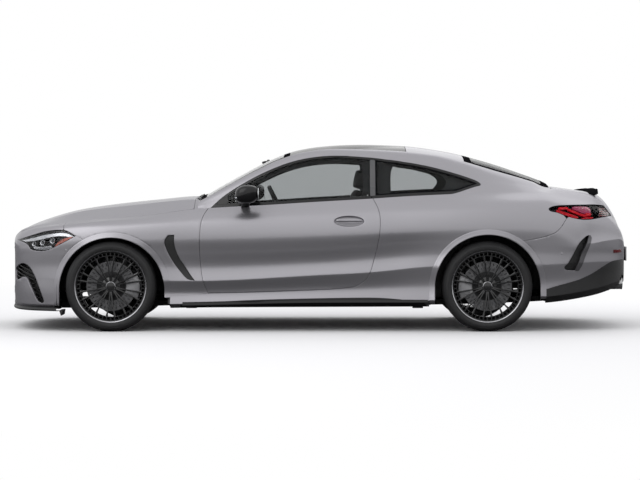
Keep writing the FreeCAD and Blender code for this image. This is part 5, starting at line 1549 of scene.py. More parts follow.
UPPER_LENS = curved([(1.9427, 0.9465), (1.966, 0.9574), (2.0388, 0.9567), (2.081, 0.9465), (2.0883, 0.9116),
    (2.0534, 0.9028), (2.0097, 0.913), (1.9704, 0.9305)])
SMOKED = curved([(2.155, 1.0, 1), (2.165, 0.93), (2.14, 0.86), (2.14, 0.8, 1), (2.5, 0.8, 1),
    (2.5, 1.0, 1)])
TAIL_SURFACES = (REAR_SIDE, REAR_TOP)
lamp_black = finish("lamp_black", (0.008, 0.008, 0.009), (0.012, 0.012, 0.013), (0.3, 0.4),
    specular_ior_level=0.0)
LAMP_SURFACES = (finer(REAR_SIDE, 1.72, 2.36), finer(REAR_TOP, 1.72, 2.36))
lamp_face = grown(tail_lamp_space, -0.0055)
upper_lens, smoked = from_side(UPPER_LENS), from_side(SMOKED)
tail_cover = glass_material("tail_cover", (0.92, 0.9, 0.9), 1.03)
BLADE_EDGE = [(0.0008, 0.0004), (0.0018, 0.0016), (0.0022, 0.0034)]
blades = [sheet_metal(both(grown(lamp_face, -0.004), from_side(np.array(outline))), LAMP_SURFACES, 0.012,
    rings=BLADE_EDGE, sunk=0.006) for outline in LIGHT_BLADES]
tail_back = sheet_metal(grown(tail_lamp_space, -0.001), LAMP_SURFACES, 0.004, rings=0.0004, sunk=0.016)
tail_frame = sheet_metal(both(grown(tail_lamp_space, -0.001), not_in(lamp_face)), LAMP_SURFACES, 0.018,
    rings=0.0004, sunk=0.0005)
strip_part = sheet_metal(both(grown(lamp_face, -0.004), upper_lens), LAMP_SURFACES, 0.01, rings=BLADE_EDGE,
    sunk=0.007)
smoked_part = sheet_metal(both(grown(lamp_face, -0.004), smoked), LAMP_SURFACES, 0.006, rings=BLADE_EDGE,
    sunk=0.009)
smoked_ribs = [sheet_metal(both(grown(lamp_face, -0.008), smoked, above(low), below(low + 0.006)),
    LAMP_SURFACES, 0.005, rings=0.0006, sunk=0.006) for low in (0.884, 0.9, 0.916, 0.932)]
lamp_cover = sheet_metal(grown(lamp_face, 0.001), LAMP_SURFACES, 0.0025, rings=0.0003, sunk=0.0008)
made_piece("tail_lamp_lenses", [(whole(joined(*blades)), blade_red), (whole(strip_part), rose),
    (whole(smoked_part), smoked_red), (whole(joined(*smoked_ribs)), deep_red),
    (whole(joined(tail_back, tail_frame)), lamp_black), (whole(lamp_cover), tail_cover)], "body",
    "tail_lens", "tail_lamps")

# ------------------------------------------------------------ tail trim
# A black lip spoiler on the lid, upright vents with painted blades at the bumper's corners, reflectors,
# and a black diffuser with four fins round two pairs of polished tailpipes. The blades' silver is a
# darker copy of the body paint: painted shade for blades that face rearwards, away from the light.
LIP = [(2.045, 1.066), (2.06, 1.074), (2.1, 1.0815), (2.14, 1.086), (2.168, 1.0885), (2.175, 1.0865),
    (2.171, 1.078), (2.163, 1.064), (2.158, 1.05), (2.1, 1.058)]
LIP_HALF, LIP_BASE = 0.505, 1.058
deck_row = top_grid[int(np.argmin(abs(x_row - 2.1)))]
lip_columns = []
for y in np.linspace(-LIP_HALF, LIP_HALF, 61):
    bend = (abs(y) / LIP_HALF) ** 2.4
    pinch = 1 - 0.75 * ramp(abs(y), 0.36, LIP_HALF)
    drop = float(np.interp(-abs(y), -deck_row[:, 1], deck_row[:, 2])) - 1.0645
    column = [(x + 0.02 - 0.02 * bend, y, LIP_BASE + (z - LIP_BASE) * pinch + drop * 0.95) for x, z in LIP]
    lip_columns.append(column + column[:1])
lip_part = ribbon(lip_columns)
caps = [list(range(len(LIP))), [len(lip_part[0]) - 1 - k for k in range(len(LIP))]]
lip_part = shaped(lip_part[0], lip_part[2] + caps)
made_piece("lip_spoiler", [(lip_part, ceramic_black)], "boot_lid", "gloss_black", "boot_spoiler")

vent_bowl = bowl(grown(rear_vent_space, 0.0005), TAIL_SURFACES, 0.04)
VENT_BLADE = curved([(2.07, 0.74, 1), (2.086, 0.715), (2.07, 0.655), (2.036, 0.575), (2.012, 0.51),
    (1.985, 0.463, 1), (1.957, 0.463, 1), (1.984, 0.52), (2.004, 0.58), (2.044, 0.66)])
# A darker copy of the silver body paint for the vent blades: painted shade, as they face away from the
# light.
shaded_blade_paint = finish("shaded_blade_paint", (0.13, 0.127, 0.135), (0.11, 0.108, 0.116), (0.34, 0.4), 900.0,
    metallic=0.7)
vent_blade = sheet_metal(from_side(VENT_BLADE), TAIL_SURFACES, 0.02, sunk=-0.004)
made_piece("rear_vents", [(whole(vent_bowl), plastic)], "body", "black_plastic")
made_piece("rear_vent_blades", [(whole(vent_blade), shaded_blade_paint)], "body", "body_paint")
reflector_space = both(lambda p: np.abs(p[..., 2] - 0.607) - 0.011, past(2.268), beyond(0.6))
reflector = sheet_metal(reflector_space, TAIL_SURFACES, 0.006, sunk=-0.0025)
made_piece("rear_reflectors", [(whole(reflector), deep_red)], "body", "tail_lens")
PLATE_LOW = 0.517
plate_white = finish("blank_plate", (0.62, 0.62, 0.6), (0.56, 0.56, 0.55), (0.35, 0.45), 12.0)
plate_x = end_x(0, 0.56, 1) + 0.002
plate = block((plate_x - 0.004, -0.26, PLATE_LOW), (plate_x + 0.004, 0.26, PLATE_LOW + 0.112), 0.003)
made_piece("plate_panel", [(plate, plate_white)], "body", "body_paint")


def pipe_room(p):
    """The rounded opening round each pair of tailpipes."""
    across = np.maximum(np.abs(np.abs(p[..., 1]) - 0.4875) - 0.087, 0)
    return np.maximum(np.hypot(across, np.maximum(np.abs(p[..., 2] - 0.345) - 0.035, 0)) - 0.035,
        2.2 - p[..., 0])


diffuser_skin = sheet_metal(both(diffuser_space, not_in(flares[1]), not_in(pipe_room)), (REAR_SIDE,), 0.014)
pipe_wall = joined_plain(block((2.205, 0.355, 0.305), (2.238, 0.715, 0.425), 0.006),
    block((2.22, 0.355, 0.421), (2.325, 0.63, 0.433), 0.005), block((2.22, 0.352, 0.325),
    (2.355, 0.366, 0.43), 0.005), block((2.22, 0.609, 0.31), (2.3, 0.623, 0.43), 0.005))
PIPES = [(0.43, 0.352), (0.545, 0.352)]
PIPE_RADIUS, PIPE_WALL, PIPE_BACK = 0.045, 0.0028, 2.357
exhaust = finish("exhaust_steel", (0.5, 0.5, 0.51), (0.4, 0.4, 0.41), (0.18, 0.28), 15.0, metallic=1.0)
soot = finish("pipe_inside", (0.012, 0.012, 0.012), (0.02, 0.02, 0.02), (0.7, 0.85))
pipe_parts, soot_parts = [], []
for y, z in PIPES + [(-y, z) for y, z in PIPES]:
    for profile, kept in (([(PIPE_RADIUS - PIPE_WALL, 0.16), (PIPE_RADIUS - PIPE_WALL, 0.006),
            (PIPE_RADIUS - 0.001, 0.0), (PIPE_RADIUS + 0.0015, 0.0012), (PIPE_RADIUS + 0.002, 0.005),
            (PIPE_RADIUS, 0.012), (PIPE_RADIUS, 0.16)], pipe_parts), ([(0.0001, 0.07),
            (PIPE_RADIUS - PIPE_WALL - 0.0005, 0.07), (PIPE_RADIUS - PIPE_WALL - 0.0005, 0.075),
            (0.0001, 0.075)], soot_parts)):
        points, _, faces = lathed(profile, 64)
        kept.append(shaped(np.stack([PIPE_BACK - points[:, 1], y + points[:, 0], z + points[:, 2]], 1),
            faces))
made_piece("polished_tailpipes", [(joined_plain(*pipe_parts), exhaust), (joined_plain(*soot_parts), soot)],
    "body", "exhaust_steel", "tailpipes")
fin_outline = [(2.02, 0.262), (2.2, 0.285), (2.33, 0.318), (2.378, 0.35), (2.372, 0.375), (2.3, 0.345),
    (2.15, 0.312), (2.02, 0.295)]
fins = in_a_row(prism(fin_outline, -0.2825, -0.2775, 0.0015), 5, (0, 0.14, 0), plastic)
made_piece("diffuser_skin", [(whole(diffuser_skin), plastic), (both_plain(pipe_wall), plastic),
    (fins, plastic)], "body", "black_plastic", "rear_diffuser")
sensors = []
for x, z in ((1.85, 0.595), (-1.925, 0.62)):
    disc = lathed([(0.0001, -0.0015), (0.009, -0.0012), (0.0105, 0.0), (0.0105, 0.006), (0.0001, 0.006)],
        24)
    sensors.append(shaped(disc[0] * [1, -1, 1] + [x, side_y(x, z), z], disc[2]))
made_piece("parking_sensors", [(both_plain(joined_plain(*sensors)), paint)], "body", "body_paint")

# ------------------------------------------------------------ underside trays
# Flat black plastic trays clipped under the nose, the sills and the tail, cut back round the
# wheels so that these can turn and steer.
tray = []
for k in range(0, len(x_row), 3):
    x, y, z = rows["keel"][k]
    in_arch = min(abs(x - centre[0]) for centre in ARCHES.values()) < 0.47
    half = min(y, 0.6 if x > 0 else 0.485) if in_arch else max(y - 0.004, 0.0)
    tray.append([(x, half, z + 0.002), (x, half * 0.5, z + 0.002), (x, 0, z + 0.002),
        (x, -half * 0.5, z + 0.002), (x, -half, z + 0.002), (x, -half, z + 0.007), (x, 0, z + 0.007),
        (x, half, z + 0.007), (x, half, z + 0.002)])
made_piece("under_trays", [(ribbon(tray), liner_felt)], "body", "underbody")

# ------------------------------------------------------------ side trim
# Black moulded insets in the fender vents, and gloss black blades along the sills with a lip
# that stands out under the doors.
vent_inset = whole(sheet_metal(grown(vent_space, 0.004), (FRONT_SIDE,), 0.004, sunk=0.011))
made_piece("fender_vents", [(vent_inset, plastic)], "body", "black_plastic")
blade_skin = sheet_metal(grown(blade_space, -0.001), (SIDE,), 0.01)
LIP_PROFILE = [(-0.012, 0.026), (-0.004, 0.022), (0.004, 0.01), (0.012, 0.004), (0.015, -0.001),
    (0.013, -0.005), (0.004, -0.007), (-0.02, -0.007), (-0.05, -0.004)]
blade_lip = swept_edge("sill", -1.05, 0.84, [(out, up - 0.008) for out, up in LIP_PROFILE], on_row=True)
made_piece("sill_blades", [(whole(blade_skin), gloss_black), (both_plain(blade_lip), gloss_black)], "body",
    "gloss_black")

# ------------------------------------------------------------ door handles
# Flush body-coloured pull bars across oval hollows pressed in the door skins, which leave room
# for a hand behind the bar.
(handle_x, handle_z), (reach_x, reach_z) = HANDLE_CENTRE, HANDLE_REACH
cup = []
for angle in np.linspace(0, 2 * math.pi, 49)[:-1]:
    column = []
    for t in (1.03, 1.0, 0.985, 0.95, 0.85, 0.7, 0.5, 0.25, 0.02):
        x, z = handle_x + reach_x * t * math.cos(angle), handle_z + reach_z * t * math.sin(angle)
        sink = 0.0045 if t > 1.01 else 0.0005 if t == 1.0 else 0.024 * math.sqrt(max(0.0, 1 - t * t))
        column.append((x, side_y(x, z) - sink, z))
    cup.append(column)
cup_part = ribbon(cup, closed=True)
cup_part = (cup_part[0], None, cup_part[2] + [[k * 9 + 8 for k in range(48)]])
bar = []
for t in np.linspace(0, 1, 25):
    x = handle_x - 0.103 + 0.206 * t
    end = min(t, 1 - t)
    rise = 0.012 * min(1.0, end / 0.06) ** 0.5 - 0.006
    half = 0.0105 * (0.55 + 0.45 * min(1.0, end / 0.08) ** 0.5)
    middle = side_y(x, handle_z) + rise
    ring_points = [(x, middle + 0.0055 * math.cos(a) * (1.15 if math.cos(a) > 0 else 1),
        handle_z + 0.004 + half * math.sin(a)) for a in np.linspace(0, 2 * math.pi, 17)]
    bar.append(ring_points)
bar_part = ribbon(bar)
bar_part = (bar_part[0], None, bar_part[2] + [list(range(16)), [24 * 17 + k for k in range(15, -1, -1)]])
bar_part = shaped(bar_part[0], bar_part[2])
for side_name, turn in PLAIN_SIDES:
    made_piece(side_name + "_handle_hollow", [(turn(flipped(cup_part)), paint)], side_name + "_door",
        "body_paint")
    made_piece(side_name + "_handle_bar", [(turn(bar_part), paint)], side_name + "_door", "body_paint")

# ------------------------------------------------------------ mirrors
# Gloss black shells on slim feet at the front of the door's belt, with a repeater strip along
# the front and a bright glass facing the driver.
mirror_glass = finish("mirror_glass", (0.78, 0.79, 0.8), (0.74, 0.75, 0.76), (0.03, 0.05), 5.0,
    metallic=1.0)
MIRROR_SECTIONS = [(0.842, 0.04, 0.034, 0.0), (0.852, 0.062, 0.048, 0.0), (0.872, 0.08, 0.06, 0.0),
    (0.905, 0.09, 0.068, 0.002), (0.945, 0.092, 0.07, 0.004), (0.98, 0.086, 0.067, 0.006),
    (1.002, 0.07, 0.056, 0.008), (1.013, 0.048, 0.038, 0.01), (1.017, 0.022, 0.016, 0.011)]
MIRROR_X, MIRROR_Z, MIRROR_BACK = -0.548, 1.043, -0.462


def rounded_ring(y, half_x, half_z, lift):
    """One section of the mirror's shell: round in front, flat at the back."""
    made = []
    for k in range(40):
        a = 2 * math.pi * k / 40
        c, s = math.cos(a), math.sin(a)
        x = MIRROR_X + half_x * math.copysign(abs(c) ** 0.75, c) + 0.012 * s
        z = MIRROR_Z + lift + half_z * math.copysign(abs(s) ** 0.8, s)
        made.append((min(x, MIRROR_BACK), y, z))
    return made


shell_rings = [rounded_ring(*section) for section in MIRROR_SECTIONS]
wide = len(shell_rings[0])
shell_points = [p for found in shell_rings for p in found]
shell_faces = [
    [i * wide + k, i * wide + (k + 1) % wide, (i + 1) * wide + (k + 1) % wide, (i + 1) * wide + k]
        for i in range(len(shell_rings) - 1) for k in range(wide)]
shell_faces += [list(range(wide)), [(len(shell_rings) - 1) * wide + k for k in range(wide)]]
shell = shaped(shell_points, shell_faces)
foot = shaped([(-0.6, 0.798, 0.938), (-0.535, 0.798, 0.945), (-0.53, 0.798, 0.962), (-0.6, 0.798, 0.962),
    (-0.585, 0.86, 0.985), (-0.525, 0.86, 0.985), (-0.52, 0.87, 1.005), (-0.585, 0.87, 1.005)], BOX_FACES,
    0.006, 3)
glass_loop = [(0.935 + 0.064 * math.copysign(abs(math.cos(a)) ** 0.7, math.cos(a)),
    MIRROR_Z + 0.003 + 0.05 * math.copysign(abs(math.sin(a)) ** 0.7, math.sin(a)))
    for a in np.linspace(0, 2 * math.pi, 41)[:-1]]
glass = prism(glass_loop, MIRROR_BACK - 0.001, MIRROR_BACK + 0.003, 0.0008, axis=0)
strip_rings = []
for y in np.linspace(0.868, 0.998, 14):
    half = float(np.interp(y, [s[0] for s in MIRROR_SECTIONS], [s[1] for s in MIRROR_SECTIONS]))
    x = MIRROR_X - half + 0.001
    strip_rings.append([(x - 0.0022, y, 1.026), (x - 0.0022, y, 1.019), (x + 0.01, y, 1.018),
        (x + 0.01, y, 1.027), (x - 0.0022, y, 1.026)])
repeater = ribbon(strip_rings)
corner_piece = sheet_metal(both(door_pane_space, short_of(-0.7)), (WINDOW_HOUSE,), 0.006, sunk=-0.001)
for (side_name, turn), (_, turn_sheet) in zip(PLAIN_SIDES, SHEET_SIDES):
    made_piece(side_name + "_mirror_shell", [(turn(shell), gloss_black), (turn(foot), gloss_black),
        (turn(glass), mirror_glass), (turn(repeater), lit_white)], side_name + "_door", "gloss_black",
        side_name + "_mirror")
    made_piece(side_name + "_mirror_corner", [(turn_sheet(corner_piece), gloss_black)], side_name + "_door",
        "gloss_black")

# ------------------------------------------------------------ brake calipers and hub carriers
# Cast aluminium calipers in silver-grey paint, each with two piston bosses, bolted astride the disc;
# the front ones sit on forged steel carriers that turn with the steering.
caliper_grey = finish("caliper_grey", (0.34, 0.34, 0.35), (0.28, 0.28, 0.29), (0.3, 0.42), 40.0, 900.0,
    0.0002, metallic=0.5, coat_weight=0.4)
cast_steel = finish("cast_steel", (0.1, 0.1, 0.102), (0.06, 0.058, 0.056), (0.45, 0.62), 14.0, 500.0,
    0.0006, metallic=0.7)
CALIPER_INNER, CALIPER_OUTER, CALIPER_HALF = 0.118, 0.225, 0.49


def sector(inner, outer, half_angle):
    """The outline of a piece of ring in the wheel's plane, its middle towards the tail."""
    angles = np.linspace(-half_angle, half_angle, 15)
    return [(outer * math.cos(a), outer * math.sin(a)) for a in angles] + [
        (inner * math.cos(a), inner * math.sin(a)) for a in angles[::-1]]


def boss(x, z, start, end, radius):
    """A round boss with a softened rim, standing across the car."""
    points, _, faces = turned([(0.0001, start), (radius, start), (radius, end - 0.003),
        (radius - 0.003, end), (0.0001, end)], 32)
    return shaped(points + [x, 0, z], faces)


def on_axle(part, axle, towards):
    """A part made round the axle's middle, moved to its axle; towards -1 turns it to face the nose."""
    points, _, faces = part
    moved = points * [towards, 1, 1] + [AXLE_X[axle], 0, HUB_HEIGHT]
    return shaped(moved, faces)


caliper = joined_plain(prism(sector(CALIPER_INNER, CALIPER_OUTER - 0.004, CALIPER_HALF - 0.04), 0.8685,
    0.8765, 0.003), prism(sector(0.193, CALIPER_OUTER, CALIPER_HALF), 0.778, 0.8745, 0.007, 3),
    prism(sector(CALIPER_INNER, CALIPER_OUTER - 0.004, CALIPER_HALF - 0.04), 0.776, 0.812, 0.006, 3),
    boss(0.155, 0.042, 0.87, 0.8785, 0.023), boss(0.155, -0.042, 0.87, 0.8785, 0.023),
    boss(0.209, 0.0, 0.87, 0.8785, 0.007), boss(0.202, 0.062, 0.87, 0.8785, 0.006),
    boss(0.202, -0.062, 0.87, 0.8785, 0.006))
UPRIGHT = [(-0.04, -0.105), (0.03, -0.115), (0.085, -0.075), (0.17, -0.085), (0.175, -0.05), (0.085, -0.02),
    (0.085, 0.03), (0.175, 0.055), (0.168, 0.085), (0.07, 0.075), (0.04, 0.1), (0.028, 0.205),
    (-0.02, 0.212), (-0.036, 0.09), (-0.042, 0.0)]
upright = joined_plain(prism(curved(UPRIGHT, 3), 0.69, 0.772, 0.008, 3), boss(0, 0, 0.66, 0.806, 0.058),
    boss(0, 0, 0.8, 0.8125, 0.04), boss(0.16, -0.068, 0.68, 0.78, 0.011),
    boss(0.16, 0.07, 0.68, 0.78, 0.011))
for side, turn in PLAIN_SIDES:
    made_piece(side + "_knuckle_and_caliper", [(turn(on_axle(upright, "front", 1)), cast_steel),
        (turn(on_axle(caliper, "front", 1)), caliper_grey)], side + "_knuckle", "axle_steel",
        side + "_knuckle")
made_piece("rear_caliper_castings", [(both_plain(on_axle(caliper, "rear", -1)), caliper_grey)], "body",
    "caliper_paint", "rear_calipers")

# ------------------------------------------------------------ front seats
# Sports seats in black leather over foam, sewn from centre panels and raised side bolsters with
# piped seams, on moulded plastic shells and steel rails.
leather = finish("black_leather", (0.05, 0.048, 0.048), (0.066, 0.063, 0.063), (0.42, 0.55), 7.0, 1100.0,
    0.0006)
trim_black = finish("trim_black", (0.028, 0.028, 0.029), (0.038, 0.038, 0.039), (0.5, 0.62), 9.0, 1300.0,
    0.0004)
soft_trim = finish("soft_trim", (0.045, 0.045, 0.046), (0.06, 0.059, 0.06), (0.6, 0.72), 9.0, 700.0, 0.0005)
satin_metal = finish("satin_metal", (0.42, 0.42, 0.43), (0.34, 0.34, 0.35), (0.28, 0.38), 12.0, 900.0,
    0.0001, metallic=0.9)
SEAT_CENTRE = 0.37


def pad(path, half_widths, thickness, bolster=0.0, seams=(), channels=(), across=72, along=56, centre=0.0):
    """A cushion along a path of (x, z) points: a crowned face with bolsters and seams, and a flat back."""
    knots = np.linspace(0, 1, len(path))
    u = np.linspace(0.0, 1.0, along)
    u = 0.5 - 0.5 * np.cos(np.pi * u)
    line = np.stack([eased(list(zip(knots, np.array(path)[:, k])), u) for k in (0, 1)], 1)
    tangent = unit(np.gradient(line, axis=0))
    normal = np.stack([-tangent[:, 1], tangent[:, 0]], 1)
    half = eased(list(zip(np.linspace(0, 1, len(half_widths)), half_widths)), u)
    end_round = (1 - np.abs(2 * u - 1) ** 9) ** 0.5
    side_round = (1 - np.abs(2 * u - 1) ** 12) ** 0.5
    columns = []
    for turn in np.linspace(0, 2 * np.pi, across, endpoint=False):
        over, up = math.cos(turn), math.sin(turn)
        v = math.copysign(abs(over) ** 0.42, over)
        w = math.copysign(abs(up) ** 0.42, up)
        lift = thickness * end_round * w
        if w > 0:
            raised = float(np.clip((abs(v) - 0.52) / 0.22, 0, 1))
            raised = raised * raised * (3 - 2 * raised)
            lift = lift + bolster * raised * w * np.clip(np.minimum(u, 1 - u) / 0.16, 0, 1)
            lift = lift + 0.008 * (1 - min(abs(v) / 0.5, 1) ** 2) * w * end_round
            for seam in seams:
                lift = lift - 0.0075 * math.exp(-((abs(v) - seam) / 0.02) ** 2) * w
            for channel in channels:
                lift = lift - 0.0065 * np.exp(-((u - channel) / 0.012) ** 2) * w * (
                    1 if abs(v) < 0.53 else 0)
        y = centre + half * side_round * v
        columns.append(np.stack([line[:, 0] + normal[:, 0] * lift, y, line[:, 1] + normal[:, 1] * lift],
            1).tolist())
    columns.append(columns[0])
    made = ribbon(columns)
    return shaped(made[0], made[2])


def moved(part, offset):
    """A plain part moved by an offset."""
    return part[0] + np.array(offset), None, part[2]


def tube(path, radius, sides=8):
    """A round tube along a path of points, closed at its ends."""
    path = np.array(path, float)
    ahead = unit(np.gradient(path, axis=0))
    aside = unit(np.cross(ahead, [0.13, 0.21, 0.97]))
    upward = np.cross(ahead, aside)
    columns = []
    for turn in np.linspace(0, 2 * np.pi, sides + 1):
        columns.append((path + radius * (math.cos(turn) * aside + math.sin(turn) * upward)).tolist())
    made = ribbon(columns)
    return shaped(made[0], made[2])


SEAT_PATH = [(-0.366, 0.335), (-0.35, 0.372), (-0.28, 0.388), (-0.12, 0.382), (0.06, 0.37), (0.135, 0.372)]
BACK_PATH = [(0.145, 0.4), (0.172, 0.5), (0.205, 0.66), (0.25, 0.84), (0.292, 0.98), (0.318, 1.07)]
HEAD_PATH = [(0.312, 1.085), (0.318, 1.12), (0.325, 1.16), (0.335, 1.2), (0.343, 1.226)]
seat_base = pad(SEAT_PATH, [0.225, 0.24, 0.243, 0.243, 0.235, 0.22], 0.062, 0.026, (0.53,),
    (0.3, 0.45, 0.6))
seat_back = pad(BACK_PATH[::-1], [0.15, 0.19, 0.215, 0.235, 0.238, 0.225], 0.048, 0.034, (0.53,),
    (0.3, 0.42, 0.54, 0.66))
seat_head = pad(HEAD_PATH[::-1], [0.11, 0.125, 0.128, 0.122, 0.105], 0.04, 0.0, (0.62,))
SHELL = [(0.2, 0.4), (0.265, 0.62), (0.33, 0.86), (0.378, 1.06), (0.386, 1.12), (0.372, 1.13),
    (0.345, 1.06), (0.3, 0.9), (0.235, 0.62), (0.16, 0.36), (0.15, 0.3), (0.18, 0.3)]
SKIRT = [(-0.35, 0.285), (-0.352, 0.33), (-0.1, 0.335), (0.16, 0.33), (0.185, 0.4), (0.215, 0.4),
    (0.2, 0.285), (0.15, 0.27), (-0.31, 0.265)]
rail = [(-0.33, 0.252), (-0.33, 0.27), (0.16, 0.27), (0.16, 0.252)]
for side, sign in (("left", -1), ("right", 1)):
    at = (0, sign * SEAT_CENTRE, 0)
    for part_name, part, full in (("cushion", seat_base, 0.8), ("back", seat_back, 0.8),
            ("head", seat_head, 0.85)):
        cushion = made_piece(side + "_seat_" + part_name, [(moved(part, at), leather)], "body", "leather",
            *(("front_seats",) if (side, part_name) == ("left", "back") else ()), sharp_degrees=60)
    shell = joined_plain(prism(curved(SHELL, 4), -0.19, 0.19, 0.01, 3),
        prism(curved(SKIRT, 3), -0.235, -0.215, 0.004), prism(curved(SKIRT, 3), 0.215, 0.235, 0.004))
    runners = joined_plain(prism(rail, -0.2, -0.165, 0.002), prism(rail, 0.165, 0.2, 0.002),
        block((-0.3, -0.19, 0.268), (0.12, 0.19, 0.3), 0.006))
    made_piece(side + "_seat_shell", [(moved(shell, at), trim_black), (moved(runners, at), cast_steel)],
        "body", "cabin_plastic", sharp_degrees=40)

# ------------------------------------------------------------ rear seats
# Two shaped places sewn in the same leather, with a narrow padded console between them, on a
# moulded base that closes the cabin towards the boot.
REAR_BASE_PATH = [(0.655, 0.37), (0.672, 0.41), (0.74, 0.43), (0.88, 0.422), (1.02, 0.41), (1.05, 0.41)]
REAR_BACK_PATH = [(1.062, 0.925), (1.055, 0.86), (1.04, 0.74), (1.022, 0.6), (1.008, 0.5), (1.0, 0.46)]
for side, sign in (("left", -1), ("right", 1)):
    base = pad(REAR_BASE_PATH, [0.235, 0.25, 0.255, 0.25, 0.24], 0.055, 0.014, (0.53,), (0.35, 0.55),
        centre=sign * 0.325)
    back = pad(REAR_BACK_PATH, [0.19, 0.235, 0.25, 0.25, 0.24], 0.045, 0.014, (0.53,), (0.3, 0.5, 0.7),
        centre=sign * 0.325)
    for part_name, part in (("cushion", base), ("back", back)):
        cushion = made_piece(side + "_rear_seat_" + part_name, [(part, leather)], "body", "leather",
            *(("rear_seat",) if (side, part_name) == ("left", "back") else ()), sharp_degrees=60)
rear_middle = pad([(0.7, 0.4), (0.76, 0.44), (0.9, 0.445), (1.02, 0.44)], [0.05, 0.058, 0.058, 0.05], 0.03,
    across=40, along=30)
rest_pad = made_piece("rear_middle_pad", [(rear_middle, leather)], "body", "leather", sharp_degrees=60)
rear_shell = joined_plain(prism([(0.66, 0.24), (0.665, 0.33), (1.08, 0.36), (1.14, 0.36), (1.14, 0.24)],
    -0.575, 0.575, 0.01), prism([(1.085, 0.36), (1.105, 0.94), (1.14, 0.94), (1.14, 0.36)], -0.57, 0.57,
    0.01))
made_piece("rear_seat_base", [(rear_shell, soft_trim)], "body", "cabin_plastic")

# ------------------------------------------------------------ dashboard
# A soft moulded dashboard with a hood over the instruments, a tall centre screen, round air vents
# and a console with a lidded armrest between the seats.
screen_black = finish("screen_black", (0.006, 0.007, 0.009), (0.012, 0.013, 0.016), (0.08, 0.14), 6.0)
DASH = [(-0.925, 0.7), (-0.925, 0.925), (-0.87, 0.952), (-0.74, 0.962), (-0.6, 0.958), (-0.525, 0.94),
    (-0.492, 0.908), (-0.5, 0.868), (-0.525, 0.845), (-0.505, 0.81), (-0.497, 0.75), (-0.53, 0.69),
    (-0.6, 0.65), (-0.76, 0.668)]
DASH_HALF = 0.634
dash_columns = []
for y in np.linspace(-DASH_HALF, DASH_HALF, 65):
    hooded = math.exp(-((y + SEAT_CENTRE) / 0.17) ** 4)
    tuck = 0.02 * (abs(y) / DASH_HALF) ** 6
    outline = np.array(curved(DASH, 4))
    raised = np.clip((outline[:, 1] - 0.86) / 0.08, 0, 1) * np.clip((outline[:, 0] + 0.86) / 0.2, 0, 1)
    outline[:, 1] += 0.012 * hooded * raised - tuck * raised
    outline[:, 0] += 0.022 * hooded * raised
    column = [(x, y, z) for x, z in outline]
    dash_columns.append(column + column[:1])
dash_part = ribbon(dash_columns)
rim = len(dash_columns[0])
dash_part = shaped(dash_part[0], dash_part[2] + [list(range(rim - 1)),
    [len(dash_part[0]) - 2 - k for k in range(rim - 1)]])


def facing_back(part, at, tilt=0.0):
    """A part with its outer face at 0, set at a place facing the seats and tilted up by some degrees."""
    points, _, faces = part
    c, s = math.cos(math.radians(tilt)), math.sin(math.radians(tilt))
    depth, up = -points[:, 1], points[:, 2]
    turned_points = np.stack([depth * c - up * s, points[:, 0], depth * s + up * c], 1)
    return shaped(turned_points + np.array(at), faces)


def vent(radius):
    """A round air vent: its ring, its hub and the blades between them."""
    ring = lathed([(radius - 0.007, 0.006), (radius - 0.006, 0.0), (radius - 0.001, -0.004),
        (radius + 0.003, 0.0), (radius + 0.003, 0.014), (radius - 0.007, 0.014)], 40)
    hub = lathed([(0.0001, -0.002), (0.008, -0.001), (0.0095, 0.002), (0.0095, 0.012), (0.0001, 0.012)], 24)
    back = lathed([(0.0001, 0.01), (radius - 0.005, 0.01), (radius - 0.005, 0.014), (0.0001, 0.014)], 32)
    bar, _, faces = prism([(-0.0012, 0.009), (0.0012, 0.009), (0.0016, radius - 0.006),
        (-0.0016, radius - 0.006)], 0.002, 0.009)
    spun = []
    for turn in np.arange(0, 2 * np.pi, np.pi / 6):
        c, s = math.cos(turn), math.sin(turn)
        spun.append((np.stack([bar[:, 0] * c - bar[:, 2] * s, bar[:, 1], bar[:, 0] * s + bar[:, 2] * c], 1),
            None, faces))
    return ring, joined_plain(hub, back, *spun)


vent_rings, vent_cores = [], []
for y, z, radius in ((-0.09, 0.872, 0.033), (0.0, 0.872, 0.033), (0.09, 0.872, 0.033),
        (-0.585, 0.862, 0.036), (0.585, 0.862, 0.036)):
    ring, core = vent(radius)
    vent_rings.append(facing_back(ring, (-0.487, y, z), 8))
    vent_cores.append(facing_back(core, (-0.487, y, z), 8))
cluster = facing_back(block((-0.15, -0.012, -0.052), (0.15, 0.006, 0.052), 0.006, 3),
    (-0.462, -SEAT_CENTRE, 0.912), 18)
centre_screen = facing_back(block((-0.115, -0.012, -0.125), (0.115, 0.006, 0.125), 0.006, 3),
    (-0.5, 0, 0.715), 30)
glove_lid = facing_back(block((-0.17, -0.006, -0.05), (0.17, 0.01, 0.05), 0.005, 3), (-0.503, 0.37, 0.755),
    -12)
trim_strip = prism(curved([(-0.494, 0.822), (-0.482, 0.826), (-0.482, 0.842), (-0.494, 0.846)], 2), 0.15,
    0.61, 0.002)
CONSOLE = [(-0.69, 0.24), (-0.69, 0.6), (-0.6, 0.6), (-0.535, 0.54), (-0.44, 0.455), (-0.3, 0.424),
    (-0.06, 0.42), (0.325, 0.412), (0.325, 0.24)]
console = prism(CONSOLE, -0.115, 0.115, 0.014, 3)
console_top = prism([(-0.44, 0.452), (-0.3, 0.424), (-0.06, 0.42), (-0.06, 0.427), (-0.3, 0.431),
    (-0.436, 0.459)], -0.09, 0.09, 0.002)
wells = []
for x in (-0.26, -0.165):
    ring = lathed([(0.034, -0.003), (0.038, -0.004), (0.04, 0.0), (0.04, 0.003), (0.034, 0.003)], 36)
    wells.append(shaped(np.stack([ring[0][:, 0] + x, ring[0][:, 2], 0.4285 - ring[0][:, 1]], 1), ring[2]))
touch_pad = block((-0.4, -0.05, 0.447), (-0.325, 0.05, 0.458), 0.004)
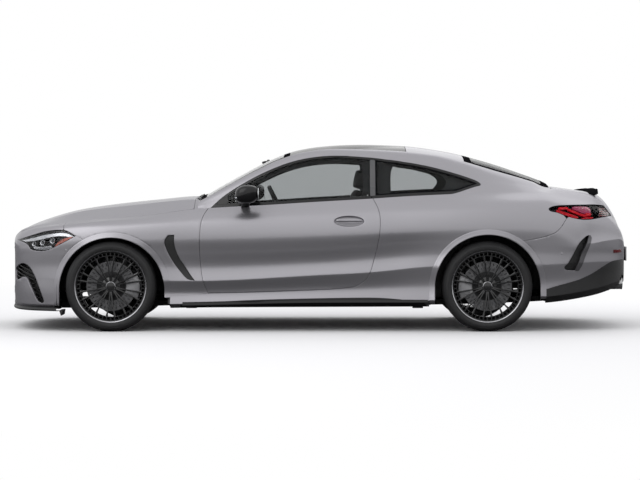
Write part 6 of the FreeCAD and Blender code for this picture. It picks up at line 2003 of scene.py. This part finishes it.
made_piece("dash_and_console", [(dash_part, soft_trim), (console, trim_black), (glove_lid, soft_trim),
    (joined_plain(cluster, centre_screen, console_top, touch_pad), screen_black),
    (joined_plain(*vent_rings, trim_strip, *wells), satin_metal), (joined_plain(*vent_cores), trim_black)],
    "body", "cabin_plastic", "dashboard")
arm_pad = pad([(-0.05, 0.432), (0.02, 0.438), (0.2, 0.438), (0.325, 0.43)], [0.1, 0.106, 0.106, 0.1], 0.016,
    across=44, along=36)
arm_pad = made_piece("console_armrest", [(arm_pad, leather)], "body", "leather", sharp_degrees=60)

# ------------------------------------------------------------ steering wheel
# A leather-covered rim with thumb rests and a flattened foot on three spokes with satin inserts,
# round a plain padded hub.
WHEEL_PLACE, WHEEL_TILT, WHEEL_RADIUS, RIM_RADIUS = (-0.312, -SEAT_CENTRE, 0.932), 65, 0.183, 0.0155


def on_wheel(part):
    """A part drawn in the wheel's plane, X across, Z up and Y away from the driver, set in its place."""
    points, _, faces = part
    c, s = math.cos(math.radians(WHEEL_TILT)), math.sin(math.radians(WHEEL_TILT))
    away, up = -points[:, 1], points[:, 2]
    placed_points = np.stack([away * s - up * c, points[:, 0], away * c + up * s], 1)
    return shaped(placed_points + np.array(WHEEL_PLACE), faces)


grip_rings = []
for turn in np.linspace(0, 2 * np.pi, 97)[:-1]:
    reach = WHEEL_RADIUS - 0.012 * math.exp(-((turn - 1.5 * math.pi) / 0.42) ** 2)
    fat = RIM_RADIUS * (1 + 0.12 * sum(math.exp(-((turn - spot) / 0.16) ** 2)
        for spot in (0.5, math.pi - 0.5)))
    grip_rings.append([((reach + fat * math.cos(a)) * math.cos(turn), fat * math.sin(a),
        (reach + fat * math.cos(a)) * math.sin(turn)) for a in np.linspace(0, 2 * np.pi, 21)])
grip_rings.append(grip_rings[0])
grip = ribbon(grip_rings)
hub_outline = curved([(-0.085, 0.035), (0.0, 0.062), (0.085, 0.035), (0.075, -0.03), (0.035, -0.068),
    (-0.035, -0.068), (-0.075, -0.03)], 6)
spokes = [prism([(0.06, 0.026), (0.172, 0.016), (0.176, -0.012), (0.06, -0.024)], -0.006, 0.008, 0.004, 3),
    prism([(-0.06, 0.026), (-0.172, 0.016), (-0.176, -0.012), (-0.06, -0.024)], -0.006, 0.008, 0.004, 3),
    prism([(-0.024, -0.05), (-0.018, -0.168), (-0.008, -0.168), (-0.01, -0.05)], -0.004, 0.008, 0.003),
    prism([(0.024, -0.05), (0.018, -0.168), (0.008, -0.168), (0.01, -0.05)], -0.004, 0.008, 0.003)]
switches = [prism(curved([(side * 0.098, 0.016), (side * 0.14, 0.012), (side * 0.14, -0.008),
    (side * 0.098, -0.014)], 3), -0.009, -0.004, 0.0015) for side in (-1, 1)]
paddles = [prism(curved([(side * 0.075, 0.055), (side * 0.145, 0.06), (side * 0.15, 0.02),
    (side * 0.08, 0.01)], 3), 0.014, 0.018, 0.001) for side in (-1, 1)]
column_cover = turned([(0.0001, 0.0), (0.045, 0.002), (0.042, 0.13), (0.0001, 0.135)], 32)
column_cover = (column_cover[0] + [0, 0.014, 0], None, column_cover[2])
made_piece("leather_steering_wheel", [(on_wheel(shaped(grip[0], grip[2])), leather),
    (on_wheel(prism(hub_outline, -0.022, 0.016, 0.008, 3)), soft_trim),
    (on_wheel(joined_plain(*spokes)), trim_black), (on_wheel(joined_plain(*switches, *paddles)),
    satin_metal), (on_wheel(column_cover), trim_black)], "body", "leather", "steering_wheel",
    sharp_degrees=40)

# ------------------------------------------------------------ cabin lining
# Woven headliner and moulded pillar covers a few centimetres inside the roof, side trims by the
# rear seats, a tufted carpet on the floor, and the interior mirror.
headliner = finish("headliner", (0.045, 0.045, 0.047), (0.058, 0.058, 0.06), (0.85, 0.95), 5.0, 1500.0,
    0.0004)
carpet = finish("carpet", (0.035, 0.035, 0.036), (0.055, 0.055, 0.056), (0.9, 1.0), 12.0, 800.0, 0.003)
QUARTER_OPENING = curved([(0.55, 1.06, 1), (0.57, 1.27), (0.66, 1.27), (0.85, 1.235), (0.98, 1.17),
    (0.93, 1.07, 1)])
front_opening = both(grown(window_space, -0.045), short_of(0.34))
screen_opening = both(grown(roof_centre_space, -0.05), short_of(-0.25))
rear_opening = both(grown(roof_centre_space, -0.06), past(1.15))
door_gap = both(short_of(0.43), lambda p: p[..., 2] - (eased(BELT_HEIGHT, p[..., 0]) + 0.05))
lining = sheet_metal(both(not_in(front_opening), not_in(door_gap), not_in(from_side(QUARTER_OPENING)),
    not_in(screen_opening), not_in(rear_opening), past(-0.9), short_of(1.72)), (WINDOW_HOUSE,), 0.004,
    rings=0.001, sunk=0.03)
made_piece("headliner_and_pillar_covers", two_sided([(lining, headliner)]), "body", "cabin_plastic")
floor_columns = []
for y in np.linspace(-0.615, 0.615, 42):
    tunnel = math.exp(-(y / 0.13) ** 4)
    edge = max(0.0, (abs(y) - 0.56) / 0.055)
    floor_columns.append([(x, y, z + 0.05 * edge * edge + 0.12 * tunnel * (1 if -0.9 < x < 0.9 else 0.6))
        for x, z in ((-0.978, 0.4), (-0.955, 0.3), (-0.9, 0.262), (-0.6, 0.256), (-0.2, 0.2555),
        (0.2, 0.2555), (0.6, 0.2555), (0.66, 0.262), (0.665, 0.33))])
made_piece("floor_carpet", [(ribbon(floor_columns), carpet)], "body", "cabin_plastic", sharp_degrees=60)
mirror_head = pad([(-0.412, 1.262), (-0.405, 1.285), (-0.402, 1.3), (-0.403, 1.318)],
    [0.1, 0.112, 0.112, 0.1], 0.009, across=40, along=24)
mirror_arm = tube([(-0.408, 0, 1.295), (-0.43, 0, 1.3), (-0.455, 0, 1.292)], 0.008)
made_piece("interior_mirror", [(mirror_head, trim_black), (mirror_arm, trim_black)], "body",
    "cabin_plastic", sharp_degrees=50)

# ------------------------------------------------------------ doors inside
# Each painted door shell carries a leather-faced card with an armrest, pull handle and speaker;
# it shuts against a painted frame with a rubber seal round the opening.
BELT_LOW = 0.045
seal_rubber = finish("seal_rubber", (0.012, 0.012, 0.012), (0.018, 0.018, 0.018), (0.65, 0.8), 20.0, 900.0,
    0.0002)
mesh_cloth = finish("speaker_mesh", (0.03, 0.03, 0.031), (0.045, 0.045, 0.046), (0.4, 0.5), 30.0, 1500.0,
    0.0006, metallic=0.6)


def under_belt(p):
    """Everything a hand's width under the windows."""
    return p[..., 2] - (eased(BELT_HEIGHT, p[..., 0]) - BELT_LOW)


def card_y(x, z):
    """How far across the car a door card's face lies."""
    return side_y(x, z) - 0.079


JAMB_SIDE = finer(SIDE, -1.0, 0.6)
shell_space = grown(door_space, -0.007)
door_shell = sheet_metal(both(shell_space, not_in(grown(door_space, -0.06))), (DOOR_SIDE,), 0.058,
    sunk=0.0055)
shell_face = sheet_metal(shell_space, (DOOR_SIDE,), 0.004, rings=0.0003, sunk=0.058)
card_space = both(grown(door_space, -0.028), under_belt)
card_base = sheet_metal(card_space, (DOOR_SIDE,), 0.012, sunk=0.064)
insert_space = from_side(curved([(-0.78, 0.7), (-0.7, 0.79), (-0.3, 0.83), (0.3, 0.86), (0.34, 0.8),
    (0.3, 0.7), (-0.2, 0.665), (-0.7, 0.64)]))
card_insert = sheet_metal(insert_space, (DOOR_SIDE,), 0.006, sunk=0.0735)
ARM = [(-0.52, 0.63), (-0.4, 0.655), (-0.1, 0.665), (0.14, 0.672), (0.24, 0.665)]
arm_across = card_y(-0.1, 0.65) - 0.028
arm_rest = pad(ARM, [0.026, 0.034, 0.036, 0.034, 0.026], 0.026, across=40, along=40, centre=arm_across)
pull = tube([(-0.5, card_y(-0.5, 0.72), 0.7), (-0.46, card_y(-0.46, 0.74) - 0.03, 0.735),
    (-0.3, card_y(-0.3, 0.76) - 0.034, 0.757), (-0.16, card_y(-0.16, 0.77) - 0.03, 0.765),
    (-0.12, card_y(-0.12, 0.77), 0.762)], 0.008, 12)
opener = prism(curved([(-0.6, 0.765), (-0.585, 0.79), (-0.5, 0.8), (-0.49, 0.785), (-0.5, 0.768)], 4),
    card_y(-0.55, 0.78) - 0.012, card_y(-0.55, 0.78) + 0.004, 0.003)
speaker_x, speaker_z = -0.66, 0.44
speaker_y = card_y(speaker_x, speaker_z)
speaker = []
for radius, start, end in ((0.086, -0.004, 0.0), (0.079, -0.006, 0.001), (0.062, -0.0065, -0.003),
        (0.046, -0.007, -0.003), (0.03, -0.0075, -0.003), (0.014, -0.008, -0.003)):
    speaker.append(boss(speaker_x, speaker_z, speaker_y + 0.004, speaker_y + start, radius))
pocket = prism(curved([(-0.5, 0.37), (-0.5, 0.43), (-0.1, 0.445), (0.3, 0.455), (0.31, 0.38),
    (-0.1, 0.365)], 3), card_y(-0.1, 0.42) - 0.026, card_y(-0.1, 0.42) + 0.01, 0.008, 3)
latch_y = card_y(0.4, 0.62)
latch = block((0.425, latch_y + 0.012, 0.6), (0.448, latch_y + 0.05, 0.68), 0.004)
for (side, turn), (_, plain_turn) in zip(SHEET_SIDES, PLAIN_SIDES):
    made_piece(side + "_door_shell", [(turn(joined(door_shell, shell_face)), paint)], side + "_door",
        "body_paint")
    made_piece(side + "_door_card", [(turn(card_base), soft_trim), (turn(card_insert), leather)],
        side + "_door", "cabin_plastic")
    made_piece(side + "_door_fittings", [(plain_turn(joined_plain(pull, opener)), satin_metal),
        (plain_turn(joined_plain(*speaker)), mesh_cloth), (plain_turn(joined_plain(pocket, latch)),
        trim_black)], side + "_door", "cabin_plastic", sharp_degrees=40)
    rest_piece = made_piece(side + "_door_armrest", [(plain_turn(arm_rest), leather)], side + "_door",
        "leather", sharp_degrees=60)

jamb_walls = flipped(sheet_metal(both(grown(door_space, 0.0045), lambda p: under_belt(p) - BELT_LOW),
    (JAMB_SIDE,), 0.082, inner=False, rings=[(0.0, 0.0002)], front=False))
jamb_ring = sheet_metal(both(rim_of(door_space, 0.006, -0.05), under_belt), (JAMB_SIDE,), 0.004, sunk=0.081)
jamb_seal = sheet_metal(both(rim_of(door_space, -0.014, -0.028), under_belt), (JAMB_SIDE,), 0.008,
    sunk=0.0765)
sill_box = [block((-0.93, 0.6, 0.2), (0.52, 0.8, 0.312), 0.008), block((-0.985, 0.6, 0.26),
    (-0.925, 0.765, 0.895), 0.008)]
scuff = block((-0.6, 0.655, 0.3125), (0.22, 0.75, 0.3155), 0.001)
grooves = [block((-0.58, y, 0.3153), (0.2, y + 0.004, 0.3168), 0.0008) for y in (0.672, 0.69, 0.708, 0.726)]
made_piece("door_frames", [(whole(joined(jamb_walls, jamb_ring)), paint), (whole(jamb_seal), seal_rubber)],
    "body", "body_paint")
made_piece("sill_trims", [(both_plain(joined_plain(*sill_box)), trim_black),
    (both_plain(joined_plain(scuff, *grooves)), satin_metal)], "body", "cabin_plastic")
trim_columns = []
for x in np.linspace(0.485, 1.17, 26):
    belt_z = float(eased(BELT_HEIGHT, np.array([x]))[0]) - 0.02
    top_y = max(side_y(x, 0.9) - 0.16, 0.7)
    trim_columns.append([(x, 0.606, 0.26), (x, 0.605, 0.6), (x, 0.607, 0.84), (x, 0.616, belt_z - 0.07),
        (x, 0.64, belt_z - 0.035), (x, 0.68, belt_z - 0.025), (x, top_y + 0.04, belt_z - 0.02)])
rear_trim = ribbon(trim_columns)
post_trim = prism([(0.605, 0.26), (0.605, 0.6), (0.607, 0.84), (0.616, 0.92), (0.64, 0.945), (0.79, 0.945),
    (0.8, 0.26)], 0.486, 0.494, 0.001, axis=0)
made_piece("rear_side_trims", [(both_plain(joined_plain(rear_trim, post_trim)), soft_trim)], "body",
    "cabin_plastic", sharp_degrees=50)

# ------------------------------------------------------------ engine bay
# A cast engine under a ribbed plastic cover, with its intake pipes, tanks, strut towers and brace,
# boxed in by black covers; a felt liner is clipped under the hood.
cover_black = finish("cover_black", (0.018, 0.018, 0.019), (0.026, 0.026, 0.027), (0.35, 0.48), 8.0, 1000.0,
    0.0004)
cast_alloy = finish("cast_alloy", (0.3, 0.3, 0.305), (0.21, 0.21, 0.215), (0.45, 0.6), 14.0, 350.0, 0.0012,
    metallic=0.8)
hose_rubber = finish("hose_rubber", (0.014, 0.014, 0.014), (0.02, 0.02, 0.02), (0.6, 0.75), 20.0, 500.0,
    0.0005)
tank_white = finish("tank_white", (0.5, 0.49, 0.45), (0.42, 0.41, 0.37), (0.4, 0.5), 12.0, 600.0, 0.0002)
cap_blue = finish("cap_blue", (0.02, 0.07, 0.22), (0.015, 0.05, 0.17), (0.35, 0.45), 12.0)
ENGINE_FRONT, ENGINE_REAR = -1.845, -1.132


def upright_round(profile, at, steps=40):
    """A profile of (radius, height) turned about a vertical line."""
    points, _, faces = turned([(radius, -height) for radius, height in profile], steps)
    return shaped(np.stack([points[:, 0] + at[0], points[:, 2] + at[1], -points[:, 1] + at[2]], 1), faces)


crankcase = prism([(ENGINE_FRONT + 0.04, 0.42), (ENGINE_FRONT, 0.46), (ENGINE_FRONT, 0.7),
    (ENGINE_REAR, 0.7), (ENGINE_REAR, 0.42), (ENGINE_REAR - 0.12, 0.345), (ENGINE_FRONT + 0.2, 0.345)],
    -0.19, 0.19, 0.02, 3)
ribs = in_a_row(prism([(-1.8, 0.44), (-1.788, 0.44), (-1.788, 0.69), (-1.8, 0.69)], -0.205, 0.205, 0.003),
    9, (0.078, 0, 0), cast_alloy)
head = prism([(ENGINE_FRONT + 0.01, 0.7), (ENGINE_FRONT, 0.74), (ENGINE_FRONT + 0.02, 0.8),
    (ENGINE_REAR - 0.02, 0.8), (ENGINE_REAR, 0.74), (ENGINE_REAR - 0.01, 0.7)], -0.15, 0.15, 0.015, 3)
cover_path = [(ENGINE_REAR - 0.01, 0.822), (-1.2, 0.832), (-1.35, 0.834), (-1.6, 0.828), (-1.78, 0.818),
    (ENGINE_FRONT + 0.01, 0.8)]
engine_cover = pad(cover_path[::-1], [0.15, 0.185, 0.19, 0.19, 0.185, 0.16], 0.02, 0.004, (0.3, 0.62),
    (0.18, 0.3, 0.42, 0.54, 0.66, 0.78), across=88, along=90)
wheels_front = []
for y, z, radius in ((0, 0.5, 0.085), (0.12, 0.6, 0.05), (-0.12, 0.62, 0.055), (0.02, 0.7, 0.035)):
    ring = turned([(0.0001, -0.002), (0.012, -0.002), (0.014, 0.004), (radius - 0.012, 0.006),
        (radius - 0.006, -0.001), (radius, 0.0), (radius - 0.003, 0.006), (radius, 0.012), (radius, 0.022),
        (0.0001, 0.022)], 40)
    spun = np.stack([ENGINE_FRONT - 0.004 + ring[0][:, 1] - 0.018, ring[0][:, 0] + y, ring[0][:, 2] + z], 1)
    wheels_front.append(shaped(spun, ring[2]))
filler = upright_round([(0.0001, 0.018), (0.02, 0.018), (0.024, 0.012), (0.024, 0.0), (0.0001, 0.0)],
    (-1.3, 0.09, 0.85))
intake_pipe = tube([(-1.86, 0.14, 0.66), (-1.9, 0.2, 0.7), (-1.93, 0.26, 0.71), (-1.95, 0.32, 0.69)], 0.034,
    20)
coolant_hose = tube([(-1.86, -0.05, 0.7), (-1.93, -0.12, 0.69), (-2.0, -0.2, 0.66), (-2.07, -0.24, 0.62)],
    0.02, 16)
small_hose = tube([(-1.25, -0.2, 0.8), (-1.22, -0.3, 0.79), (-1.24, -0.4, 0.76), (-1.3, -0.46, 0.72)],
    0.011, 12)
made_piece("engine_and_cover", [(joined_plain(crankcase, ribs, head, *wheels_front), cast_alloy),
    (engine_cover, cover_black), (joined_plain(intake_pipe, coolant_hose, small_hose), hose_rubber),
    (filler, cap_blue)], "body", "engine_alloy", "engine", sharp_degrees=45)
air_box = block((-2.06, 0.26, 0.52), (-1.87, 0.46, 0.72), 0.02, 3)
fuse_box = block((-1.22, 0.36, 0.62), (-1.06, 0.58, 0.8), 0.015, 3)
battery = block((-1.24, -0.58, 0.58), (-1.06, -0.34, 0.79), 0.012, 3)
tank = block((-2.06, -0.46, 0.54), (-1.9, -0.28, 0.71), 0.03, 4)
tank_cap = upright_round([(0.0001, 0.03), (0.026, 0.03), (0.03, 0.024), (0.03, 0.004), (0.022, 0.0),
    (0.0001, 0.0)], (-1.98, -0.37, 0.71))
washer_neck = tube([(-1.8, 0.38, 0.6), (-1.8, 0.38, 0.68), (-1.8, 0.38, 0.747)], 0.018, 16)
washer_cap = upright_round([(0.0001, 0.02), (0.022, 0.02), (0.026, 0.014), (0.026, 0.0), (0.0001, 0.0)],
    (-1.8, 0.38, 0.745))
TOWER_X, TOWER_Y = -1.55, 0.52
towers = [upright_round([(0.0001, 0.782), (0.03, 0.782), (0.034, 0.774), (0.06, 0.772), (0.075, 0.764),
    (0.095, 0.735), (0.1, 0.72), (0.0001, 0.72)], (TOWER_X, sign * TOWER_Y, 0)) for sign in (-1, 1)]
nuts = [upright_round([(0.0001, 0.784), (0.007, 0.784), (0.008, 0.78), (0.008, 0.768), (0.0001, 0.768)],
    (TOWER_X + 0.047 * math.cos(a), sign * TOWER_Y + 0.047 * math.sin(a), 0), 12) for sign in (-1, 1)
    for a in (0.4, 2.5, 4.6)]
brace = [tube([(-1.52, sign * 0.5, 0.8), (-1.35, sign * 0.36, 0.835), (-1.1, sign * 0.16, 0.86),
    (-1.03, sign * 0.1, 0.865)], 0.012, 14) for sign in (-1, 1)]
shelf_front = sheet_metal(both(grown(hood_space, -0.004), short_of(-2.03)), (FRONT_TOP,), 0.004, sunk=0.035)
shelf_side = sheet_metal(both(rim_of(hood_space, -0.004, -0.085), past(-2.05)), (FRONT_TOP,), 0.004,
    sunk=0.04)
shelf_rear = sheet_metal(both(grown(hood_space, -0.004), past(-1.1)), (FRONT_TOP,), 0.004, sunk=0.04)
bay_wall = ribbon([[(x, y, 0.715), (x, y, 0.74), (x, y, z)] for x, y, z in ((-2.16, 0.0, 0.79),
    (-2.15, 0.45, 0.78), (-2.05, 0.6, 0.785), (-1.95, 0.64, 0.79), (-1.75, 0.66, 0.8), (-1.4, 0.665, 0.83),
    (-1.05, 0.67, 0.86), (-1.015, 0.6, 0.87), (-1.015, 0.0, 0.9))])
made_piece("bay_fittings", [(joined_plain(air_box, fuse_box, battery, washer_neck), cover_black),
    (tank, tank_white), (joined_plain(tank_cap, washer_cap), cap_blue),
    (joined_plain(*towers), flange_black), (joined_plain(*nuts, *brace), satin_metal)], "body",
    "black_plastic", sharp_degrees=40)
made_piece("bay_covers", [(whole(joined(shelf_front, shelf_side, shelf_rear)), plastic)], "body",
    "black_plastic")
made_piece("bay_walls", [(both_plain(bay_wall), liner_felt)], "body", "underbody", sharp_degrees=50)
hood_frame = sheet_metal(rim_of(hood_space, -0.012, -0.055), (FRONT_TOP,), 0.012, sunk=0.008)
hood_felt = sheet_metal(grown(hood_space, -0.05), (FRONT_TOP,), 0.012, rings=[(0.0, 0.0), (0.004, 0.004)],
    sunk=0.01)
made_piece("hood_liner", [(whole(hood_frame), paint), (whole(hood_felt), liner_felt)], "hood",
    "black_plastic")

# ------------------------------------------------------------ boot
# A carpeted tub with a painted gutter and a rubber seal round its opening, and a felt panel that
# covers the inside of the lid.
tub = joined_plain(block((1.18, -0.545, 0.345), (2.19, 0.545, 0.355), 0.003),
    block((1.178, -0.545, 0.35), (1.186, 0.545, 0.98), 0.002), block((1.18, 0.54, 0.35), (2.19, 0.55, 0.9),
    0.003), block((1.18, -0.55, 0.35), (2.19, -0.54, 0.9), 0.003), block((2.18, -0.545, 0.35),
    (2.19, 0.545, 0.84), 0.003))
made_piece("boot_lining", [(tub, carpet)], "body", "black_plastic")
gutter = sheet_metal(rim_of(lid_space, 0.003, -0.045), (REAR_TOP, REAR_SIDE), 0.004, sunk=0.034)
boot_seal = sheet_metal(rim_of(lid_space, -0.028, -0.042), (REAR_TOP, REAR_SIDE), 0.012, sunk=0.022)
made_piece("boot_gutter", [(whole(gutter), paint), (whole(boot_seal), seal_rubber)], "body", "body_paint")
lid_frame = sheet_metal(rim_of(lid_space, -0.01, -0.06), (REAR_TOP,), 0.01, sunk=0.006)
lid_felt = sheet_metal(grown(lid_space, -0.055), (REAR_TOP,), 0.01, rings=[(0.0, 0.0), (0.004, 0.004)],
    sunk=0.008)
made_piece("boot_lid_liner", [(whole(lid_frame), paint), (whole(lid_felt), liner_felt)], "boot_lid",
    "black_plastic")

# ------------------------------------------------------------ wipers
# Two flat wipers parked at the foot of the windscreen, their arms bolted to splined posts, over
# a moulded cowl that closes the gap between hood and glass.


def on_screen(x, y, lift):
    """A place a little above the windscreen and its cowl."""
    grid = surfaces[HOUSE][0]
    row = grid[int(np.argmin(np.abs(grid[:, 0, 0] - x)))]
    return [x, y, float(np.interp(-abs(y), -row[:, 1], row[:, 2])) + lift]


wipers = []
for start, end, pivot in ((-0.6, -0.03, -0.5), (0.0, 0.56, 0.08)):
    blade = [on_screen(-0.925 + 0.01 * t, start + (end - start) * t, 0.005) for t in np.linspace(0, 1, 14)]
    arm = [on_screen(-0.94, pivot, 0.008), on_screen(-0.936, pivot + 0.12, 0.011),
        on_screen(-0.922, (start + end) / 2 + 0.06, 0.008)]
    wipers += [tube(blade, 0.004, 10), tube(arm, 0.0045, 10), upright_round(
        [(0.0001, 0.01), (0.007, 0.01), (0.01, 0.006), (0.01, 0.0), (0.0001, 0.0)],
        on_screen(-0.94, pivot, 0.001), 20)]
cowl_space = both(lambda p: np.abs(p[..., 1]) - 0.622, past(-0.953), short_of(-0.9265))
cowl = sheet_metal(cowl_space, (finer(HOUSE, -1.0, -0.85),), 0.008, sunk=0.004)
made_piece("cowl_cover", [(whole(cowl), plastic)], "body", "black_plastic", "cowl_panel")
made_piece("wipers", [(joined_plain(*wipers), trim_black)], "body", "black_plastic", sharp_degrees=50)

# ------------------------------------------------------------ frame, axles and inner panels
# The welded floor and bulkheads under sprayed seam sealer, moulded arch tubs, and the axle beams.
# They keep the shapes of the frame and only get their materials here.
underseal = finish("underseal", (0.016, 0.016, 0.017), (0.026, 0.026, 0.026), (0.7, 0.88), 7.0, 260.0,
    0.002)
beam_steel = finish("beam_steel", (0.05, 0.05, 0.051), (0.03, 0.029, 0.028), (0.45, 0.65), 9.0, 400.0,
    0.0008, metallic=0.5)
shelf_cloth = finish("shelf_cloth", (0.025, 0.025, 0.026), (0.035, 0.035, 0.036), (0.85, 0.95), 8.0, 1200.0,
    0.0006)
for names, material in ((("floor_pan", "firewall", "rear_bulkhead"), underseal),
        (("wheelhouses",), liner_felt), (("front_axle", "rear_axle"), beam_steel),
        (("jack_pads",), seal_rubber), (("parcel_shelf",), shelf_cloth)):
    for name in names:
        bpy.data.objects[name].material_slots[0].material = material

# ------------------------------------------------------------ camera, light and floor
# A long lens from the driver's side in a white studio, with two wide soft lamps and a pale floor
# that catches the car's shadow and fades out away from it.
camera = bpy.data.objects.new("camera", bpy.data.cameras.new("camera"))
bpy.context.collection.objects.link(camera)
camera.data.lens = 129.9
camera.location = (0.008, -18.5, 1.2)
camera.rotation_euler = (math.radians(90 - 1.63), 0, 0)
camera.data.clip_end = 200
bpy.context.scene.camera = camera

world = bpy.data.worlds.new("studio")
bpy.context.scene.world = world
world.use_nodes = True
nodes, links = world.node_tree.nodes, world.node_tree.links
background = nodes["Background"]
paths = nodes.new("ShaderNodeLightPath")
seen, shown = nodes.new("ShaderNodeMath"), nodes.new("ShaderNodeMath")
seen.operation = shown.operation = "MAXIMUM"
for start, end in ((paths.outputs["Is Camera Ray"], seen.inputs[0]),
        (paths.outputs["Is Transmission Ray"], seen.inputs[1]), (seen.outputs[0], shown.inputs[0]),
        (paths.outputs["Is Glossy Ray"], shown.inputs[1])):
    links.new(start, end)
level = nodes.new("ShaderNodeMix")
level.data_type = "RGBA"
links.new(shown.outputs[0], level.inputs["Factor"])
level.inputs[6].default_value = (0.8, 0.8, 0.82, 1)
level.inputs[7].default_value = (1, 1, 1, 1)
links.new(level.outputs[2], background.inputs["Color"])

floor_mesh = bpy.data.meshes.new("floor")
floor_mesh.from_pydata([(-40, -40, 0), (40, -40, 0), (40, 40, 0), (-40, 40, 0)], [], [(0, 1, 2, 3)])
floor = bpy.data.objects.new("floor", floor_mesh)
bpy.context.collection.objects.link(floor)
floor_paint, nodes, links, shader = new_material("pale_floor")
shader.inputs["Base Color"].default_value = (0.1, 0.1, 0.1, 1)
shader.inputs["Roughness"].default_value = 0.9
paths = nodes.new("ShaderNodeLightPath")
lit = nodes.new("ShaderNodeBsdfDiffuse")
lit.inputs["Color"].default_value = (1, 1, 1, 1)
beyond_shadow = nodes.new("ShaderNodeEmission")
far_off = nodes.new("ShaderNodeVectorMath")
far_off.operation = "LENGTH"
links.new(nodes.new("ShaderNodeTexCoord").outputs["Object"], far_off.inputs[0])
faded = nodes.new("ShaderNodeMixShader")
links.new(spread(nodes, links, far_off.outputs["Value"], 0, 1, 3.2, 8.0), faded.inputs["Fac"])
links.new(lit.outputs[0], faded.inputs[1])
links.new(beyond_shadow.outputs[0], faded.inputs[2])
chosen = nodes.new("ShaderNodeMixShader")
links.new(paths.outputs["Is Camera Ray"], chosen.inputs["Fac"])
links.new(shader.outputs[0], chosen.inputs[1])
links.new(faded.outputs[0], chosen.inputs[2])
links.new(chosen.outputs[0], nodes["Material Output"].inputs["Surface"])
floor_mesh.materials.append(floor_paint)

LAMP_WIDE = 9
for lamp_name, place, aim, power in (("key_light", (-6.5, -8, 7.5), (-0.5, 0, 0.6), 330),
        ("fill_light", (4, 8, 7), (0, 0, 0.6), 200)):
    lamp = bpy.data.objects.new(lamp_name, bpy.data.lights.new(lamp_name, "AREA"))
    lamp.data.energy = power
    lamp.data.size = LAMP_WIDE
    lamp.location = place
    lamp.rotation_euler = (Vector(aim) - Vector(place)).to_track_quat("-Z", "Y").to_euler()
    bpy.context.collection.objects.link(lamp)
bpy.context.scene.view_settings.view_transform = "Standard"
